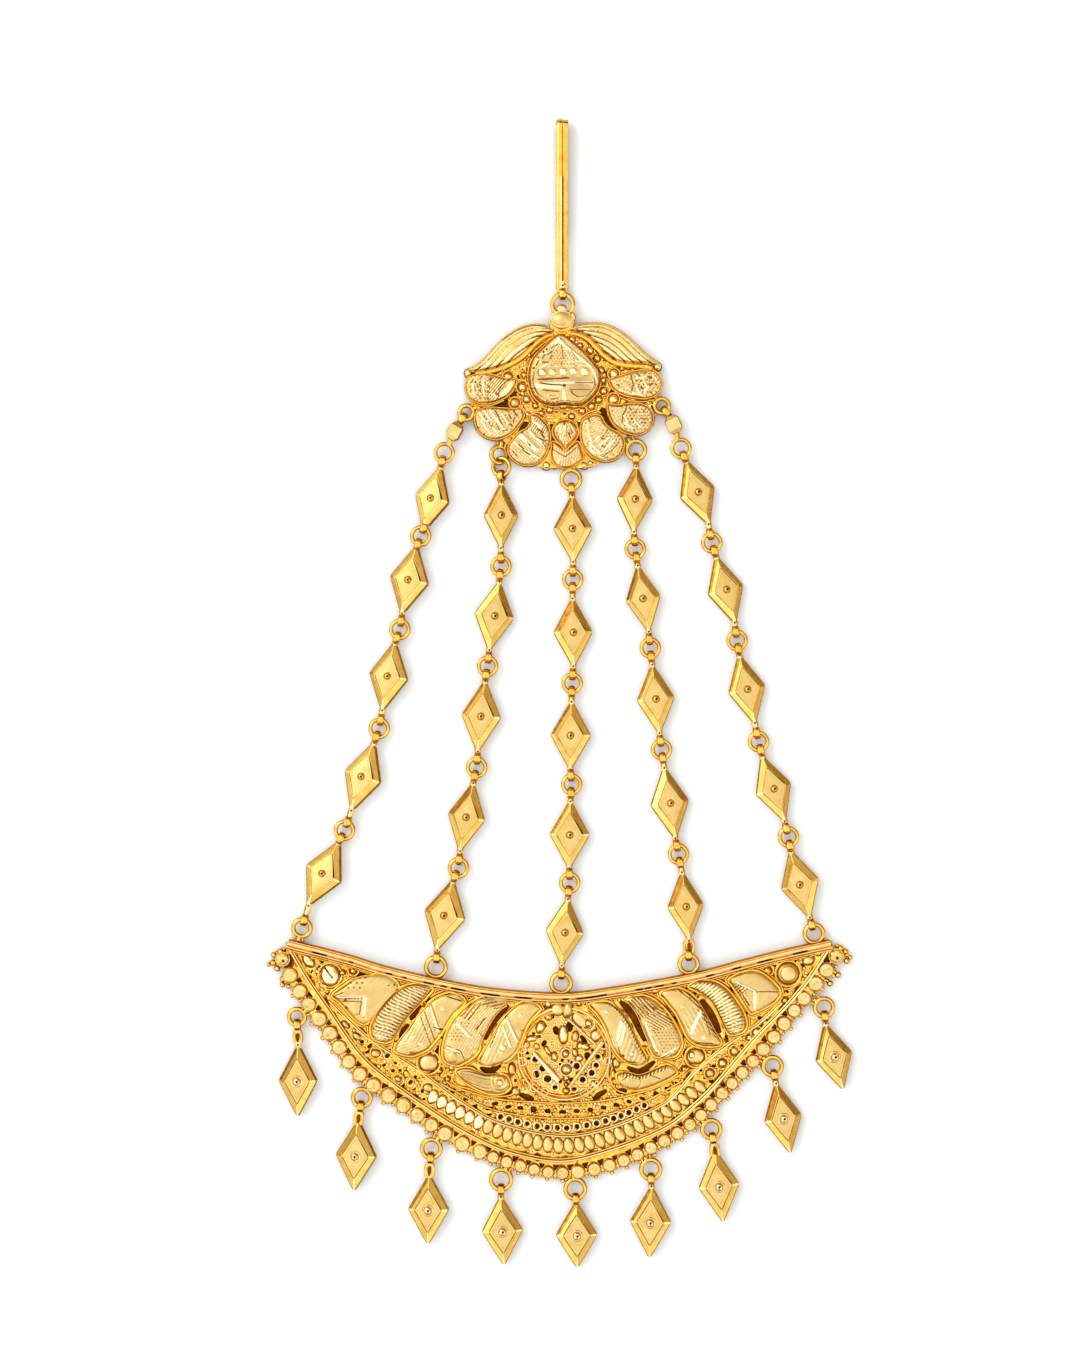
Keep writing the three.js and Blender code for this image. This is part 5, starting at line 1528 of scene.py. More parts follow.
# The rosette's openings, and the same for its half sizes.
ROSETTE = {"x": 0.39, "y": -47.12, "radius": 6.01}
ROSETTE_OPENINGS = table("""
x  y  rx  ry  turn
-1.14  -42.31  0.25  0.26  0
-2.22  -43.4  0.31  0.37  -30
-0.65  -44.1  0.39  0.55  -20
1.1  -43.62  0.47  0.63  15
2.95  -45.28  0.27  0.63  -38
-2.21  -45.8  0.29  0.42  30
-2.9  -44.9  0.24  0.21  0
-3.57  -44.51  0.21  0.18  0
-5.01  -46.63  0.29  0.27  0
-4.47  -47.03  0.31  0.21  20
-5.05  -48.13  0.35  0.31  0
-4.24  -47.75  0.2  0.18  0
-4.9  -48.77  0.26  0.16  0
-3.32  -47.86  0.34  0.31  0
-4.99  -49.66  0.38  0.46  -20
-4.29  -49.95  0.2  0.26  0
-3.15  -49.78  0.25  0.39  -15
-2.38  -49.03  0.39  0.39  45
-1.75  -50.39  0.42  0.35  0
-4.44  -50.78  0.27  0.3  0
-3.49  -51.59  0.33  0.33  0
-0.77  -51.52  0.29  0.22  0
-2.03  -52.09  0.25  0.22  0
-2.75  -52.38  0.22  0.18  0
-0.1  -50.68  0.22  0.3  20
1.36  -50.55  0.31  0.29  30
0.16  -47.99  0.2  0.21  0
0.99  -48.04  0.13  0.13  0
1.36  -48.22  0.16  0.16  0
-0.13  -48.51  0.16  0.17  0
3.45  -47.44  0.38  0.5  -15
2.04  -48.72  0.35  0.35  0
2.82  -50.52  0.34  0.31  0
3.22  -49.74  0.17  0.14  0
4  -49.61  0.31  0.31  0
4.58  -48.63  0.27  0.26  0
4.78  -47.54  0.29  0.26  0
5.46  -47.36  0.14  0.17  0
3.08  -52.22  0.31  0.26  30
1.7  -51.7  0.26  0.18  0
4.93  -46.44  0.16  0.26  0
5.57  -44.98  0.2  0.34  0
5.54  -46.08  0.24  0.21  0
6.25  -46.21  0.16  0.24  0
5.86  -46.71  0.21  0.16  0
6.07  -48.07  0.25  0.24  0
5.32  -49.84  0.34  0.26  10
5.84  -49.27  0.31  0.27  0
5.2  -50.68  0.21  0.2  0
6.35  -48.75  0.12  0.21  0
2.17  -49.69  0.29  0.16  -30
1.78  -45.16  0.18  0.2  0
4.13  -46.68  0.17  0.21  0
""")

# Domed bosses set in the ground: half sizes, turn in degrees, foot, rise, and the finish's number; finish 3 paints a
# boss light, 6 as a highlight and 9 in the paler cap gold.
DOMES = table("""
x  y  rx  ry  turn  foot  rise  finish
-30.17  -36.9  1.12  1.36  15  1.3  0.42  6
-32.99  -35.05  0.63  0.99  40  1.15  0.5  3
-27.14  -36.35  0.44  0.42  0  1.1  0.5  1
-28.56  -36.6  0.42  0.42  0  1.05  0.55  1
-29.93  -39.05  0.47  0.34  0  1  0.45  0
-28.16  -43.41  0.6  0.39  -40  1.05  0.4  0
-27.11  -42.99  0.52  0.37  0  1.05  0.4  0
-26.67  -44.95  0.65  0.44  -35  1.05  0.4  0
-24.24  -47.18  0.65  0.52  0  1.05  0.4  0
-21.31  -50.52  0.44  0.39  0  1.05  0.35  0
-20.13  -49.87  0.42  0.52  30  1.05  0.3  1
-17.29  -48.33  1.24  1.12  0  1.25  0.5  9
-15.91  -49.42  0.44  0.47  0  1.1  0.6  1
-17.39  -51.65  0.65  0.55  0  1.05  0.4  0
-14.3  -48.93  0.39  0.39  0  1.3  0.55  3
-14.82  -50.47  0.37  0.37  0  1.2  0.5  1
-11.05  -39.8  0.42  0.42  0  1.3  0.6  3
-6.41  -49.22  0.5  0.78  0  1.15  0.45  0
-5.93  -52.09  0.58  0.58  0  1.15  0.5  0
-1.7  -40.64  0.44  0.47  0  1.35  0.6  3
2.35  -40.59  0.37  0.37  0  1.35  0.5  1
0.86  -41.35  0.68  1.07  -12  1.55  0.75  9
-0.44  -41.37  0.86  0.81  10  1.55  0.45  9
-1.62  -42.34  0.5  0.42  0  1.45  0.6  3
-2.69  -43.67  0.58  0.81  -25  1.5  0.65  3
-3.79  -45.16  0.81  0.44  15  1.45  0.65  3
-4.47  -46  0.47  0.55  -25  1.35  0.5  0
-3.16  -46.16  0.47  0.5  0  1.45  0.5  0
0.31  -44.61  0.6  1.18  0  1.66  0.5  3
1.86  -44.9  0.47  0.71  -10  1.6  0.5  0
2.51  -42.78  1.2  0.81  -42  1.55  0.36  9
3.58  -43.15  0.39  0.39  0  1.8  0.3  3
4.55  -44.8  0.71  0.86  -35  1.45  0.55  9
-1.75  -46.73  0.31  0.65  35  1.6  0.5  3
-0.86  -47.49  0.44  0.6  0  1.65  0.6  3
0.58  -47.12  0.39  0.42  0  1.75  0.55  3
1.8  -46.94  0.34  0.52  15  1.7  0.45  3
2.38  -47.7  0.55  0.44  20  1.65  0.5  3
3.14  -46.21  0.63  0.47  -10  1.6  0.55  3
2.48  -46.08  0.34  0.5  -20  1.6  0.45  3
0.71  -49.14  0.63  0.58  0  1.7  0.6  3
0.68  -50.26  0.37  0.39  0  1.6  0.5  3
0.65  -51.96  0.44  0.39  0  1.45  0.45  1
0.65  -51.12  0.29  0.29  0  1.5  0.45  1
4.24  -51.12  0.44  0.44  0  1.4  0.45  3
7.19  -48.38  0.52  0.65  0  1.15  0.5  0
6.8  -49.87  0.42  0.65  0  1.15  0.5  1
12.29  -38.94  0.52  0.39  0  1.3  0.5  1
17.58  -47.54  1.15  0.99  0  1.25  0.5  9
17.12  -47.33  0.39  0.44  0  1.62  0.3  3
16.13  -49.16  0.44  0.44  0  1.15  0.6  1
21.1  -45.69  0.6  0.52  0  1.15  0.5  0
22.16  -43.02  0.47  0.47  0  1.3  0.55  3
24.63  -45.08  0.44  0.44  0  1.15  0.45  3
25.54  -44.35  0.52  0.52  45  1.15  0.45  3
22.69  -46.86  0.55  0.55  45  1.1  0.45  0
21.1  -48.41  0.52  0.52  0  1.1  0.5  3
19.48  -49.74  0.55  0.55  0  1.1  0.45  0
26.75  -43.15  0.5  0.39  35  1.1  0.45  0
29.23  -40.2  0.47  0.39  40  1.1  0.45  0
29.65  -36.69  1.41  1.39  0  1.2  0.7  9
26.98  -36.35  0.55  0.55  0  1.1  0.55  1
28.05  -35.31  0.52  0.47  0  1.1  0.5  1
28.84  -38.92  0.47  0.42  0  1.1  0.5  0
32.31  -34.99  0.78  0.63  20  1.15  0.5  9
33.59  -34  0.44  0.44  0  1.15  0.6  3
""")

# Rings of wire in the ground: centre, radius to the wire's middle, the wire's radius, height, finish; finish 13 paints
# a ring as warm shade.
RINGLETS = table("""
x  y  r  tube  z  finish
-30.17  -36.93  1.57  0.14  1.2  1
-27.16  -36.35  0.71  0.13  1.2  2
-25.96  -45.62  0.6  0.12  1.15  2
-24.18  -47.05  0.78  0.12  1.2  1
-21.91  -49.42  0.6  0.12  1.15  2
-21.36  -50.58  0.84  0.13  1.15  2
-19.63  -51.02  0.73  0.13  1.15  1
-17.29  -48.33  1.54  0.16  1.4  2
-12.39  -53.01  0.48  0.13  1.2  1
29.65  -36.69  1.67  0.17  1.3  1
29.65  -36.69  0.99  0.07  1.69  13
26.98  -36.35  0.76  0.13  1.2  2
17.58  -47.57  1.41  0.16  1.4  2
22.69  -46.86  0.81  0.13  1.2  1
21.1  -48.41  0.81  0.13  1.2  2
19.48  -49.74  0.78  0.13  1.2  1
25.54  -44.35  0.78  0.12  1.2  2
-5.01  -46.63  0.46  0.12  1.55  1
-5.05  -48.16  0.54  0.12  1.5  1
-3.32  -47.88  0.55  0.12  1.65  1
-3.16  -49.78  0.58  0.12  1.6  1
-1.75  -50.39  0.6  0.12  1.6  1
-4.44  -50.78  0.48  0.12  1.45  1
-3.49  -51.59  0.51  0.12  1.45  1
-2.09  -52.12  0.44  0.12  1.45  1
-0.77  -51.52  0.47  0.12  1.5  1
3.06  -52.2  0.52  0.12  1.45  1
1.7  -51.7  0.47  0.12  1.5  1
2.82  -50.52  0.52  0.12  1.6  1
4  -49.63  0.51  0.12  1.6  1
4.24  -51.12  0.68  0.12  1.45  1
4.58  -48.65  0.48  0.12  1.6  1
4.78  -47.56  0.5  0.12  1.6  1
5.54  -46.08  0.44  0.12  1.5  1
6.07  -48.07  0.46  0.12  1.5  1
5.25  -50.68  0.44  0.1  1.45  1
2.04  -48.72  0.55  0.1  1.7  1
0.68  -47.12  0.68  0.1  1.75  2
0.71  -49.14  0.84  0.1  1.7  2
3.53  -43.2  0.84  0.1  1.6  0
""")

# Ring-chain of the lower band.
CHAIN_RINGS = table("""
x  y  r
-7.87  -55.41  0.48
-6.8  -55.73  0.51
-5.62  -56.09  0.48
-4.41  -56.38  0.48
-3.11  -56.65  0.5
-1.79  -56.8  0.48
-0.48  -56.85  0.48
0.75  -56.88  0.47
2.09  -56.72  0.48
3.37  -56.51  0.48
4.65  -56.25  0.48
5.83  -55.96  0.47
6.88  -55.62  0.47
7.84  -55.28  0.47
8.86  -54.86  0.46
9.86  -54.42  0.46
10.9  -53.92  0.44
""")

# Flat bars set over the rosette: their two ends, their width at each, and their height; finish 6 paints a bar as a
# highlight and 5 as a dark line of shade.
BARS = table("""
ax  ay  bx  by  left  right  z  finish
-3.53  -46.94  -0.31  -50.65  0.5  0.78  2.28  6
5.44  -45.56  1.12  -51.39  0.58  0.44  2.22  0
0.89  -42.55  4.5  -45.9  0.34  0.34  2.1  6
-30.9  -35.87  -29.78  -37.31  0.33  0.33  1.76  5
""")

# Wires of the lower band and round the leaves' gaps, each through its own points.
BAND_WIRES = [
    (0.17, 1.45, 2, table("""
        x  y
        -15.03  -50.78
        -12.94  -51.83
        -10.07  -52.68
        -7.32  -53.2
        -3.53  -53.46
        0.13  -53.61
        4.44  -53.4
        7.97  -52.81
        11.63  -51.83
        15.03  -50.26
        16.6  -49.08
    """)),
    (0.15, 1.40, 1, table("""
        x  y
        -15.69  -51.05
        -12.94  -52.55
        -10.33  -53.92
        -7.97  -54.71
        -4.05  -55.36
        0.13  -55.62
        4.44  -55.41
        7.97  -54.52
        11.63  -53.08
        15.95  -50.65
    """)),
    (0.16, 1.35, 2, table("""
        x  y
        -13.86  -49.61
        -14.25  -50.52
        -13.46  -51.37
        -11.9  -51.76
        -9.8  -52.55
        -7.97  -52.75
        -6.41  -52.48
        -5.49  -51.57
        -5.62  -50.39
        -6.27  -49.35
    """)),
    (0.15, 1.30, 1, table("""
        x  y
        6.67  -48.82
        6.47  -50.39
        6.93  -51.57
        7.97  -52.22
        9.54  -52.42
        11.63  -51.96
        13.99  -50.78
        15.56  -49.48
    """)),
    (0.14, 1.30, 2, table("""
        x  y
        -31.76  -34.58
        -30.2  -34.64
        -28.63  -35.23
        -27.78  -36.41
        -27.97  -37.71
        -29.02  -38.58
        -30.46  -38.76
        -31.5  -38.1
    """)),
    (0.14, 1.30, 2, table("""
        x  y
        31.11  -35.23
        31.37  -36.8
        30.85  -38.1
        29.67  -38.69
        28.37  -38.5
        27.71  -37.32
    """)),
    (0.14, 1.25, 2, table("""
        x  y
        -18.56  -47.39
        -18.89  -48.56
        -18.3  -49.61
        -17.12  -50.07
        -15.95  -50.26
        -15.29  -50.65
    """)),
    (0.15, 1.35, 2, table("""
        x  y
        -15.69  -45.42
        -15.82  -46.99
        -15.29  -48.82
        -14.9  -50.39
    """)),
    (0.14, 1.30, 1, table("""
        x  y
        15.42  -46.21
        15.95  -47.78
        15.56  -48.82
        14.51  -49.74
    """)),
    (0.14, 1.25, 2, table("""
        x  y
        19.74  -46.6
        18.95  -48.3
        17.78  -49.08
        16.73  -49.35
    """)),
]

# Oval beads between the two lower rails: the line through their middles.
BEAD_LINE = table("""
x  y
-16.73  -52.81
-13.86  -54.51
-10.59  -56.21
-6.01  -58.04
-0.13  -59.22
5.1  -58.5
10.33  -56.6
14.51  -54.25
18.17  -51.5
""")
BEADS = {"count": 29, "half_wide": 0.725, "half_long": 1.16, "foot": 1.05, "rise": 0.60}


def wave(value):
    """A rounded ripple between -1 and 1."""
    return np.cos(2 * math.pi * value)


def soft(value):
    """A smooth step from 0 to 1."""
    value = np.clip(value, 0, 1)
    return value * value * (3 - 2 * value)


def from_segment(x, y, a, b):
    """How far each point is from a straight line between two points."""
    d = np.subtract(b, a)
    t = np.clip(((x - a[0]) * d[0] + (y - a[1]) * d[1]) / max(d @ d, 1e-12), 0, 1)
    return np.hypot(x - a[0] - t * d[0], y - a[1] - t * d[1])


def window(value, low, high, edge):
    return soft((value - low) / edge + 0.5) * soft((high - value) / edge + 0.5)


def worked(number, lines, roundels, hatches, stipples):
    """The height that a leaf's cut work adds, and its painted marks: highlights on ridges, hatch crests and small
    roundels, shade in hatch valleys, grooves, stipple dots and sunk dots.
    """
    lines = [r for r in lines if r["leaf"] == number]
    roundels = [r for r in roundels if r["leaf"] == number]
    hatches = [r for r in hatches if r["leaf"] == number]
    stipples = [r for r in stipples if r["leaf"] == number]

    def rise(u, v, x, y):
        z = np.zeros_like(x)
        for r in hatches:
            a = math.radians(r["turn"])
            ripple = wave((x * math.sin(a) - y * math.cos(a)) / r["pitch"])
            z += 1.6 * r["deep"] * ripple * window(u, r["from"], r["to"], 0.03) * window(v, r["near"], r["far"], 0.12)
        for r in stipples:
            p = r["pitch"]
            row = np.round(y / (p * 0.87))
            dx = (x / p + 0.5 * (row % 2)) % 1 - 0.5
            dy = y / (p * 0.87) - row
            dot = np.clip(1 - np.hypot(dx, dy) * 2.6, 0, 1)
            z -= r["deep"] * 1.4 * dot * window(u, r["from"], r["to"], 0.03) * window(v, r["near"], r["far"], 0.12)
        for r in roundels:
            d = np.hypot(x - r["x"], y - r["y"]) / r["r"]
            flat = soft((1.12 - d) / 0.2)
            z = z * (1 - flat) + flat * r["high"] * (1 - 0.45 * np.clip(d, 0, 1) ** 2) if r["rim"] else z + r["high"] * flat
            if r["rim"]:
                z -= 0.09 * np.exp(-((d - 1.12) * r["r"] / 0.07) ** 2)
        for r in lines:
            d = from_segment(x, y, (r["ax"], r["ay"]), (r["bx"], r["by"])) / (r["across"] / 2)
            if r["high"] > 0:
                z = np.maximum(z, r["high"] * np.clip(1.25 - d, 0, 1.0))
                z -= 0.05 * np.exp(-((d - 1.45) / 0.28) ** 2)
            else:
                z += 1.3 * r["high"] * np.clip(1 - d, 0, 1)
        return z

    def marks(x, y, plain, u=None, v=None):
        out = np.full(len(x), plain)
        if u is not None:
            for r in hatches:
                a = math.radians(r["turn"])
                ripple = wave((x * math.sin(a) - y * math.cos(a)) / r["pitch"])
                on = (u > r["from"]) & (u < r["to"]) & (v > r["near"]) & (v < r["far"])
                if r["deep"] >= 0.018:
                    out[on & (ripple < -0.55)] = F_PAINTED_LINE_SHADE if r["deep"] >= 0.035 else F_PAINTED_HALF_SHADE
                    out[on & (ripple > 0.80)] = F_PAINTED_LIGHT
            for r in stipples:
                p = r["pitch"]
                row = np.round(y / (p * 0.87))
                dx = (x / p + 0.5 * (row % 2)) % 1 - 0.5
                dy = y / (p * 0.87) - row
                on = (u > r["from"]) & (u < r["to"]) & (v > r["near"]) & (v < r["far"])
                out[on & (np.hypot(dx, dy) < 0.20)] = F_PAINTED_LINE_SHADE
        for r in lines:
            d = from_segment(x, y, (r["ax"], r["ay"]), (r["bx"], r["by"])) / (r["across"] / 2)
            if r["high"] > 0:
                out[d < 1.15] = F_PAINTED_HIGHLIGHT
            elif r["high"] <= -0.06:
                out[d < 0.75] = F_PAINTED_LINE_SHADE
        for r in roundels:
            d = np.hypot(x - r["x"], y - r["y"]) / r["r"]
            if r["high"] < 0:
                out[d < 0.75] = F_PAINTED_SHADE
            elif r["r"] < 0.6:
                out[d < 0.6] = F_PAINTED_HIGHLIGHT
        return out

    return rise, marks


def outline_of(edge_a, edge_b, count=72):
    """A leaf's closed outline, counterclockwise."""
    loop = np.vstack([edge_a, edge_b[::-1]])
    loop = spline(loop[:: max(1, len(loop) // 26)], count, True)
    area = np.sum(loop[:, 0] * np.roll(loop[:, 1], -1) - np.roll(loop[:, 0], -1) * loop[:, 1])
    return loop if area > 0 else loop[::-1]


def oval(x, y, rx, ry, turn, count=9, square=1.0):
    """A closed oval, slightly squared, as points."""
    a = (np.arange(count) + 0.5) / count * 2 * math.pi
    c, s = np.cos(a), np.sin(a)
    px, py = np.sign(c) * np.abs(c) ** square * rx, np.sign(s) * np.abs(s) ** square * ry
    t = math.radians(turn)
    return np.column_stack([x + px * math.cos(t) - py * math.sin(t), y + px * math.sin(t) + py * math.cos(t)])


def lens(points, wide, count=12):
    """A closed slit along a curve, pointed at its ends."""
    line = spline(points, count)
    t = np.linspace(0, 1, count)
    half = wide / 2 * np.maximum(np.sin(math.pi * (0.06 + 0.88 * t)), 0.02) ** 0.55
    n = tangents(line)
    side = np.column_stack([-n[:, 1], n[:, 0]]) * half[:, None]
    return np.vstack([line + side, (line - side)[::-1]])


def dome(form, row, around=18, rings=6):
    """A domed boss on an upright foot."""
    a = np.linspace(0, math.pi / 2, rings + 1)
    profile = [(0, 0.3), (1.0, 0.3), (1.0, row["foot"])] + \
              [(math.cos(v), row["foot"] + row["rise"] * math.sin(v)) for v in a[1:-1]] + [(0, row["foot"] + row["rise"])]
    # painted shade: a dark line runs round the foot, where it meets the ground
    k = 1 + 0.085 / min(row["rx"], row["ry"])
    form.turn([(0, 0.3), (k, 0.3), (k, row["foot"] + 0.03), (0, row["foot"] + 0.04)], (row["x"], row["y"], 0), around,
              stretch=(row["rx"], row["ry"]), heading=math.radians(row["turn"]), finish=F_PAINTED_LINE_SHADE)
    form.turn(profile, (row["x"], row["y"], 0), around, stretch=(row["rx"], row["ry"]),
              heading=math.radians(row["turn"]), finish=int(row["finish"]))


def scatter(spacing, seed, keep, box):
    """Places on a loose grid, kept where the test allows."""
    spread = np.random.default_rng(seed)
    gx, gy = np.meshgrid(np.arange(box[0], box[1], spacing), np.arange(box[2], box[3], spacing * 0.87))
    gx = gx + (np.arange(gx.shape[0]) % 2)[:, None] * spacing / 2
    p = np.stack([gx.ravel(), gy.ravel()], 1) + spread.uniform(-0.22, 0.22, (gx.size, 2)) * spacing
    return p[keep(p)], spread


top_rail = spline(columns(TOP_RAIL, "x", "y"), 260)
outer_rail = spline(columns(OUTER_RAIL, "x", "y"), 320)
inner_rail = spline(columns(INNER_RAIL, "x", "y"), 240)

keys = columns(STUD_KEYS, "x", "y")
fine = []
STUDS = [keys[0]]
for i in range(1, len(keys)):
    n = int(STUD_KEYS[i]["studs"])
    a = keys[i - 2] if i > 1 else 2 * keys[0] - keys[1]
    b, c = keys[i - 1], keys[i]
    d = keys[i + 1] if i + 1 < len(keys) else 2 * c - b
    for k in range(1, n + 1):
        t = k / n
        STUDS.append(0.5 * (2 * b + (c - a) * t + (2 * a - 5 * b + 4 * c - d) * t ** 2 + (3 * b - a - 3 * c + d) * t ** 3))
STUDS = np.array(STUDS)
stud_line = spline(STUDS, 200)
stud_out = tangents(STUDS)
stud_out = np.column_stack([stud_out[:, 1], -stud_out[:, 0]])  # away from the crescent

leaf_edges = {}
for name, rows in LEAVES.items():
    sections = 150 if name.startswith("ribbed") else 104
    leaf_edges[name] = (spline(columns(rows, "ax", "ay"), sections), spline(columns(rows, "bx", "by"), sections))
leaf_loops = {name: outline_of(*edges) for name, edges in leaf_edges.items()}

slit_loops = []
for r in SLITS:
    slit_loops.append(lens([(r["ax"], r["ay"]), (r["bx"], r["by"]), (r["cx"], r["cy"])], r["wide"]))

rosette_at = np.array([ROSETTE["x"], ROSETTE["y"]])


def in_rosette(p, extra=0.0):
    return np.hypot(*(p - rosette_at).T) < ROSETTE["radius"] + extra


# ---- the base sheet, its slits narrowed to hairlines and its top painted as shade: dark brown under the slits and near black elsewhere
base_outline = np.vstack([offset(top_rail, 0.25), offset(stud_line, -0.25)[::-1]])
base_outline = base_outline[np.concatenate([[True], np.linalg.norm(np.diff(base_outline, axis=0), axis=1) > 0.05])]
base = Form()
sheet_slits = [lens([(r["ax"], r["ay"]), (r["bx"], r["by"]), (r["cx"], r["cy"])], r["wide"] * 0.01) for r in SLITS]


# painted shade on the sheet's top: the slit shade under the slits, the deep shade elsewhere
def paint_slit_shade(x, y):
    p = np.column_stack([x, y])
    return np.where(np.any([inside(p, s) for s in slit_loops], axis=0), F_PAINTED_SLIT_SHADE, F_PAINTED_SHADE)


base.plate(base_outline, BASE["low"], BASE["high"], holes=sheet_slits, step=0.5, finish=F_SATIN, paint=paint_slit_shade)
base.piece("crescent_base_sheet", FINISHES, "crescent", "granulated_gold")

# ---- the pierced ground, its hole walls painted as shade
ground_outline = np.vstack([offset(top_rail, -0.2)[4:-4], offset(outer_rail, 0.1)[4:-4][::-1]])
openings = []
taken = list(slit_loops)
for r in OPENINGS + [{"x": r["x"], "y": r["y"], "rx": 0.30, "ry": 0.30, "turn": 0} for r in CHAIN_RINGS]:
    loop = oval(r["x"], r["y"], r["rx"], r["ry"], -r["turn"], 8, 0.8)
    centre = loop.mean(0)[None]
    clear = min(distance_to(loop, other).min() for other in taken)
    edge = distance_to(loop, ground_outline).min()
    rim = abs(math.hypot(*(centre[0] - rosette_at)) - ROSETTE["radius"])
    if clear > 0.12 and edge > 0.1 and not any(inside(centre, other)[0] for other in taken) and inside(loop, ground_outline).all():
        taken.append(loop)
        openings.append(loop)
ground_wave = np.random.default_rng(4).uniform(0, 2 * math.pi, (14, 3))


def ground_height(x, y):
    z = np.full(len(x), WEB_TOP)
    for i, (a, b, c) in enumerate(ground_wave):
        k = 2 * math.pi / (0.9 + 0.11 * i)
        z = z + 0.030 * np.sin(k * (x * math.cos(a) + y * math.sin(a)) + b)
    return z


disc_hole = rosette_at + np.column_stack([np.cos(np.arange(60) / 60 * 2 * math.pi), np.sin(np.arange(60) / 60 * 2 * math.pi)]) * (ROSETTE["radius"] - 0.25)
ground_slits = [s for s in slit_loops if distance_to(s, disc_hole).min() > 0.1 and distance_to(s, ground_outline).min() > 0.05 and inside(s, ground_outline).all() and not in_rosette(s).any()]
ground_openings = [h for h in openings if distance_to(h, disc_hole).min() > 0.1 and not in_rosette(h).any()]
ground = Form()
ground.plate(ground_outline, 0.3, ground_height, holes=ground_slits + ground_openings + [disc_hole], step=0.30,
             finish=F_PAINTED_SHADE, top_finish=F_GROUND)

# ---- the fringe's ground, pierced beside the rail between the studs, its hole walls painted as shade
fringe_outline = np.vstack([offset(outer_rail, -0.15)[6:-6], offset(stud_line, -0.55)[6:-6][::-1]])
fringe_holes = []
fringe_spread = np.random.default_rng(12)
for a, b, na, nb in zip(STUDS[1:], STUDS[2:], stud_out[1:], stud_out[2:]):
    n = (na + nb) / np.hypot(*(na + nb))
    t = np.array([-n[1], n[0]])
    m = (a + b) / 2 - n * 0.66
    w = fringe_spread.uniform(0.7, 1.15)
    hole = np.array([m - n * 0.36 * w + t * 0.46 * w, m - n * 0.30 - t * 0.44, m - t * 0.14 + n * 0.36, m + t * 0.18 + n * 0.34 * w])
    if inside(hole, fringe_outline).all() and distance_to(hole, fringe_outline).min() > 0.07:
        fringe_holes.append(hole)
    m = (a + b) / 2 + n * 0.66
    dot = oval(m[0], m[1], 0.15, 0.13, 0, 6)
    if inside(dot, fringe_outline).all() and distance_to(dot, fringe_outline).min() > 0.05:
        fringe_holes.append(dot)
ground.plate(fringe_outline, 0.3, lambda x, y: ground_height(x, y) - 0.1, holes=fringe_holes, step=0.34,
             finish=F_PAINTED_SHADE, top_finish=F_GROUND)
ground.piece("crescent_pierced_ground", FINISHES, "crescent", "granulated_gold")

# ---- rails
rails = Form()
# cuts along the top rail's lower shoulder, painted dark as shade: where each starts and ends along x
RAIL_CUTS = table("""
ax  bx  side
-32.55  -30.59  0.2
-27.58  -27.19  -0.4
-22.88  -22.09  0.1
-20.65  -20.13  0.5
-17.91  -16.6  0.6
-15.69  -14.9  0.55
-13.59  -12.55  -0.1
-14.25  -12.94  0.65
-10.46  -7.97  0.15
-6.01  -3.79  0.1
0.26  1.05  0.7
1.96  5.88  0.15
9.8  10.59  0
10.85  11.9  -0.2
12.29  13.46  0.1
14.51  15.03  0.5
18.95  19.87  0.2
22.35  23.53  0.1
25.62  27.45  0.15
30.2  32.03  0.2
""")


# The top rail's profile from its upper edge to its lower: a thin lip, a flat band in the paler cap gold, a scribed line
# painted as shade where it is cut, and a bead painted as a highlight.
RAIL_PROFILE = table("""
across   z     finish
0.00    1.55   2
0.06    1.86   2
0.11    1.96   9
0.19    1.97   9
0.22    1.90   2
0.27    1.90   2
0.30    1.99   9
0.50    2.03   9
0.72    1.99   9
0.76    1.86   5
0.83    1.84   5
0.87    1.98   6
0.96    2.07   6
1.06    2.05   6
1.15    1.92   1
1.20    1.60   2
""")
RAIL = {"upper": 0.46, "lower": -0.74}
SCRIBE = {"from": 0.73, "to": 0.86}


def rail_height(s, t, u, v, x, y):
    q = (v + 1) / 2 * (RAIL["upper"] - RAIL["lower"])
    z = np.interp(q, [r["across"] for r in RAIL_PROFILE], [r["z"] for r in RAIL_PROFILE])
    for r in RAIL_CUTS:
        z = z - 0.16 * window(x, r["ax"], r["bx"], 0.12) * window(q, SCRIBE["from"] - 0.04, SCRIBE["to"] + 0.02, 0.05)
    return z + 0.012 * np.sin(x * 2.1 + 1.3 * np.sin(x * 0.7))


def rail_paint(s, t, u, v, x, y):
    q = (v + 1) / 2 * (RAIL["upper"] - RAIL["lower"])
    place = np.searchsorted([r["across"] for r in RAIL_PROFILE], q) - 1
    out = np.array([int(r["finish"]) for r in RAIL_PROFILE])[np.clip(place, 0, len(RAIL_PROFILE) - 1)]
    scribe = (q > SCRIBE["from"] - 0.02) & (q < SCRIBE["to"])
    out[scribe] = F_GROUND
    for r in RAIL_CUTS:
        out[scribe & (x > r["ax"]) & (x < r["bx"])] = F_PAINTED_LINE_SHADE
    return out


rails.relief(offset(top_rail, RAIL["upper"]), offset(top_rail, RAIL["lower"]), 0.3, rail_height, 0, 26, F_SATIN, rail_paint)
rails.wire(raised(offset(top_rail, -0.86), 1.62), 0.14, 8, finish=F_WIRE)
rails.wire(raised(offset(top_rail, -1.12), 1.30), 0.12, 8, finish=F_WIRE)
# The two lower rails: a low wall between two wires, the wall painted as shade and one wire of each pair painted light.
# Half width of the wall, its height, and the wires.
LOWER_RAILS = table("""
rail  half  base  top   side   z     wire  finish
0     0.10  0.30  1.42  -0.17  1.50  0.155  3
0     0.10  0.30  1.42   0.16  1.48  0.140  1
1     0.07  0.20  1.30  -0.13  1.42  0.130  3
1     0.07  0.20  1.30   0.14  1.40  0.125  1
""")
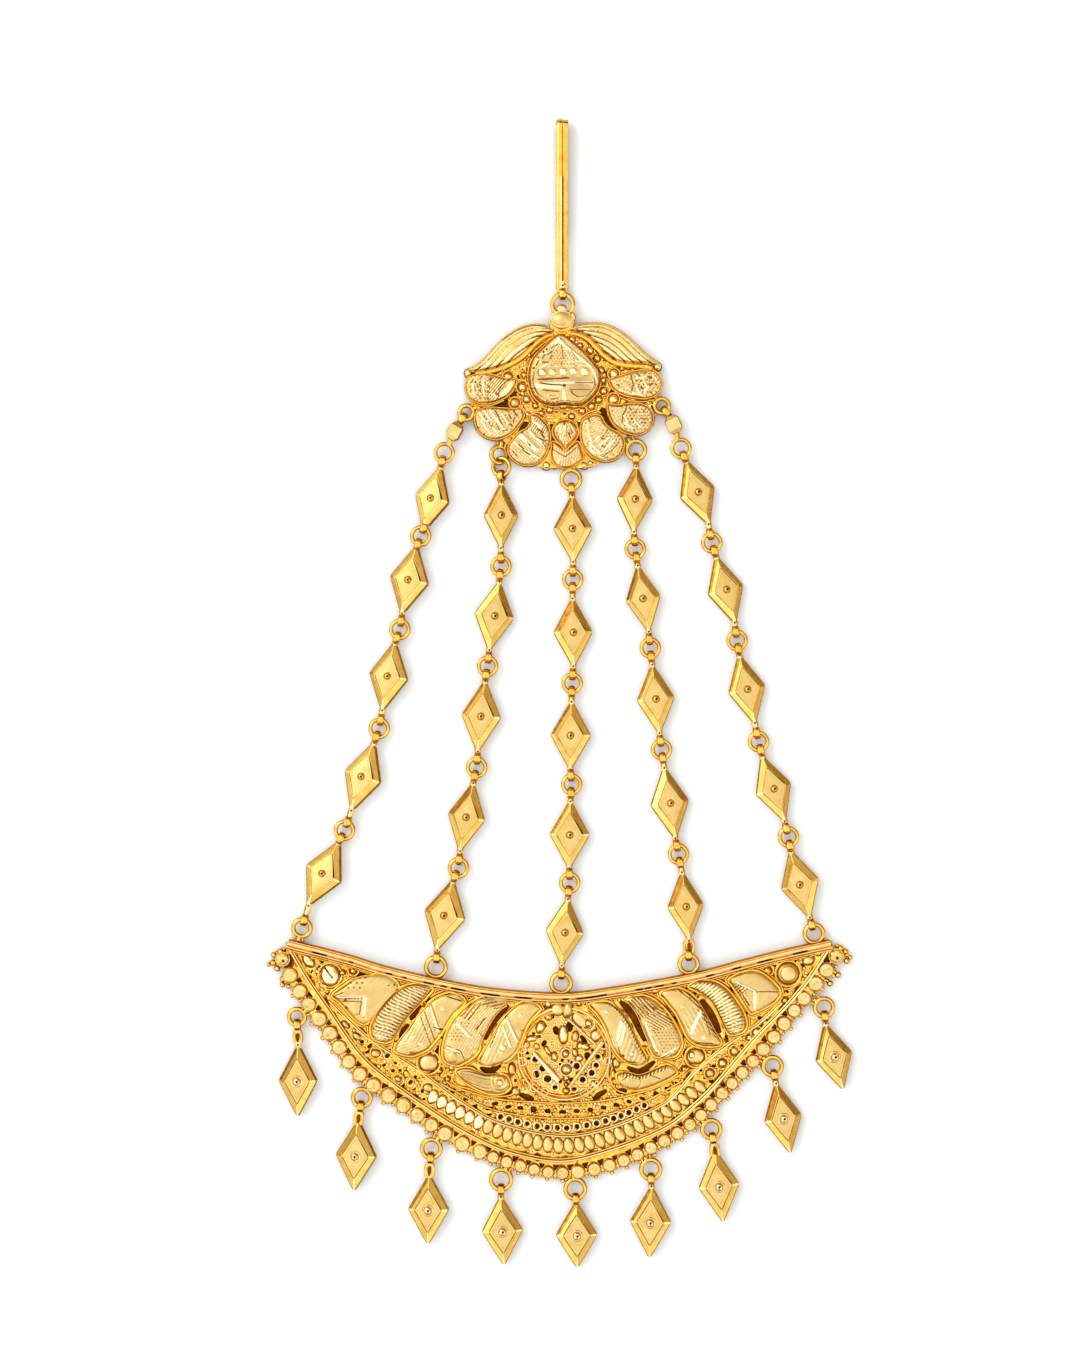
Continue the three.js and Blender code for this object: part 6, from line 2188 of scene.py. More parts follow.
# the inner rail stops where it meets the outer one
apart = inner_rail[distance_to(inner_rail, outer_rail, False) > 0.46]
for r in LOWER_RAILS:
    line = (outer_rail, apart)[int(r["rail"])]
    if r["side"] < 0:
        h = (r["top"] - r["base"]) / 2
        rails.sweep(raised(line, r["base"] + h), [(-r["half"], -h), (-r["half"], h), (r["half"], h), (r["half"], -h)], finish=F_PAINTED_LINE_SHADE)
    rails.wire(raised(offset(line, r["side"]), r["z"]), r["wire"], 10, finish=int(r["finish"]))
rails.piece("crescent_rails", FINISHES, "crescent", "granulated_gold", 40)

# ---- the fringe of studs
fringe = Form()
STUD_PROFILE = table("""
r      z     finish
0      0.10  2
0.90   0.10  2
0.95   0.20  2
0.95   0.86  2
0.97   0.95  2
0.95   1.04  2
0.92   1.06  2
0.89   1.03  2
0.87   1.12  0
0.86   1.34  0
0.81   1.45  0
0.70   1.50  0
0      1.49  0
""")
profile = columns(STUD_PROFILE, "r", "z")
cap_spread = np.random.default_rng(31)


def beaten_cap(form, p, r, number):
    """A stud's flat cap, its top cut into uneven facets in the paler cap gold, a few painted as glints and a few as
    half shade.
    """
    around = 9 + number % 3
    a = np.arange(around) / around * 2 * math.pi + number * 0.7
    rows = [(1.0, 1.02, 0.0), (0.98, 1.34, 0.02), (0.84, 1.47, 0.03), (0.46, 1.50, 0.06)]
    verts = []
    for share, z, jitter in rows:
        for angle in a + 0.3 * (share < 0.5):
            w = r * share * (1 + cap_spread.uniform(-1, 1) * jitter * 1.2)
            verts.append((p[0] + w * math.cos(angle), p[1] + w * math.sin(angle), z + cap_spread.uniform(-1, 1) * jitter))
    verts.append((p[0] + cap_spread.uniform(-0.1, 0.1), p[1] + cap_spread.uniform(-0.1, 0.1), 1.50))
    verts.append((p[0], p[1], 1.0))
    faces, marks = [], []
    for row in range(3):
        for m in range(around):
            m2 = (m + 1) % around
            q = [row * around + m, row * around + m2, (row + 1) * around + m2, (row + 1) * around + m]
            if row < 2:
                faces.append(q)
                marks.append(F_CAP)
            else:
                faces += [[q[0], q[1], q[2]], [q[0], q[2], q[3]]]
                marks += [F_CAP, F_PAINTED_LIGHT if m % 4 == number % 4 else F_CAP]
    last = 3 * around
    for m in range(around):
        m2 = (m + 1) % around
        faces.append([last + m, last + m2, 4 * around])
        marks.append(F_PAINTED_HALF_SHADE if (m + number) % 5 == 0 else F_CAP)
        faces.append([m2, m, 4 * around + 1])
        marks.append(F_CAP)
    form.facets(verts, faces, marks)


for i, (p, n) in enumerate(zip(STUDS, stud_out)):
    if i in (0, len(STUDS) - 1):
        continue
    # each stud is as large as the room between its neighbours
    room = (np.hypot(*(STUDS[i + 1] - p)) + np.hypot(*(STUDS[i - 1] - p))) / 2
    k = float(np.clip(0.425 * room, 0.70, 1.0)) / 0.87
    fringe.turn([tuple(r) for r in profile[:9]] + [(0, 1.0)], (*p, 0), 20, stretch=(k, k), finish=F_WIRE)
    beaten_cap(fringe, p, 0.87 * k, i)
    out = p + n * (0.25 + 0.87 * k)
    fringe.grain((*out, 0.66), 0.31, 5, 10, finish=F_POLISHED)
    if i + 1 < len(STUDS):
        m = (p + STUDS[i + 1]) / 2
        d = n + stud_out[i + 1]
        d /= np.hypot(*d)
        fringe.grain((*(m + d * 0.78), 0.62), 0.27, 5, 10, finish=F_POLISHED)
        # a small granule painted light
        fringe.grain((*(m - d * 0.16), 1.02), 0.16, 4, 8, finish=F_PAINTED_LIGHT)
fringe.piece("crescent_stud_fringe", FINISHES, "crescent", "granulated_gold", 30)

# ---- leaves
RIBS = {"pitch": 0.45, "bend": 0.07, "sag": 0.10, "deep": 0.15}
leaves = Form()
for name, (a, b) in leaf_edges.items():
    number = LEAF_NUMBER[name]
    rise, marks = worked(number, CUT_LINES, ROUNDELS, HATCHES, STIPPLES)
    ribbed = name.startswith("ribbed")
    low_leaf = name.startswith("lower")
    top = 1.55 if low_leaf else 1.80
    dome_rise = 0.20 if low_leaf else 0.22

    def height(s, t, u, v, x, y):
        z = top + dome_rise * (1 - v * v) + 0.24 * (1 - np.abs(v) ** 9) * (1 - np.abs(2 * u - 1) ** 12)
        soften = soft((1 - np.abs(v)) * 7) * soft(u * 14) * soft((1 - u) * 14)
        if ribbed:
            bend = RIBS["bend"] * np.sin(2.3 * t + 0.8) + RIBS["sag"] * np.abs(v) ** 2
            z = z + RIBS["deep"] * np.abs(wave((s + bend) / (2 * RIBS["pitch"]))) ** 0.8 * soften * (1.0 - 0.5 * (u > 0.90))
            z = z + 0.03 * wave((t + 0.4 * s) / 0.5) * soften * (u > 0.8)
        if name == "lower_left_shell":
            d = np.hypot(x - -7.97, y - -50.65)
            z = z + np.where(x > -7.97 - 1.2, 0.05 * wave(d / 0.52), 0.05 * wave(v * 2.6 + 0.25 * s)) * soften
        return z + rise(u, v, x, y) * soften

    # painted light and shade: rib crests painted as highlights, rib troughs in the deeper orange and, near the rib
    # ends, as shade
    def paint(s, t, u, v, x, y):
        out = marks(x, y, F_LEAF, u, v)
        if ribbed:
            bend = RIBS["bend"] * np.sin(2.3 * t + 0.8) + RIBS["sag"] * np.abs(v) ** 2
            crest = np.abs(wave((s + bend) / (2 * RIBS["pitch"])))
            ends = np.abs(np.abs(v) - 0.62 - 0.12 * np.sin(7 * s)) < 0.20
            out = np.where((crest > 0.80) & (np.abs(v) < 0.62), F_PAINTED_HIGHLIGHT, F_LEAF)
            out = np.where((crest < 0.30) & ends, F_PAINTED_LINE_SHADE, np.where(crest < 0.16, F_WIRE, out))
            out = np.where((np.abs(v) > 0.90) | (u < 0.03) | (u > 0.97), F_LEAF, out)
        return out

    leaves.relief(a, b, 0.3, height, 0, 44, F_WIRE, paint)
leaves.piece("crescent_leaves", FINISHES, "crescent", "granulated_gold", 50)

collets = Form()


def beside_slit(line, reach):
    """1 where a line comes near a slit and 0 elsewhere, with soft ends."""
    gap = np.min([distance_to(line, s) * np.where(inside(line, s), 0, 1) for s in slit_loops], axis=0)
    near = soft((reach - gap) / (reach * 0.5))
    return np.maximum.reduce([np.roll(near, k) for k in (-1, 0, 1)])


for name, loop in leaf_loops.items():
    low_leaf = name.startswith("lower")
    lift = -0.22 if low_leaf else 0.0
    near = beside_slit(offset(loop, -0.30, True), 0.42)
    collets.wire(raised(offset(loop, -0.17 + 0.17 * near, True), 1.72 + lift - 0.1 * near), 0.20, 8, closed=True, finish=F_WIRE, grow=1 - 0.3 * near)
    if not low_leaf:
        near = beside_slit(offset(loop, -0.46, True), 0.42)
        collets.wire(raised(offset(loop, -0.48 + 0.68 * near, True), 1.42), 0.17, 8, closed=True, finish=F_WIRE)

for wire_radius, z, finish, rows in BAND_WIRES:
    collets.wire(raised(spline(columns(rows, "x", "y"), 60), z), wire_radius, 8, finish=finish)

# ---- rosette, its hole walls painted as shade and its outer rim wire painted light
around_full = np.arange(96) / 96 * 2 * math.pi
rosette_plate = Form()
rosette_holes = []
for r in ROSETTE_OPENINGS:
    loop = oval(r["x"], r["y"], r["rx"] * 1.12, r["ry"] * 1.12, -r["turn"], 9, 0.85)
    if all(distance_to(loop, other).min() > 0.07 for other in rosette_holes) and in_rosette(loop, -0.3).all():
        rosette_holes.append(loop)
disc = rosette_at + np.column_stack([np.cos(around_full), np.sin(around_full)]) * ROSETTE["radius"]


def rosette_height(x, y):
    d = np.hypot(x - ROSETTE["x"], y - ROSETTE["y"]) / ROSETTE["radius"]
    return 1.32 + 0.34 * (1 - d ** 2) + (ground_height(x, y) - WEB_TOP) * 0.7


rosette_plate.plate(disc, 0.3, rosette_height, holes=rosette_holes, step=0.24, finish=F_PAINTED_SHADE, top_finish=F_GROUND)
for radius, z, w, f in ((5.99, 1.62, 0.20, F_PAINTED_LIGHT), (5.54, 1.62, 0.15, F_WIRE)):
    line = rosette_at + np.column_stack([np.cos(around_full), np.sin(around_full)]) * radius
    rosette_plate.wire(raised(line, z), w, 8, closed=True, finish=f)
rosette_plate.piece("crescent_rosette", FINISHES, "crescent", "granulated_gold", 40)

for r in RINGLETS:
    inner_ring = in_rosette(np.array([[r["x"], r["y"]]]), 0.0)[0]
    # in the rosette the rings are thicker and painted light
    collets.ring((r["x"], r["y"], r["z"] + 0.06 * inner_ring), r["r"], r["tube"] * (1.3 if inner_ring else 1.1), 22, 8, finish=F_PAINTED_LIGHT if inner_ring else int(r["finish"]))
for r in CHAIN_RINGS:
    # each ring of the ring-chain: its upper wire painted light
    collets.ring((r["x"], r["y"], 1.34), r["r"], 0.145, 18, 8, finish=F_PAINTED_LIGHT)
    collets.ring((r["x"], r["y"], 1.10), r["r"] + 0.10, 0.13, 18, 6, finish=F_WIRE)
for r in BARS:
    d = np.array([r["bx"] - r["ax"], r["by"] - r["ay"]])
    n = np.array([-d[1], d[0]]) / np.hypot(*d)
    k = 12
    t = np.linspace(0, 1, k)[:, None]
    half = (r["left"] + (r["right"] - r["left"]) * t) / 2
    mid = np.array([r["ax"], r["ay"]]) + d * t
    top = r["z"]
    collets.relief(mid + n * half, mid - n * half, 1.2, lambda s, tt, u, v, x, y: top - 0.16 * np.abs(v) ** 2, 0, 8, int(r["finish"]))
collets.piece("crescent_collets_and_wires", FINISHES, "crescent", "granulated_gold", 50)

# ---- domes, beads and granules
bosses = Form()
for r in DOMES:
    dome(bosses, r)
bead_line = spline(columns(BEAD_LINE, "x", "y"), 400)
places = even(bead_line, BEADS["count"])
n = tangents(places)
for i, (p, d) in enumerate(zip(places, n)):
    turn = math.atan2(d[1], d[0]) + 0.12
    a = np.linspace(0, math.pi / 2, 7)
    form_profile = [(0, 0.3), (1.0, 0.3), (1.0, BEADS["foot"])] + \
                   [(math.cos(v) ** 0.72, BEADS["foot"] + BEADS["rise"] * math.sin(v)) for v in a[1:-1]] + [(0, BEADS["foot"] + BEADS["rise"])]
    fit = 1.0 if 4 < i < BEADS["count"] - 5 else 0.92
    # the first six beads, at the left where the light falls, are painted as highlights, the rest in the paler cap gold
    bosses.turn(form_profile, (*p, 0), 18, stretch=(BEADS["half_wide"], BEADS["half_long"] * fit), heading=turn,
                finish=F_PAINTED_HIGHLIGHT if i < 6 else F_CAP)
    side = np.array([-d[1], d[0]])
    between = (p + places[i + 1]) / 2 if i + 1 < len(places) else p + d * 0.66
    # between the beads, the granule on one side is painted light
    bosses.grain((*(between - side * 1.08), 1.13), 0.20, 4, 8, finish=F_PAINTED_LIGHT)
    bosses.grain((*(between + side * 1.04), 1.16), 0.16, 4, 8, finish=F_POLISHED)

covered = list(leaf_loops.values())


def open_ground(p):
    """Where the ground is bare: off the leaves, the rosette, the domes, the openings and the beads."""
    keep = inside(p, ground_outline) & (distance_to(p, ground_outline) > 0.34)
    for loop in covered:
        keep &= ~inside(p, loop)
    for loop in covered:
        near = np.hypot(*(p - loop.mean(0)).T) < 9
        q = np.full(len(p), 9.0)
        q[near] = distance_to(p[near], loop)
        keep &= q > 0.62
    keep &= ~in_rosette(p, 0.34)
    for r in DOMES:
        keep &= np.hypot(p[:, 0] - r["x"], p[:, 1] - r["y"]) > max(r["rx"], r["ry"]) + 0.16
    for loop in openings + slit_loops:
        near = np.hypot(*(p - loop.mean(0)).T) < 5
        q = np.full(len(p), 9.0)
        q[near] = distance_to(p[near], loop)
        keep &= (q > 0.17) & ~inside(p, loop)
    for r in CHAIN_RINGS:
        keep &= np.hypot(p[:, 0] - r["x"], p[:, 1] - r["y"]) > r["r"] + 0.16
    keep &= distance_to(p, inner_rail, False) > 0.5
    keep &= (distance_to(p, bead_line, False) > 1.35) | (p[:, 0] < bead_line[0, 0] - 0.6) | (p[:, 0] > bead_line[-1, 0] + 0.6)
    return keep


low_corner, high_corner = ground_outline.min(0), ground_outline.max(0)
places, spread = scatter(0.52, 7, open_ground, (low_corner[0], high_corner[0], low_corner[1], high_corner[1]))
size = spread.uniform(0.17, 0.27, len(places))
# granules in three golds at random, some painted light
kind = spread.choice([F_POLISHED, F_PAINTED_LIGHT, F_WIRE], len(places), p=[0.45, 0.3, 0.25])
for p, r, f in zip(places, size, kind):
    bosses.grain((*p, WEB_TOP + 0.10 + r * 0.2), r, 4, 7, finish=int(f))


def rosette_bare(p):
    keep = in_rosette(p, -0.75)
    for r in DOMES:
        keep &= np.hypot(p[:, 0] - r["x"], p[:, 1] - r["y"]) > max(r["rx"], r["ry"]) + 0.10
    for loop in rosette_holes:
        keep &= (distance_to(p, loop) > 0.12) & ~inside(p, loop)
    for r in RINGLETS:
        keep &= np.abs(np.hypot(p[:, 0] - r["x"], p[:, 1] - r["y"]) - r["r"]) > 0.20
    for r in BARS:
        keep &= from_segment(p[:, 0], p[:, 1], (r["ax"], r["ay"]), (r["bx"], r["by"])) > 0.42
    return keep


places, spread = scatter(0.42, 9, rosette_bare, (rosette_at[0] - 6, rosette_at[0] + 6, rosette_at[1] - 6, rosette_at[1] + 6))
for p, r in zip(places, spread.uniform(0.14, 0.22, len(places))):
    z = float(rosette_height(np.array([p[0]]), np.array([p[1]]))[0])
    bosses.grain((*p, z + 0.05), r, 4, 7, finish=F_PAINTED_LIGHT)
bosses.piece("crescent_bosses_and_granules", FINISHES, "crescent", "granulated_gold", 40)

# ---- the tips' clusters and the bails
tips = Form()
# Granules and knobs at the crescent's two tips.
TIP_KNOBS = table("""
x  y  r  z  finish
-36.39  -34.84  1.02  0.95  0
-35.45  -37.01  0.94  0.95  0
-36.67  -33.87  0.44  0.8  1
-37.57  -34.31  0.39  0.75  1
-37.62  -35.33  0.44  0.75  1
-38.22  -35.57  0.31  0.7  1
-37.12  -36.09  0.42  0.75  1
-36.39  -37.45  0.42  0.75  1
-36.42  -38.21  0.37  0.7  1
-35.63  -38.44  0.31  0.7  1
-35.63  -33.97  0.44  0.9  1
-35.61  -32.95  0.42  1.1  1
35.97  -34.44  1.07  0.95  0
37.36  -35.1  0.42  0.75  1
36.55  -33.42  0.42  0.75  1
37.2  -33.87  0.39  0.75  1
36.25  -36.93  0.42  0.75  1
35.2  -38.05  0.42  0.75  1
37.83  -34.63  0.31  0.7  1
35.29  -33.35  0.44  0.95  1
35.08  -32.72  0.39  1.1  1
""")
KNOB_FOOT = table("""
r     z
0     0.10
0.92  0.10
1.00  0.30
1.00  0.90
0.95  1.04
0.88  1.06
0     1.00
""")
KNOB_TOP = table("""
r     z
0     1.00
0.86  1.04
0.84  1.20
0.72  1.33
0.36  1.40
0     1.41
""")
for r in TIP_KNOBS:
    if r["r"] > 0.7:
        tips.turn(columns(KNOB_FOOT, "r", "z"), (r["x"], r["y"], 0), 18, stretch=(r["r"], r["r"]), finish=F_WIRE)
        tips.turn(columns(KNOB_TOP, "r", "z"), (r["x"], r["y"], 0), 9, start=0.3, stretch=(r["r"], r["r"]), finish=F_CAP)
        for k in range(7):
            a = k * 0.9 + 0.4
            tips.grain((r["x"] + math.cos(a) * r["r"] * 0.55, r["y"] + math.sin(a) * r["r"] * 0.55, 1.32), 0.20, 4, 8, finish=F_CAP)
        # a drilled hole, painted inside as shade
        tips.turn(columns(DRILLED, "r", "z") * (1.5, 1), (r["x"] + 0.10, r["y"] - 0.22, 1.42), 10, finish=F_PAINTED_SHADE)
    else:
        tips.grain((r["x"], r["y"], r["z"]), r["r"], 6, 12, finish=int(r["finish"]))
        tips.wire([(r["x"], r["y"], 0.5), (*(np.array([r["x"], r["y"]]) * 0.985 + np.array([0, -0.1])), 0.5)], 0.26, 8, finish=F_WIRE)


def footed_bail(form, ring, away):
    """A soldered ring with two small feet that flare towards what it stands on."""
    jump_ring(form, ring, F_POLISHED)
    c = np.array([ring["x"], ring["y"]])
    away = np.array(away, float) / np.hypot(*away)
    side = np.array([-away[1], away[0]])
    foot = c - away * (ring["radius"] + 0.55)
    for s in (-1, 1):
        start = c - away * ring["radius"] * 0.86 + side * s * ring["radius"] * 0.5
        end = foot + side * s * 0.62
        form.wire(np.array([(*start, ring["z"]), (*((start * 0.45 + end * 0.55) - side * s * 0.06), ring["z"]), (*end, ring["z"] - 0.05)]), 0.20, 8, finish=F_POLISHED)
    form.wire(np.array([(*(c - away * ring["radius"]), ring["z"]), (*foot, ring["z"])]), 0.30, 10, finish=F_POLISHED)


def nearest(line, p):
    return line[np.argmin(np.hypot(*(line[:, :2] - p).T))][:2]


for chain in CHAINS:
    ring = chain["end_ring"]
    p = np.array([ring["x"], ring["y"]])
    footed_bail(tips, ring, p - nearest(top_rail, p))
for d in DROPS:
    ring = d["bail"]
    p = np.array([ring["x"], ring["y"]])
    footed_bail(tips, ring, p - nearest(stud_line, p))
tips.piece("crescent_tips_and_bails", FINISHES, "crescent", "granulated_gold", 40)

# ---------------------------------------------------------------- top ornament

ORNAMENT_DISC = {"x": 0.33, "y": 40.2, "radius": 7.2, "high": 0.4}
ORNAMENT_GROUND_TOP = 1.02

# The ground between the ornament's petals, wings and medallion.
ORNAMENT_GROUND = table("""
x  y
-11.11  41.76
-7.97  42.94
-5.1  44.25
-3.01  46.34
-1.18  47.78
1.83  47.78
3.79  46.34
5.62  44.25
7.97  43.2
11.9  42.68
12.42  40.59
11.76  38.1
11.5  35.88
10.33  34.18
8.24  33.27
7.58  31.31
5.62  30.39
3.79  29.48
-1.96  29.35
-3.79  29.87
-5.88  30.52
-6.8  32.09
-7.97  33.27
-10.07  34.18
-10.85  36.14
-11.5  37.84
-11.9  39.8
""")

# Outlines of the six petals, root and tip as they come.
PETALS = {
    "petal_left_1": table("""
        x  y
        -12.5  39.76
        -12.34  40.78
        -11.61  41.44
        -10.46  41.71
        -9.14  41.58
        -7.45  41.14
        -5.78  40.85
        -6.08  39.74
        -6.67  38.89
        -7.91  38.1
        -9.35  37.69
        -10.9  37.76
        -12.08  38.5
    """),
    "petal_left_2": table("""
        x  y
        -11.32  35.95
        -10.88  36.85
        -9.67  37.27
        -7.97  37.22
        -6.31  37.11
        -5.18  37.11
        -4.78  36.12
        -5.39  34.99
        -6.31  33.93
        -7.45  33.22
        -8.63  32.95
        -10.13  33.4
        -11.08  34.5
    """),
    "petal_left_3": table("""
        x  y
        -4.13  36.27
        -3.2  36.3
        -2.43  35.75
        -1.62  34.71
        -1.33  33.33
        -1.65  31.7
        -2.54  30.26
        -3.97  29.58
        -5.49  29.79
        -6.69  30.78
        -6.98  31.91
        -6.48  32.93
        -5.54  33.97
        -4.44  34.63
        -4.1  35.36
    """),
    "petal_right_1": table("""
        x  y
        6.2  40.82
        6.99  41.16
        8.04  41.5
        9.41  41.95
        11.05  42.24
        12.34  41.95
        13.15  40.93
        13.1  39.67
        12.29  38.71
        10.98  38.31
        9.28  38.5
        7.65  38.99
        6.64  39.75
    """),
    "petal_right_2": table("""
        x  y
        6.04  37.66
        7.32  37.58
        8.82  37.76
        10.39  37.76
        11.56  37.16
        12.1  36.04
        11.82  34.76
        10.85  33.82
        9.59  33.56
        8.17  33.97
        6.93  34.89
        6.22  36.09
    """),
    "petal_right_3": table("""
        x  y
        2.69  35.41
        3.5  36.01
        4.5  36.33
        5.28  36.09
        5.7  35.28
        6.54  34.47
        7.66  33.87
        8.29  32.88
        8.08  31.49
        7.11  30.42
        5.62  30.13
        4  30.76
        2.9  32.07
        2.47  33.71
    """),
}
PETAL_NUMBER = {name: i + 1 for i, name in enumerate(PETALS)}

# The two feathered wings: outline, and the outer edge from the middle to the tip.
WINGS = {
    "wing_left": {
        "outline": table("""
            x  y
            -0.78  47.52
            -1.96  47.99
            -3.53  48.14
            -5.23  47.75
            -6.73  46.92
            -8.17  45.76
            -9.35  44.46
            -10.65  43.15
            -12.22  42.1
            -11.37  41.79
            -9.75  41.95
            -8.1  42.37
            -6.54  42.99
            -5.18  43.83
            -4.13  44.85
            -3.08  45.9
            -1.83  46.68
            -0.92  46.94
        """),
        "edge": table("""
            x  y
            -0.65  47.73
            -1.96  47.99
            -3.53  48.14
            -5.23  47.75
            -6.73  46.92
            -8.17  45.76
            -9.35  44.46
            -10.65  43.15
            -12.22  42.1
        """),
        "inner": table("""
            x  y
            -1.05  46.92
            -2.09  46.58
            -3.22  45.82
            -4.13  44.88
            -5.18  43.93
            -6.61  43.05
            -8.18  42.39
            -9.75  42
            -11.19  41.84
        """),
    },
    "wing_right": {
        "outline": table("""
            x  y
            1.05  47.65
            2.16  48.07
            3.79  48.35
            5.42  48.27
            6.99  47.73
            8.63  46.68
            10  45.4
            11.44  44.04
            12.75  43.1
            12.29  42.6
            10.85  42.89
            9.02  42.89
            7.4  43.12
            6.01  43.88
            4.89  45.03
            3.71  46.26
            2.29  46.92
            1.18  47.07
        """),
        "edge": table("""
            x  y
            0.92  47.59
            2.16  48.07
            3.79  48.35
            5.42  48.27
            6.99  47.73
            8.63  46.68
            10  45.4
            11.44  44.04
            12.75  43.1
        """),
        "inner": table("""
            x  y
            1.18  47.05
            2.35  46.84
            3.66  46.18
            4.78  45.08
            5.88  43.99
            7.19  43.2
            8.76  42.86
            10.46  42.78
            11.9  42.55
        """),
    },
}
WING_RIBS = {"first": 0.63, "pitch": 0.71, "deep": 0.22}

# The part of the left wing's outer edge where the ground between its beads is painted dark as shade.
WING_TICKS = {"middle": -4.84, "half": 2.75}

MEDALLION = table("""
x  y
-0.2  46.6
-2.09  45.1
-3.66  43.33
-4.12  41.37
-3.79  39.48
-2.88  38.17
-1.07  37.53
0.44  37.66
2.39  37.56
3.79  38.37
4.8  39.74
5.02  41.56
4.39  42.68
2.93  44.35
1.39  45.69
""")
MEDALLION_TOP = {"edge": 2.15, "crown": 2.74, "slope": 0.42}

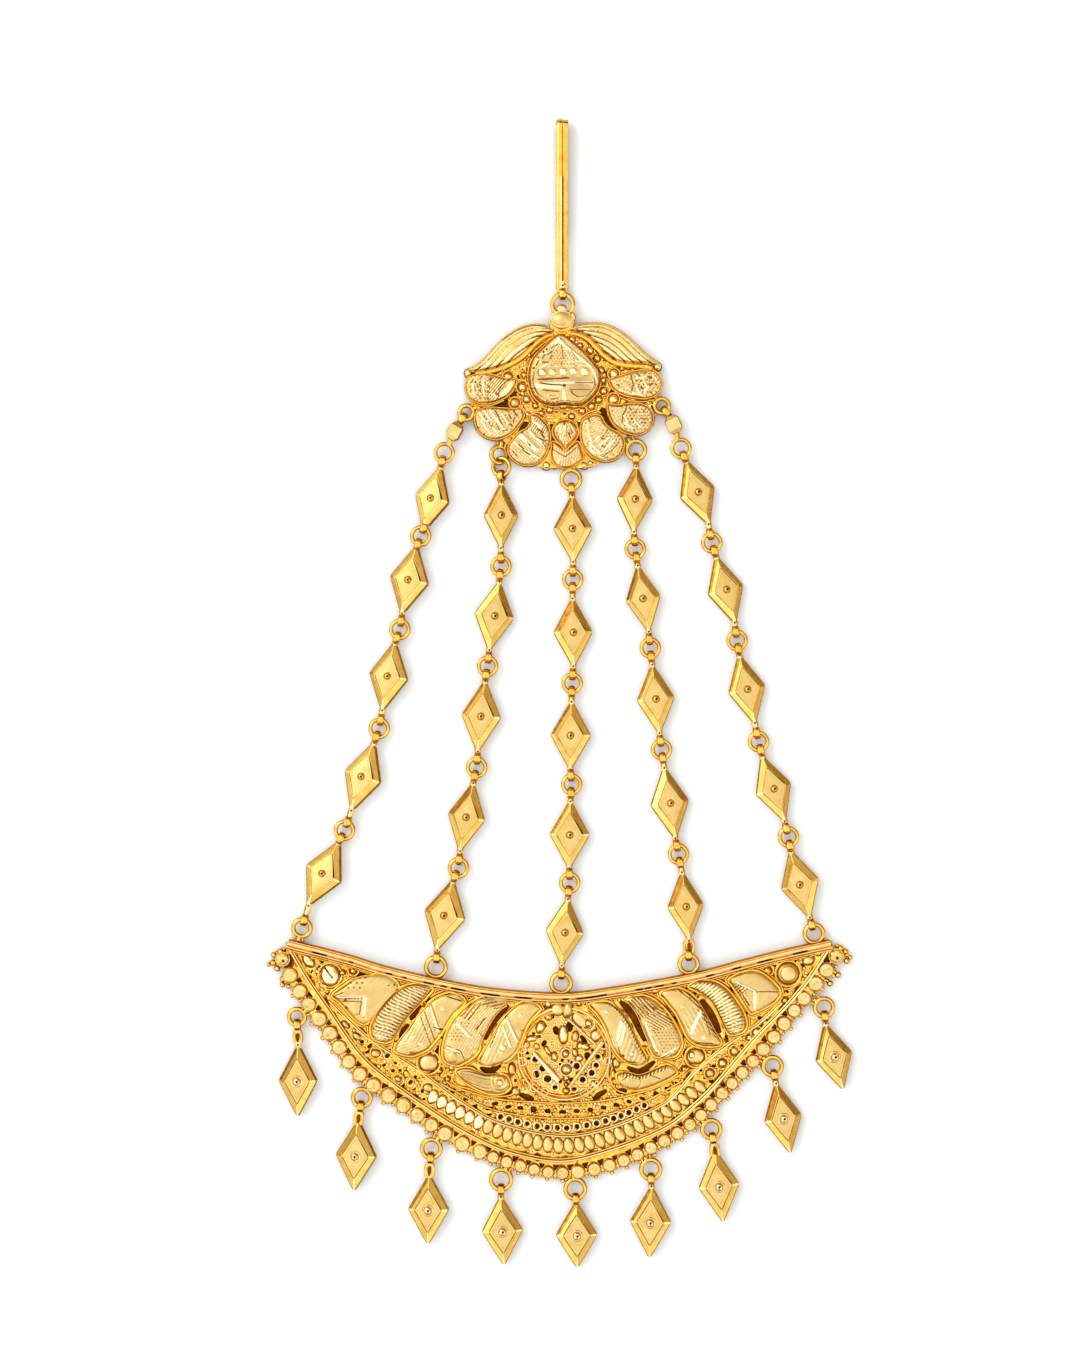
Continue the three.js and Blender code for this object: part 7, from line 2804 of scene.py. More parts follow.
# Cut lines on the medallion (leaf 0) and the petals (1 to 6): as on the crescent's leaves.
ORNAMENT_LINES = table("""
leaf  ax  ay  bx  by  across  high
0  -0.21  46  0.6  45.14  0.47  0.16
0  0.6  45.14  2.14  43.91  0.39  0.14
0  2.14  43.91  3.84  42.55  0.42  0.14
0  3.84  42.55  4.47  41.58  0.37  0.13
0  4.47  41.58  4.73  40.33  0.29  0.1
0  -1.05  45.42  -0.07  45.95  0.26  0.09
0  -1.31  44.82  -0.39  45.32  0.16  -0.08
0  0.07  45.29  0.26  43.46  0.13  -0.06
0  0.52  44.77  1.24  43.33  0.14  0.07
0  -0.52  44.77  -0.98  43.33  0.13  -0.05
0  1.31  44.51  2.22  43.33  0.13  -0.06
0  1.05  43.02  2.48  43.28  0.24  0.1
0  2.48  43.28  3.53  42.89  0.21  0.09
0  -2.61  44.07  -1.63  44.33  0.24  0.1
0  -1.83  43.99  -1.18  44.38  0.17  -0.09
0  -2.61  42.99  -1.57  42.97  0.24  0.12
0  -2.41  43.46  -2.09  44.04  0.17  -0.09
0  -1.49  43.41  -1.2  43.91  0.16  -0.09
0  -3.22  42.6  -2.93  43.12  0.22  -0.11
0  -2.75  42.16  -1.83  42.73  0.16  0.08
0  -1.57  42.52  -0.39  42.44  0.14  0.07
0  -0.13  42.6  1.05  42.52  0.14  0.07
0  1.31  42.44  2.48  42.55  0.14  0.07
0  2.75  42.6  3.66  42.37  0.14  0.07
0  -3.53  41.76  -3.66  40.2  0.2  -0.08
0  -3.66  40.2  -3.06  38.97  0.17  -0.08
0  -3.06  38.97  -2.09  38.18  0.17  -0.07
0  -3.74  39.67  -3.14  38.68  0.31  0.09
0  -3.01  38.55  -1.96  37.9  0.34  0.1
0  -1.96  37.9  -0.39  37.69  0.31  0.1
0  4.37  40.98  4.39  40.07  0.17  -0.08
0  4.39  40.07  3.97  39.15  0.14  -0.06
0  -3.01  40.77  0.52  40.93  0.29  -0.06
0  1.18  40.9  4.05  40.98  0.24  -0.05
0  0.52  40.98  0.97  40.93  0.34  -0.16
0  -2.22  40.27  3.92  40.38  0.2  0.05
0  -2.95  39.96  -0.13  39.86  0.68  0.15
0  -2.38  39.39  -0.26  39.18  0.22  -0.13
0  1.83  40.34  4.1  40.34  0.2  -0.15
0  1.23  39.54  1.52  38.89  0.18  -0.12
0  1.52  38.89  2.17  38.5  0.18  -0.12
0  2.17  38.5  3.35  38.63  0.14  -0.07
0  3.35  38.63  4.1  39.41  0.14  -0.06
0  1.36  39.46  3.79  39.46  0.18  -0.06
0  0.47  39.15  0.44  38.24  0.44  0.13
0  -1.7  38.68  -0.52  38.71  0.17  0.08
0  -1.31  38.16  -0.39  38.31  0.16  -0.06
1  -11.7  40.52  -11.37  40.93  0.2  -0.1
1  -10.59  40.88  -10.35  41.24  0.2  -0.11
1  -9.31  40.69  -8.99  41.08  0.21  -0.12
1  -11.22  39.88  -11.22  39.46  0.2  -0.09
1  -10.65  40.25  -10.43  39.91  0.2  -0.1
1  -10.72  39.49  -10.43  39.15  0.2  -0.1
1  -9.54  40.07  -9.31  39.73  0.21  -0.12
1  -9.62  39.36  -9.36  39.05  0.21  -0.1
1  -10.77  38.71  -10.48  38.37  0.2  -0.1
1  -9.65  38.47  -9.44  38.24  0.21  -0.1
1  -8.52  39.15  -8.24  38.86  0.2  -0.1
1  -10.04  40.59  -10.14  39.8  0.2  0.09
1  -10.14  39.8  -9.99  38.81  0.2  0.09
1  -11.45  40.25  -11.37  38.68  0.2  0.07
1  -8.29  38.24  -7.9  39.93  0.16  -0.07
1  -7.9  39.93  -6.8  40.8  0.16  -0.07
1  -7.76  38.68  -6.46  40.27  0.44  0.05
1  -8.76  38.94  -8.42  38.58  0.31  0.12
2  -10.54  36.48  -9.88  35.44  0.29  0.11
2  -9.93  36.72  -9.15  35.54  0.31  0.12
2  -9.15  36.8  -8.31  35.62  0.26  0.1
2  -9.54  35.49  -8.37  34.05  0.31  0.12
2  -8.29  35.57  -7.27  34.18  0.34  0.13
2  -10.33  35.41  -9.2  33.84  0.26  0.1
2  -10.04  36.12  -9.62  35.57  0.2  -0.11
2  -9.46  35.25  -8.97  34.65  0.18  -0.1
2  -8.58  36.75  -8.1  35.93  0.2  -0.11
2  -8.05  35.7  -7.66  34.99  0.21  -0.12
2  -8.44  35.05  -8.03  34.24  0.18  -0.1
2  -7.4  36.88  -6.72  36.61  0.18  -0.1
2  -6.75  37.08  -6.2  37.22  0.29  -0.15
2  -6.22  36.8  -5.75  36.09  0.31  -0.14
2  -6.8  36.22  -6.46  35.7  0.26  -0.12
2  -6.09  35.83  -6.22  35.31  0.24  -0.12
2  -6.64  35.05  -6.38  34.76  0.31  -0.17
2  -7.66  36.35  -6.93  35.18  0.31  0.1
2  -7.53  34.13  -7.01  34.26  0.2  -0.09
3  -5.44  33.84  -3.22  31.78  0.68  0.18
3  -3.87  33.84  -2.04  32.27  0.44  0.15
3  -3.74  35.44  -2.56  34.78  0.39  0.11
3  -6.22  32.8  -3.87  30.99  0.31  0.12
3  -4.13  31.39  -2.69  30.47  0.34  0.12
3  -5.49  32.3  -4.92  31.86  0.26  -0.14
3  -4.37  32.64  -3.95  32.12  0.21  -0.11
3  -5.02  31.65  -4  30.99  0.2  -0.08
3  -2.56  33.74  -2.17  33.22  0.21  -0.12
3  -2.41  32.56  -1.91  32.01  0.21  -0.12
3  -3.08  34.39  -2.3  33.87  0.2  -0.1
3  -6.33  31.52  -5.62  30.73  0.17  -0.08
3  -3.32  33.35  -1.91  32.82  0.16  -0.08
4  9.1  41.45  9.25  40.8  0.22  -0.1
4  9.25  40.8  9.41  40.14  0.24  -0.12
4  9.41  40.14  9.2  39.36  0.24  -0.12
4  9.99  41.58  10.38  41.19  0.25  -0.12
4  11.45  41.19  11.74  40.98  0.31  -0.16
4  10.27  40.54  10.56  40.69  0.26  -0.14
4  11.56  40.12  11.9  40.3  0.31  -0.16
4  10.43  39.88  10.69  39.62  0.29  -0.15
4  11.63  39.15  11.82  39.02  0.26  -0.13
4  10.64  41.84  11.16  41.66  0.21  -0.11
4  9.86  40.01  10.27  39.1  0.29  0.13
4  9.54  38.94  10.77  38.58  0.47  0.14
4  7.76  39.36  9.2  38.71  0.34  0.12
4  10.77  40.8  11.29  39.88  0.25  0.1
4  10.9  39.36  11.42  39.88  0.24  0.09
4  9.99  41.01  11.03  41.27  0.24  0.1
4  7.27  40.17  7.5  40.07  0.21  -0.1
4  11.95  41.56  12.47  40.8  0.18  0.07
5  8.6  37.5  8.42  36.88  0.25  -0.11
5  8.42  36.88  8.05  36.09  0.25  -0.11
5  8.05  36.09  7.95  35.18  0.22  -0.09
5  9.15  35.8  9.33  35.62  0.24  -0.12
5  9.62  36.48  9.86  36.75  0.21  -0.1
5  9.86  34.65  10.04  34.86  0.24  -0.11
5  9.49  34.26  9.67  34.08  0.24  -0.11
5  8.94  37.14  9.2  36.85  0.21  -0.09
5  10.64  36.88  10.93  36.61  0.2  -0.09
5  10.46  35.7  11.16  35.65  0.18  -0.09
5  10.46  35.18  11.03  35.15  0.18  -0.08
5  8.55  35.05  9.33  34.52  0.31  0.13
5  8.29  36.09  8.68  35.31  0.26  0.1
5  9.59  35.57  10.38  34.65  0.24  0.09
5  6.22  37.4  8.03  37.35  0.18  -0.06
5  6.59  35.83  7.63  34.52  0.18  -0.05
6  2.85  34.52  2.95  33.35  0.16  -0.05
6  2.95  33.35  3.58  31.91  0.16  -0.05
6  3.45  35.05  3.61  33.48  0.17  0.06
6  3.61  33.48  4.24  32.17  0.17  0.06
6  3.61  35.7  3.84  35.18  0.2  -0.1
6  5.1  33.35  5.54  33.06  0.2  -0.1
6  4.63  32.95  5.02  33.42  0.2  0.08
6  3.87  32.43  5.15  31.25  0.37  0.12
6  3.97  31.78  4.39  31.25  0.39  0.16
6  5.41  32.22  5.65  31.91  0.22  -0.12
6  5.02  32.17  6.2  33.22  0.2  0.08
6  5.67  31.65  6.98  32.95  0.2  0.08
6  5.54  30.86  6.72  31.65  0.17  -0.08
6  6.72  31.65  7.63  32.69  0.17  -0.08
6  5.8  33.87  6.07  34.21  0.2  -0.1
6  5.15  30.68  5.93  30.47  0.34  0.13
7  0.6  34.92  0.58  32.04  0.29  0.15
7  -0.08  34.39  0.05  32.82  0.16  0.08
7  -0.6  34  -0.21  32.95  0.13  -0.06
7  1.23  34.39  1.49  33.87  0.17  -0.1
7  0.99  33.87  1.25  33.22  0.17  -0.09
7  0.44  35.31  0.47  34.92  0.2  -0.11
8  -1.12  31.75  -0.34  31.25  0.2  -0.14
8  -0.34  31.25  0.55  30.78  0.21  -0.14
8  0.55  30.78  1.36  31.39  0.21  -0.14
8  1.36  31.39  2.01  31.99  0.18  -0.13
8  -0.08  30.6  -0.47  29.95  0.13  0.06
8  1.23  30.86  1.62  30.08  0.13  0.06
""")

ORNAMENT_ROUNDELS = table("""
leaf  x  y  r  high  rim
0  0.42  39.96  0.29  -0.2  0
0  -2.27  44.33  0.21  -0.14  0
0  -2.95  43.59  0.2  -0.12  0
0  -1.88  44.69  0.2  -0.1  0
0  -3.58  42.24  0.22  -0.16  0
0  -0.58  44.46  0.13  -0.07  0
0  0.08  42.92  0.14  -0.08  0
1  -12.18  38.81  0.13  -0.05  0
2  -10.77  34.52  0.14  -0.07  0
2  -10.01  33.71  0.16  -0.07  0
3  -2.77  34.6  0.34  0.07  1
4  7.5  40.07  0.18  -0.1  0
5  6.72  36.75  0.13  -0.04  0
6  4.37  31.49  0.29  0.12  0
""")

ORNAMENT_HATCHES = table("""
leaf  from  to  near  far  turn  pitch  deep
0  0.20  0.62  0.28  0.80   62  0.30  0.020
0  0.10  0.55  -0.85 -0.35  -35 0.34  0.014
0  0.60  0.95  -0.35 0.10   0   0.30  0.010
1  0.42  0.76  -0.9  0.7    50  0.30  0.040
1  0.70  0.96  -0.7  0.5    48  0.44  0.016
2  0.05  0.60  -0.9  0.9    40  0.36  0.022
3  0.05  0.95  -0.9  0.8   -42  0.34  0.018
3  0.52  0.92  0.25  0.85   58  0.30  0.040
4  0.04  0.40  -0.9  0.6    30  0.40  0.012
5  0.05  0.34  -0.7  0.8   -58  0.34  0.022
5  0.40  0.95  -0.9  0.9    48  0.42  0.018
6  0.15  0.60  0.05  0.80   20  0.30  0.018
6  0.35  0.95  -0.6  0.15   58  0.34  0.026
7  0.05  0.45  -0.6  0.9    70  0.32  0.030
7  0.55  0.98  -0.6  0.9   -60  0.32  0.034
8  0.08  0.92  -0.9  0.5    82  0.34  0.024
""")

ORNAMENT_STIPPLES = table("""
leaf  from  to  near  far  pitch  deep
0  0.30  0.64  0.10  0.62  0.42  0.035
1  0.10  0.40  -0.7  0.6   0.62  0.050
4  0.48  0.92  -0.7  0.8   0.55  0.060
5  0.36  0.92  -0.8  0.8   0.50  0.055
6  0.48  0.90  -0.4  0.4   0.48  0.035
""")

# Small openings of the ground, seen dark between the petals: corners of each.
ORNAMENT_GAPS = {
    "beside_petal_left_1": table("""
        x  y
        -6.8  38.71
        -6.22  39.41
        -5.73  39.36
        -5.78  38.68
        -6.35  38.37
    """),
    "between_left_1_and_2": table("""
        x  y
        -9.1  37.45
        -7.97  37.92
        -6.75  38.55
        -6.48  38.18
        -6.35  37.4
        -6.93  37.22
        -7.97  37.32
    """),
    "between_left_2_and_3": table("""
        x  y
        -4.86  35.46
        -4.31  35.36
        -3.92  34.97
        -4.13  34.44
        -4.92  34.31
        -5.67  34.13
        -5.31  34.78
    """),
    "left_of_leaf": table("""
        x  y
        -1.49  35.15
        -0.81  35.07
        -0.94  34.52
        -1.07  33.92
        -1.32  34.39
    """),
    "left_under_leaf": table("""
        x  y
        -1.18  33.27
        -0.73  32.93
        -0.34  32.64
        -0.55  32.35
        -1.2  32.33
    """),
    "right_of_leaf": table("""
        x  y
        2.04  35.33
        2.93  35.44
        2.75  34.71
        2.51  33.97
        2.33  34.71
    """),
    "right_under_leaf": table("""
        x  y
        1.96  32.82
        2.41  33.16
        2.59  32.82
        2.33  32.48
    """),
    "between_right_2_and_3": table("""
        x  y
        4.89  36.8
        5.41  37.32
        5.99  36.98
        6.22  36.09
        6.67  35.28
        7.48  34.24
        6.85  34.13
        6.04  34.71
        5.46  35.7
    """),
    "between_right_1_and_2": table("""
        x  y
        6.27  39.23
        6.61  39.8
        7.37  39.07
        6.75  38.97
    """),
}

# Dark spots pierced in the ornament's ground, and their half sizes.
ORNAMENT_HOLES = table("""
x  y  rx  ry  turn
-5.57  41.25  0.22  0.31  -20
-1.25  45.92  0.39  0.16  -28
-2.27  45.19  0.22  0.2  0
-3.11  44.3  0.22  0.17  -30
-4.05  43.07  0.17  0.17  0
-4.13  39.93  0.16  0.24  0
0.97  46.39  0.27  0.14  20
2.67  44.93  0.26  0.18  35
4.39  43.8  0.16  0.16  0
5.96  43.86  0.13  0.13  0
5.83  41.84  0.21  0.18  0
4.76  42.68  0.16  0.16  0
5.41  40.12  0.16  0.16  0
0.47  36.43  0.29  0.13  0
-0.86  36.75  0.18  0.13  0
-2.41  37.08  0.21  0.13  30
3.19  37.4  0.16  0.13  0
7.4  42.37  0.2  0.13  0
9.86  42.31  0.18  0.12  0
-1.65  29.45  0.16  0.12  0
1.23  29.53  0.42  0.16  -10
""")

# Balls and ringed bosses: half sizes, turn, foot, rise, finish; finish 3 paints them light and 6 as highlights.
ORNAMENT_DOMES = table("""
x  y  rx  ry  turn  foot  rise  finish
-2.46  41.66  0.52  0.52  0  2.74  0.24  6
-1.15  41.69  0.47  0.47  0  2.74  0.22  6
0.26  41.76  0.55  0.55  0  2.74  0.24  6
1.59  41.82  0.52  0.52  0  2.74  0.24  6
3.06  41.76  0.58  0.58  0  2.74  0.24  6
1.41  46.08  0.47  0.47  0  1.15  0.62  3
2.46  45.29  0.42  0.31  30  1.15  0.45  3
3.78  44.64  0.5  0.5  0  1.15  0.62  3
4.69  43.61  0.47  0.47  0  1.15  0.6  3
5.23  42.05  0.47  0.47  0  1.15  0.6  3
5.46  40.77  0.44  0.44  0  1.15  0.6  3
5.54  39.39  0.5  0.5  0  1.15  0.62  3
4.92  38.25  0.5  0.5  0  1.15  0.62  3
3.97  37.4  0.5  0.5  0  1.15  0.62  3
2.75  36.8  0.47  0.47  0  1.15  0.6  3
1.39  36.07  0.44  0.42  0  1.1  0.55  3
-1.46  36.93  0.47  0.47  0  1.15  0.6  3
-2.56  36.46  0.37  0.37  0  1.1  0.5  3
-3.35  37.48  0.39  0.39  0  1.1  0.5  3
-4.47  38.31  0.5  0.5  0  1.15  0.62  3
-5.02  39.88  0.63  0.63  0  1.15  0.7  3
-4.78  41.45  0.42  0.42  0  1.15  0.55  3
-5.02  39.05  0.34  0.34  0  1.1  0.5  3
-4.37  36.33  0.34  0.34  0  1.1  0.45  3
-3.48  43.67  0.31  0.31  0  1.15  0.5  3
-4.1  44.04  0.29  0.29  0  1.15  0.45  3
0.29  37.5  0.55  0.44  0  1.2  0.35  0
1.86  37.5  0.52  0.42  0  1.2  0.35  0
-6.9  41.25  0.6  0.5  10  1.2  0.6  3
-6.04  37.82  0.63  0.6  20  1.2  0.55  0
6.88  41.61  0.63  0.63  0  1.25  0.62  3
6.82  38.29  0.68  0.68  0  1.25  0.62  3
9.73  42.52  0.34  0.34  0  1.2  0.5  3
10.43  42.58  0.33  0.33  0  1.2  0.48  3
11.22  42.55  0.37  0.37  0  1.2  0.5  3
8.81  42.47  0.39  0.29  0  1.15  0.4  2
7.97  42.31  0.31  0.31  0  1.15  0.4  2
-8.71  41.92  0.42  0.31  -10  1.15  0.4  2
-10.51  41.92  0.34  0.34  0  1.15  0.45  3
-9.75  41.82  0.37  0.31  0  1.1  0.42  2
-12.08  41.74  0.58  0.58  0  0.7  0.8  3
12.55  42.6  0.6  0.6  0  0.75  0.85  3
-1.93  29.71  0.63  0.63  0  0.6  0.8  3
3.03  29.69  0.52  0.52  0  0.6  0.75  3
3.87  29.97  0.47  0.47  0  0.6  0.7  3
-0.84  29.5  0.31  0.26  0  0.55  0.5  1
""")

# Thin rings of wire round the bosses.
ORNAMENT_RINGLETS = table("""
x  y  r  tube  z  finish
-2.46  41.66  0.64  0.07  2.76  0
-1.15  41.69  0.58  0.07  2.76  0
0.26  41.76  0.65  0.07  2.76  0
1.59  41.82  0.64  0.07  2.76  0
3.06  41.76  0.68  0.07  2.76  0
1.41  46.08  0.63  0.12  1.12  2
3.78  44.64  0.65  0.12  1.12  2
5.54  39.39  0.65  0.12  1.12  2
4.92  38.25  0.64  0.12  1.12  2
3.97  37.4  0.64  0.12  1.12  2
-4.47  38.31  0.65  0.12  1.12  2
-5.02  39.88  0.84  0.13  1.18  2
-6.9  41.25  0.76  0.13  1.25  2
-6.04  37.82  0.78  0.14  1.25  2
6.88  41.61  0.78  0.14  1.3  2
6.82  38.29  0.84  0.14  1.3  2
-4.78  41.45  0.6  0.12  1.15  2
2.75  36.8  0.61  0.12  1.1  2
-1.46  36.93  0.63  0.12  1.1  2
""")

# Wires of the ground.
ORNAMENT_WIRES = [
    (0.15, 1.20, 2, table("""
        x  y
        -0.92  46.6
        -2.75  45.23
        -4.18  43.73
        -4.65  41.9
        -4.39  39.67
        -3.61  38.05
        -2.22  37.19
        0.13  36.75
        2.22  37.01
        3.79  38.03
        4.78  39.15
    """)),
    (0.17, 1.25, 1, table("""
        x  y
        -6.93  38.26
        -5.88  37.66
        -5.02  37.14
        -4.55  36.46
        -4.42  35.8
    """)),
    (0.16, 1.20, 2, table("""
        x  y
        -3.87  36.48
        -3.08  36.56
        -2.3  36.2
        -1.75  35.54
    """)),
    (0.16, 1.20, 2, table("""
        x  y
        2.67  32.22
        3.14  31.25
        3.79  30.47
        4.71  29.95
    """)),
    (0.16, 1.22, 2, table("""
        x  y
        2.88  36.09
        3.58  36.56
        4.5  36.82
        5.18  36.48
    """)),
    (0.15, 1.20, 1, table("""
        x  y
        7.58  38.65
        9.28  38.05
        10.98  38
        12.29  38.24
    """)),
    (0.15, 1.20, 1, table("""
        x  y
        -11.76  37.9
        -10.59  37.48
        -9.02  37.53
        -7.45  38.16
    """)),
]

BOTTOM_LEAF = table("""
x  y
0.58  35.54
1.36  35.39
2.04  34.71
2.22  33.84
1.78  32.95
1.1  32.25
0.58  31.65
0.08  32.27
-0.63  32.95
-1.07  33.87
-0.94  34.71
-0.26  35.36
""")
FAN = table("""
x  y
-1.23  31.96
-1.1  32.8
-0.21  32.3
0.58  31.65
1.36  32.17
2.2  32.8
2.67  31.7
2.93  30.6
2.14  29.87
1.1  29.29
-0.08  29.35
-0.99  30.08
-1.31  31.05
""")
KNOB = {"x": 0.13, "y": 48.68, "radius": 1.41}
KNOB_PROFILE = table("""
r     z
0     1.45
0.86  1.45
1.00  1.56
1.00  1.76
0.95  1.88
0.84  1.98
0.78  2.02
0.72  2.00
0.66  2.04
0.40  2.16
0.15  2.21
0     2.215
""")

KNOB_CAP = table("""
r     z
0     1.30
0.70  1.30
0.70  1.62
0.62  1.78
0.42  1.88
0.20  1.92
0     1.925
""")
KNOB_SUPPORT = table("""
r     z
0     0.05
1.38  0.05
1.40  0.40
1.40  1.50
1.20  1.70
0     1.72
""")

ornament_gap_loops = {name: columns(rows, "x", "y") for name, rows in ORNAMENT_GAPS.items()}


def counter(loop):
    area = np.sum(loop[:, 0] * np.roll(loop[:, 1], -1) - np.roll(loop[:, 0], -1) * loop[:, 1])
    return loop if area > 0 else loop[::-1]


petal_loops = {name: counter(spline(columns(rows, "x", "y"), 84, True)) for name, rows in PETALS.items()}
wing_loops = {name: counter(spline(columns(wing["outline"], "x", "y"), 110, True)) for name, wing in WINGS.items()}
medal_loop = offset(counter(spline(columns(MEDALLION, "x", "y"), 120, True)), -0.10, True)
leaf_loop = counter(spline(columns(BOTTOM_LEAF, "x", "y"), 60, True))
fan_loop = counter(spline(columns(FAN, "x", "y"), 60, True))


def domed(loop, edge, crown, slope, number, swell=0.12, extra=None, extra_paint=None):
    """A height over an outline that climbs from its edge, with the cut work on top, and its finishes."""
    rise, marks = worked(number, ORNAMENT_LINES, ORNAMENT_ROUNDELS, ORNAMENT_HATCHES, ORNAMENT_STIPPLES)
    low, high = loop.min(0), loop.max(0)
    middle, half = (low + high) / 2, (high - low) / 2

    def height(x, y):
        p = np.column_stack([x, y])
        d = distance_to(p, loop)
        u = (x - low[0]) / (high[0] - low[0])
        v = (y - middle[1]) / half[1]
        round_ = np.hypot((x - middle[0]) / half[0], v)
        z = edge + (crown - edge) * soft(np.clip(d / slope, 0, 1) ** 0.75) + swell * (1 - np.clip(round_, 0, 1) ** 2)
        z = z + (rise(u, v, x, y) + (extra(x, y, d) if extra else 0)) * soft((d - 0.06) / 0.22)
        return z

    def paint(x, y):
        u = (x - low[0]) / (high[0] - low[0])
        v = (y - middle[1]) / half[1]
        out = marks(x, y, F_LEAF, u, v)
        d = distance_to(np.column_stack([x, y]), loop)
        if extra_paint:
            out = extra_paint(x, y, d, out)
        out = np.where(d < 0.10, F_WIRE, out)
        return out

    return height, paint


# ---- the flat sheet at the back, its top painted as shade, its holes under the gaps shrunk to pinpoints so that the shaded sheet closes them; the plates under the petals are painted shade too
ornament = Form()
ring_angles = np.arange(90) / 90 * 2 * math.pi
sheet = np.array([ORNAMENT_DISC["x"], ORNAMENT_DISC["y"]]) + np.column_stack([np.cos(ring_angles), np.sin(ring_angles)]) * ORNAMENT_DISC["radius"]
sheet_holes = []
for name, loop in ornament_gap_loops.items():
    c = loop.mean(0)
    small = c + (loop - c) * 0.01
    if inside(small, sheet).all():
        sheet_holes.append(small)
ornament.plate(sheet, 0.0, ORNAMENT_DISC["high"], holes=sheet_holes, finish=F_SATIN, top_finish=F_PAINTED_SHADE)
for i, loop in enumerate(petal_loops.values()):
    ornament.plate(offset(loop, -0.02, True), 0.01 + 0.004 * i, 0.80, finish=F_PAINTED_SHADE)
# painted shade: dark floors under the gaps between the petals
for i, loop in enumerate(ornament_gap_loops.values()):
    ornament.plate(offset(counter(loop), -0.12, True), 0.03 + 0.004 * i, 0.26, finish=F_PAINTED_SHADE)
ornament.piece("ornament_sheet_and_feet", FINISHES, "top_ornament", "granulated_gold")

# ---- its pierced ground, its hole walls painted as shade
ornament_outline = counter(spline(columns(ORNAMENT_GROUND, "x", "y"), 130, True))
ornament_holes = [loop for loop in ornament_gap_loops.values()]
for r in ORNAMENT_HOLES:
    loop = oval(r["x"], r["y"], r["rx"], r["ry"], -r["turn"], 8, 0.85)
    if inside(loop, ornament_outline).all() and distance_to(loop, ornament_outline).min() > 0.08 and all(distance_to(loop, other).min() > 0.10 for other in ornament_holes):
        ornament_holes.append(loop)
ornament_ground = Form()
ornament_ground.plate(ornament_outline, 0.3, lambda x, y: ground_height(x, y) - WEB_TOP + ORNAMENT_GROUND_TOP, holes=ornament_holes,
                      step=0.28, finish=F_PAINTED_SHADE, top_finish=F_GROUND)
for wire_radius, z, finish, rows in ORNAMENT_WIRES:
    ornament_ground.wire(raised(spline(columns(rows, "x", "y"), 60), z), wire_radius, 8, finish=finish)
for r in ORNAMENT_RINGLETS:
    ornament_ground.ring((r["x"], r["y"], r["z"]), r["r"], r["tube"], 22, 8, finish=int(r["finish"]))
ornament_ground.piece("ornament_pierced_ground", FINISHES, "top_ornament", "granulated_gold", 40)

# ---- petals


def flecked(paint, loop):
    """The same paint with punch marks between the cut lines, painted only: dark ones as shade, bright ones as
    highlights.
    """
    def speckled(x, y):
        out = paint(x, y)
        d = distance_to(np.column_stack([x, y]), loop)
        mark = np.sin(x * 8.7 + 2.1 * np.sin(y * 2.9)) * np.sin(y * 9.3 + 1.7 * np.sin(x * 3.3))
        plain = (out == F_LEAF) & (d > 0.35)
        out = np.where(plain & (mark > 0.80), F_PAINTED_LINE_SHADE, out)
        out = np.where(plain & (mark < -0.72), F_PAINTED_HIGHLIGHT, out)
        return out
    return speckled


petals = Form()
for name, loop in petal_loops.items():
    number = PETAL_NUMBER[name]
    height, paint = domed(loop, 1.30, 1.86, 0.36, number, 0.14)
    petals.plate(loop, 0.02 + 0.004 * number, height, step=0.115, finish=F_WIRE, paint=flecked(paint, loop))
petals.piece("ornament_petals", FINISHES, "top_ornament", "granulated_gold", 50)

petal_wires = Form()
# Beads along part of each petal's rim, painted light: from and to are shares of the way round from its first point.
PETAL_BEADS = table("""
petal  from  to  count  size
1  0.55  1.00  15  0.155
1  0.00  0.22  8   0.155
2  0.60  1.00  13  0.150
3  0.40  0.78  13  0.150
4  0.30  0.72  17  0.155
5  0.22  0.66  16  0.150
6  0.45  0.80  13  0.150
""")
for name, loop in petal_loops.items():
    petal_wires.wire(raised(offset(loop, 0.03, True), 1.44), 0.11, 8, closed=True, finish=F_POLISHED)
    petal_wires.wire(raised(offset(loop, -0.03, True), 1.08), 0.12, 8, closed=True, finish=F_WIRE)
for r in PETAL_BEADS:
    loop = petal_loops[f"petal_{'left' if r['petal'] < 4 else 'right'}_{int((r['petal'] - 1) % 3) + 1}"]
    line = offset(loop, 0.34, True)
    n = len(line)
    for t in np.linspace(r["from"], r["to"], int(r["count"])):
        p = line[int(t * n) % n]
        petal_wires.grain((*p, 1.72), r["size"], 4, 8, finish=F_PAINTED_LIGHT)
petal_wires.piece("ornament_petal_rims", FINISHES, "top_ornament", "granulated_gold", 40)

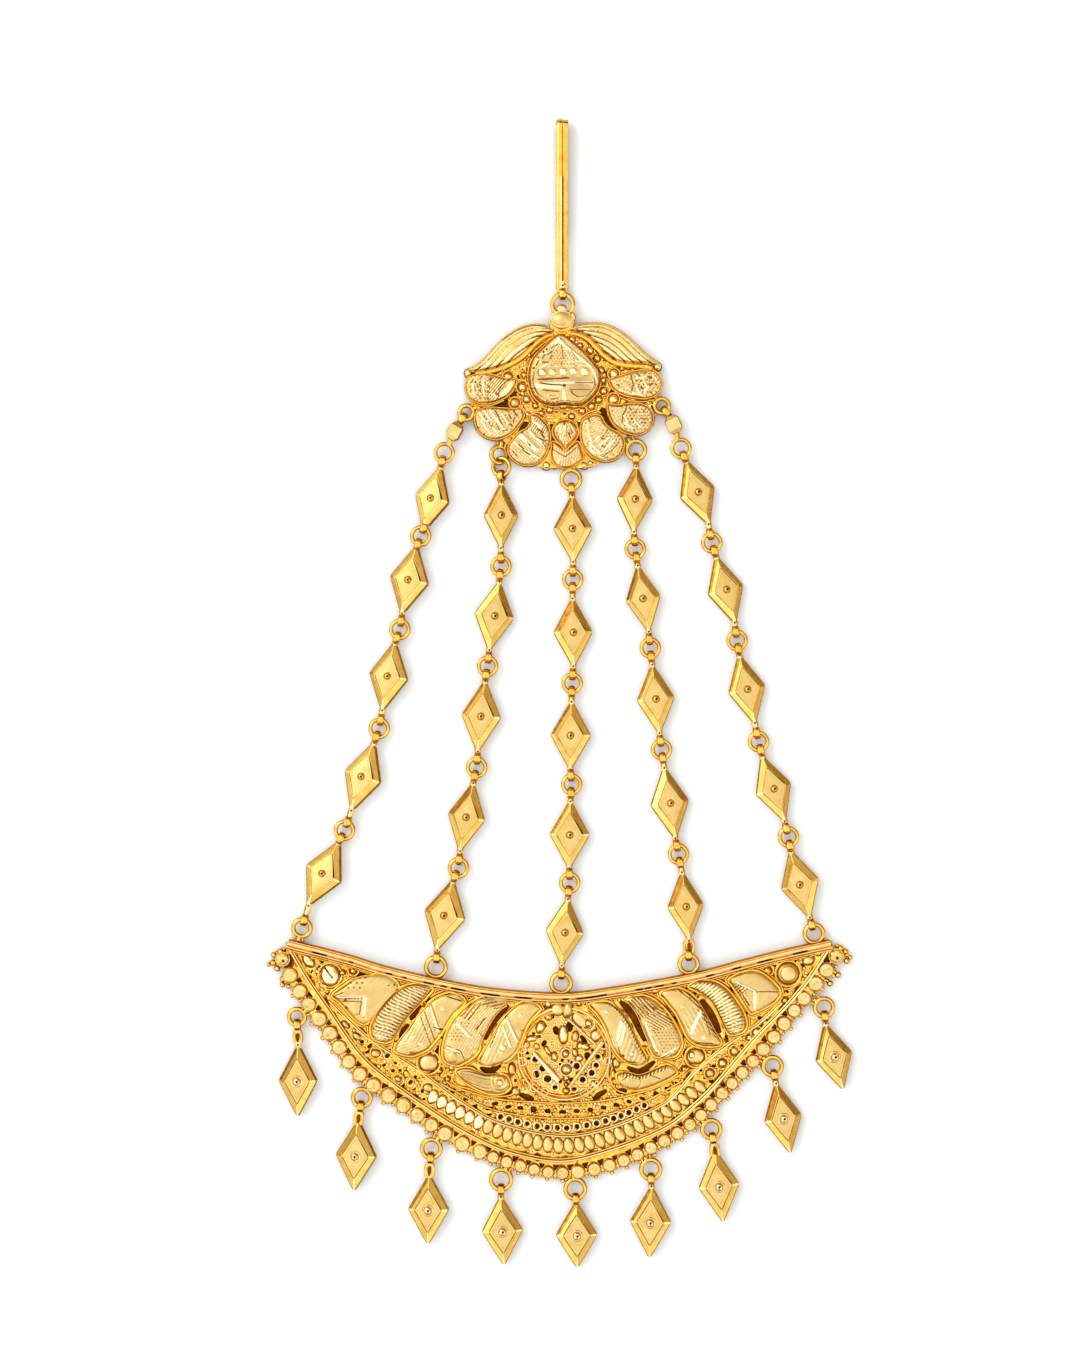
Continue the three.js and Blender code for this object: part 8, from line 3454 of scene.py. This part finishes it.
# ---- wings
wings = Form()
for name, wing in WINGS.items():
    loop = wing_loops[name]
    edge = spline(columns(wing["edge"], "x", "y"), 90)
    inner = spline(columns(wing["inner"], "x", "y"), 70)
    start = edge[0]
    reach = np.hypot(*(edge[-1] - start))

    def ribs(x, y):
        """Which rib each point is on, counted from the outer edge, as a running number."""
        p = np.column_stack([x, y])
        d = distance_to(p, edge, False)
        far = np.hypot(x - start[0], y - start[1]) / reach
        pitch = WING_RIBS["pitch"] * (0.50 + 0.50 * soft(far / 0.42))
        return (d - WING_RIBS["first"] * (0.75 + 0.25 * soft(far / 0.3))) / pitch

    def height(x, y):
        p = np.column_stack([x, y])
        d = distance_to(p, loop)
        from_inner = distance_to(p, inner, False)
        w = ribs(x, y)
        share = w - np.floor(w)
        rib = np.where(w > 0, np.sin(math.pi * np.clip(share * 1.04, 0, 1)) ** 0.55 * (1.0 - 0.35 * share), 0.85)
        z = 1.55 + 0.30 * soft(d / 0.42) + WING_RIBS["deep"] * rib * soft((d - 0.04) / 0.25)
        z = z + 0.10 * np.exp(-((from_inner - 0.62) / 0.36) ** 2) * (w > 0)
        z = z - 0.05 * np.exp(-((w + 0.0) / 0.10) ** 2)
        fine = wave((x * 0.72 - y * 0.69 * (1 if name == "wing_right" else -1)) / 0.27)
        return z + 0.008 * fine * soft((d - 0.1) / 0.2)

    # painted light and shade: rib lines as half shade, the rib middles near the inner edge as highlights, the ribs'
    # inner ends and the edge ticks as dark shade, the rim as half shade
    def paint(x, y):
        p = np.column_stack([x, y])
        d = distance_to(p, loop)
        from_inner = distance_to(p, inner, False)
        w = ribs(x, y)
        share = w - np.floor(w)
        out = np.full(len(x), F_CAP)
        out[(w > -0.08) & ((share < 0.07) | (share > 0.98)) & (from_inner < 2.4)] = F_PAINTED_HALF_SHADE
        out[(w > 0.1) & (share > 0.18) & (share < 0.66) & (from_inner < 1.05) & (from_inner > 0.28)] = F_PAINTED_HIGHLIGHT
        out[(w > -0.08) & ((share < 0.20) | (share > 0.90)) & (from_inner < 0.72)] = F_PAINTED_LINE_SHADE
        out[(distance_to(p, edge, False) < 0.34) & (np.abs(x - WING_TICKS["middle"]) < WING_TICKS["half"])] = F_PAINTED_LINE_SHADE
        out[d < 0.09] = F_PAINTED_HALF_SHADE
        return out

    wings.plate(loop, 0.1, height, step=0.115, finish=F_WIRE, paint=paint)
    # the beaded outer edge
    inwards = 1 if name == "wing_left" else -1
    beads = even(offset(edge, 0.17 * inwards), 44)
    for p in beads[1:-2]:
        wings.grain((*p, 1.70), 0.175, 4, 8, finish=F_CAP)
    # the thick band along the inner edge
    wings.wire(raised(offset(inner, 0.16 * inwards), 1.34), 0.36, 10, finish=F_GROUND, grow=0.75 + 0.35 * np.sin(np.linspace(0.2, 2.9, 70)))
    wings.wire(raised(offset(inner, 0.44 * inwards), 1.16), 0.15, 8, finish=F_WIRE)
wings.piece("ornament_wings", FINISHES, "top_ornament", "granulated_gold", 50)

# ---- medallion
medallion = Form()


def medal_extra(x, y, d):
    z = 0.05 * np.exp(-((d - 0.26) / 0.10) ** 2) - 0.06 * np.exp(-((d - 0.46) / 0.07) ** 2)
    for r in MEDALLION_LENSES:
        z = z - 0.07 * soft((1.06 - np.hypot((x - r["x"]) / r["rx"], (y - r["y"]) / r["ry"])) / 0.2)
    return z


# Hollows of the medallion's lower half, sunk a little and painted as half shade: middle and half sizes.
MEDALLION_LENSES = table("""
x  y  rx  ry
0.65  40.54  3.53  0.6
2.61  39.46  1.62  0.78
""")


# painted light and shade: the hollows as half shade, a band inside the lower left edge as a highlight, and a thin ring
# inside the edge of the lower half as shade
def medal_paint(x, y, d, out):
    for r in MEDALLION_LENSES:
        out = np.where((out == F_LEAF) & (np.hypot((x - r["x"]) / r["rx"], (y - r["y"]) / r["ry"]) < 1), F_PAINTED_HALF_SHADE, out)
    out = np.where((out == F_LEAF) & (d < 0.34) & (d > 0.12) & (y < 40) & (x < 1.83), F_PAINTED_HIGHLIGHT, out)
    out = np.where((out == F_LEAF) & (np.abs(d - 0.46) < 0.045) & (y < 41.37), F_PAINTED_LINE_SHADE, out)
    return out


height, paint = domed(medal_loop, MEDALLION_TOP["edge"], MEDALLION_TOP["crown"], MEDALLION_TOP["slope"], 0, 0.06, medal_extra, medal_paint)
medallion.plate(medal_loop, 0.15, height, step=0.105, finish=F_WIRE, paint=paint)
# painted shade: a dark wire round the medallion's edge
medallion.wire(raised(offset(medal_loop, 0.03, True), 1.95), 0.10, 8, closed=True, finish=F_PAINTED_LINE_SHADE)
medallion.wire(raised(offset(medal_loop, -0.08, True), 1.35), 0.15, 8, closed=True, finish=F_WIRE)
medallion.piece("ornament_medallion", FINISHES, "top_ornament", "granulated_gold", 50)

# ---- bottom leaf, fan, knob and its collar
small = Form()
height, paint = domed(leaf_loop, 1.55, 2.0, 0.40, 7, 0.10)
small.plate(leaf_loop, 0.04, height, step=0.12, finish=F_WIRE, paint=paint)
small.wire(raised(offset(leaf_loop, -0.06, True), 1.46), 0.12, 8, closed=True, finish=F_WIRE)
height, paint = domed(fan_loop, 1.25, 1.62, 0.36, 8, 0.10)
small.plate(fan_loop, 0.05, height, step=0.12, finish=F_WIRE, paint=paint)
small.wire(raised(offset(fan_loop, -0.05, True), 1.18), 0.12, 8, closed=True, finish=F_WIRE)
knob_at = (KNOB["x"], KNOB["y"], 0)
small.turn([(r["r"] * KNOB["radius"], r["z"]) for r in KNOB_PROFILE], knob_at, 40, tip=None, stretch=(1.0, 0.76), finish=F_LEAF)
around_knob = np.arange(44) / 44 * 2 * math.pi
rim_line = np.column_stack([KNOB["x"] + np.cos(around_knob) * KNOB["radius"] * 0.95, KNOB["y"] + np.sin(around_knob) * KNOB["radius"] * 0.722])
# a rim wire round the knob, painted light
small.wire(raised(rim_line, 1.86), 0.15, 8, closed=True, finish=F_PAINTED_LIGHT, grow=1.0 - 0.45 * np.cos(around_knob - 0.9))
# the small cap where the knob meets the hook's ring, painted light, with a wire of painted warm shade along its upper
# edge
small.turn(columns(KNOB_CAP, "r", "z"), (*(0.1, 50.08), 0), 20, stretch=(1, 0.78), finish=F_PAINTED_LIGHT)
arc = np.linspace(0.35, 2.8, 16)
arc_line = np.column_stack([np.cos(arc) * 0.66, np.sin(arc) * 0.52]) + np.array([*(0.1, 50.08)])
small.wire(raised(arc_line, 1.70), 0.09, 8, finish=F_PAINTED_WARM_SHADE)
# the support under the knob, and the collar's two swept arms
small.turn(columns(KNOB_SUPPORT, "r", "z"), (*(0.13, 47.39), 0), 28, stretch=(1, 0.92), finish=F_WIRE)
# The knob's ears and its collar's arms, as short bent wires: points, and the wire at its thickest.
COLLAR_ARMS = [
    (0.36, 1.66, 7, table("""
        x  y
        -1.49  48.48
        -1.23  47.99
        -0.73  47.44
        0  47.15
        0.78  47.36
        1.36  47.86
        1.65  48.51
    """)),
    (0.26, 1.85, 1, table("""
        x  y
        -0.65  47.25
        -0.13  46.89
        0.34  46.89
        0.84  47.2
    """)),
    (0.30, 1.55, 1, table("""
        x  y
        1.44  49.53
        1.67  49.03
        1.57  48.48
    """)),
]
for wire_radius, z, finish, rows in COLLAR_ARMS:
    small.wire(raised(spline(columns(rows, "x", "y"), 26), z), wire_radius, 10, finish=finish, grow=0.55 + 0.5 * np.sin(np.linspace(0, math.pi, 26)))
end_loop(small, HOOK_RING, (KNOB["x"], KNOB["y"] + KNOB["radius"] * 0.6), 1.5, 0.0)
small.piece("ornament_leaf_fan_and_knob", FINISHES, "top_ornament", "granulated_gold", 40)

# ---- balls, bosses and granules
ornament_bosses = Form()
for r in ORNAMENT_DOMES:
    dome(ornament_bosses, r, 16, 5)
ornament_covered = list(petal_loops.values()) + list(wing_loops.values()) + [medal_loop, leaf_loop, fan_loop]


def bare_ornament(p):
    keep = inside(p, ornament_outline) & (distance_to(p, ornament_outline) > 0.25)
    for loop in ornament_covered:
        keep &= ~inside(p, loop) & (distance_to(p, loop) > 0.30)
    for loop in ornament_holes:
        keep &= ~inside(p, loop) & (distance_to(p, loop) > 0.17)
    for r in ORNAMENT_DOMES:
        keep &= np.hypot(p[:, 0] - r["x"], p[:, 1] - r["y"]) > max(r["rx"], r["ry"]) + 0.12
    return keep


low_corner, high_corner = ornament_outline.min(0), ornament_outline.max(0)
places, spread = scatter(0.44, 21, bare_ornament, (low_corner[0], high_corner[0], low_corner[1], high_corner[1]))
size = spread.uniform(0.12, 0.19, len(places))
# granules in three golds at random, some painted light
kind = spread.choice([F_POLISHED, F_PAINTED_LIGHT, F_WIRE], len(places), p=[0.4, 0.35, 0.25])
for p, r, f in zip(places, size, kind):
    ornament_bosses.grain((*p, ORNAMENT_GROUND_TOP + 0.08 + r * 0.2), r, 4, 7, finish=int(f))
ornament_bosses.piece("ornament_bosses_and_granules", FINISHES, "top_ornament", "granulated_gold", 40)

# ---- the bails the chains hang from
# Where each bail is soldered on.
BAIL_ROOTS = table("""
x  y
-9.8  37.97
-7.58  33.53
1.05  30.39
8.5  33.53
11.37  38.5
""")
bails = Form()
for c, (chain, root) in enumerate(zip(CHAINS, BAIL_ROOTS)):
    ring = dict(chain["top_ring"])
    if c == 1:
        ring["roll"] = LINKED_TILT
    footed_bail(bails, ring, (ring["x"] - root["x"], ring["y"] - root["y"]))
bails.piece("ornament_bails", FINISHES, "top_ornament", "granulated_gold", 40)

# ---------------------------------------------------------------- floor, light and camera

floor_mesh = bpy.data.meshes.new("floor")
floor_mesh.from_pydata([(-3, -3, 0), (3, -3, 0), (3, 3, 0), (-3, 3, 0)], [], [(0, 1, 2, 3)])
floor = bpy.data.objects.new("floor", floor_mesh)
bpy.context.scene.collection.objects.link(floor)
white = bpy.data.materials.new("floor_white")
white.use_nodes = True
shader = white.node_tree.nodes["Principled BSDF"]
shader.inputs["Base Color"].default_value = (0.90, 0.955, 1.0, 1)
shader.inputs["Roughness"].default_value = 0.9
shader.inputs["Specular IOR Level"].default_value = 0.0
floor_mesh.materials.append(white)


KEY = 1.9
# Patches of the tent: the way to each, the cosines at which it starts and is full, and its change of light.
TENT = [
    ((0, 0, 1), 0.08, 0.60, 1.00),
    ((-0.7, 0.6, 0.55), 0.78, 0.95, 0.34),
    ((-0.8, -0.50, 0.45), 0.80, 0.95, 0.62),
    ((0.8, -0.45, 0.45), 0.80, 0.95, 0.34),
    ((0.15, 1.0, 0.30), 0.84, 0.95, -0.60),
    ((0.0, -1.0, 0.22), 0.84, 0.95, -0.60),
    ((0.72, 0.36, 0.62), 0.86, 0.96, -0.50),
]


def softbox(name, at, size, power, color=(1, 1, 1)):
    lamp = bpy.data.lights.new(name, "AREA")
    lamp.shape = "RECTANGLE"
    lamp.size, lamp.size_y = size
    lamp.energy = power
    lamp.color = color
    thing = bpy.data.objects.new(name, lamp)
    thing.location = at
    aim = np.array([0, 0, 0]) - np.array(at)
    thing.rotation_euler = Vector(aim).to_track_quat("-Z", "Y").to_euler()
    bpy.context.scene.collection.objects.link(thing)
    return thing


softbox("left_key", (-0.62, 0.40, 0.70), (0.42, 0.42), KEY, (1.0, 0.99, 0.97))

# The studio's tent: white overhead and round the sides, brighter at the upper left, darker low down and
# in two gaps, so that the metal's slopes have something to show.
world = bpy.data.worlds.new("studio")
bpy.context.scene.world = world
world.use_nodes = True
tent = world.node_tree
direction = tent.nodes.new("ShaderNodeTexCoord").outputs["Generated"]


def math_node(kind, a, b, c=None):
    node = tent.nodes.new("ShaderNodeMath")
    node.operation = kind
    for k, v in enumerate((a, b) if c is None else (a, b, c)):
        if isinstance(v, (int, float)):
            node.inputs[k].default_value = v
        else:
            tent.links.new(v, node.inputs[k])
    return node.outputs[0]


def towards(x, y, z):
    node = tent.nodes.new("ShaderNodeVectorMath")
    node.operation = "DOT_PRODUCT"
    length = math.sqrt(x * x + y * y + z * z)
    node.inputs[1].default_value = (x / length, y / length, z / length)
    tent.links.new(direction, node.inputs[0])
    return node.outputs["Value"]


def patch(heading, start, full, change):
    """A soft-edged patch of the tent that is lighter or darker."""
    node = tent.nodes.new("ShaderNodeMapRange")
    node.interpolation_type = "SMOOTHSTEP"
    node.inputs["From Min"].default_value = start
    node.inputs["From Max"].default_value = full
    node.inputs["To Min"].default_value = 0.0
    node.inputs["To Max"].default_value = change
    tent.links.new(heading, node.inputs["Value"])
    return node.outputs["Result"]


up = towards(0, 0, 1)
light = 0.30
for heading_, start, full, change in TENT:
    light = math_node("ADD", light, patch(towards(*heading_), start, full, change))
light = math_node("MAXIMUM", light, 0.04)
tent.links.new(light, tent.nodes["Background"].inputs["Strength"])
# where the tent is dim its light is warm
dim = tent.nodes.new("ShaderNodeMapRange")
dim.interpolation_type = "SMOOTHSTEP"
dim.inputs["From Min"].default_value = 0.40
dim.inputs["From Max"].default_value = 1.15
tent.links.new(light, dim.inputs["Value"])
tint = tent.nodes.new("ShaderNodeMix")
tint.data_type = "RGBA"
tint.inputs["A"].default_value = (1.0, 0.60, 0.16, 1)
tint.inputs["B"].default_value = (1.0, 0.985, 0.96, 1)
tent.links.new(dim.outputs["Result"], tint.inputs["Factor"])
tent.links.new(tint.outputs["Result"], tent.nodes["Background"].inputs["Color"])
# seen directly, past the floor's edge, the studio is one plain pale wall
wall = tent.nodes.new("ShaderNodeBackground")
wall.inputs["Color"].default_value = (0.94, 0.95, 0.96, 1)
wall.inputs["Strength"].default_value = 1.0
seen = tent.nodes.new("ShaderNodeMixShader")
tent.links.new(tent.nodes.new("ShaderNodeLightPath").outputs["Is Camera Ray"], seen.inputs[0])
tent.links.new(tent.nodes["Background"].outputs[0], seen.inputs[1])
tent.links.new(wall.outputs[0], seen.inputs[2])
tent.links.new(seen.outputs[0], tent.nodes["World Output"].inputs["Surface"])

view = bpy.data.cameras.new("camera")
view.sensor_fit = "VERTICAL"
view.sensor_height = 36.0
view.lens = 85.0
camera = bpy.data.objects.new("camera", view)
camera.location = (-2.745 * MM, 2.288 * MM, (0.9 + 1350 / 7.65 * 85.0 / 36.0) * MM)
camera.rotation_euler = (0, 0, 0)
view.clip_start = 0.01
view.clip_end = 10
bpy.context.scene.collection.objects.link(camera)
bpy.context.scene.camera = camera
bpy.context.scene.view_settings.view_transform = "Standard"
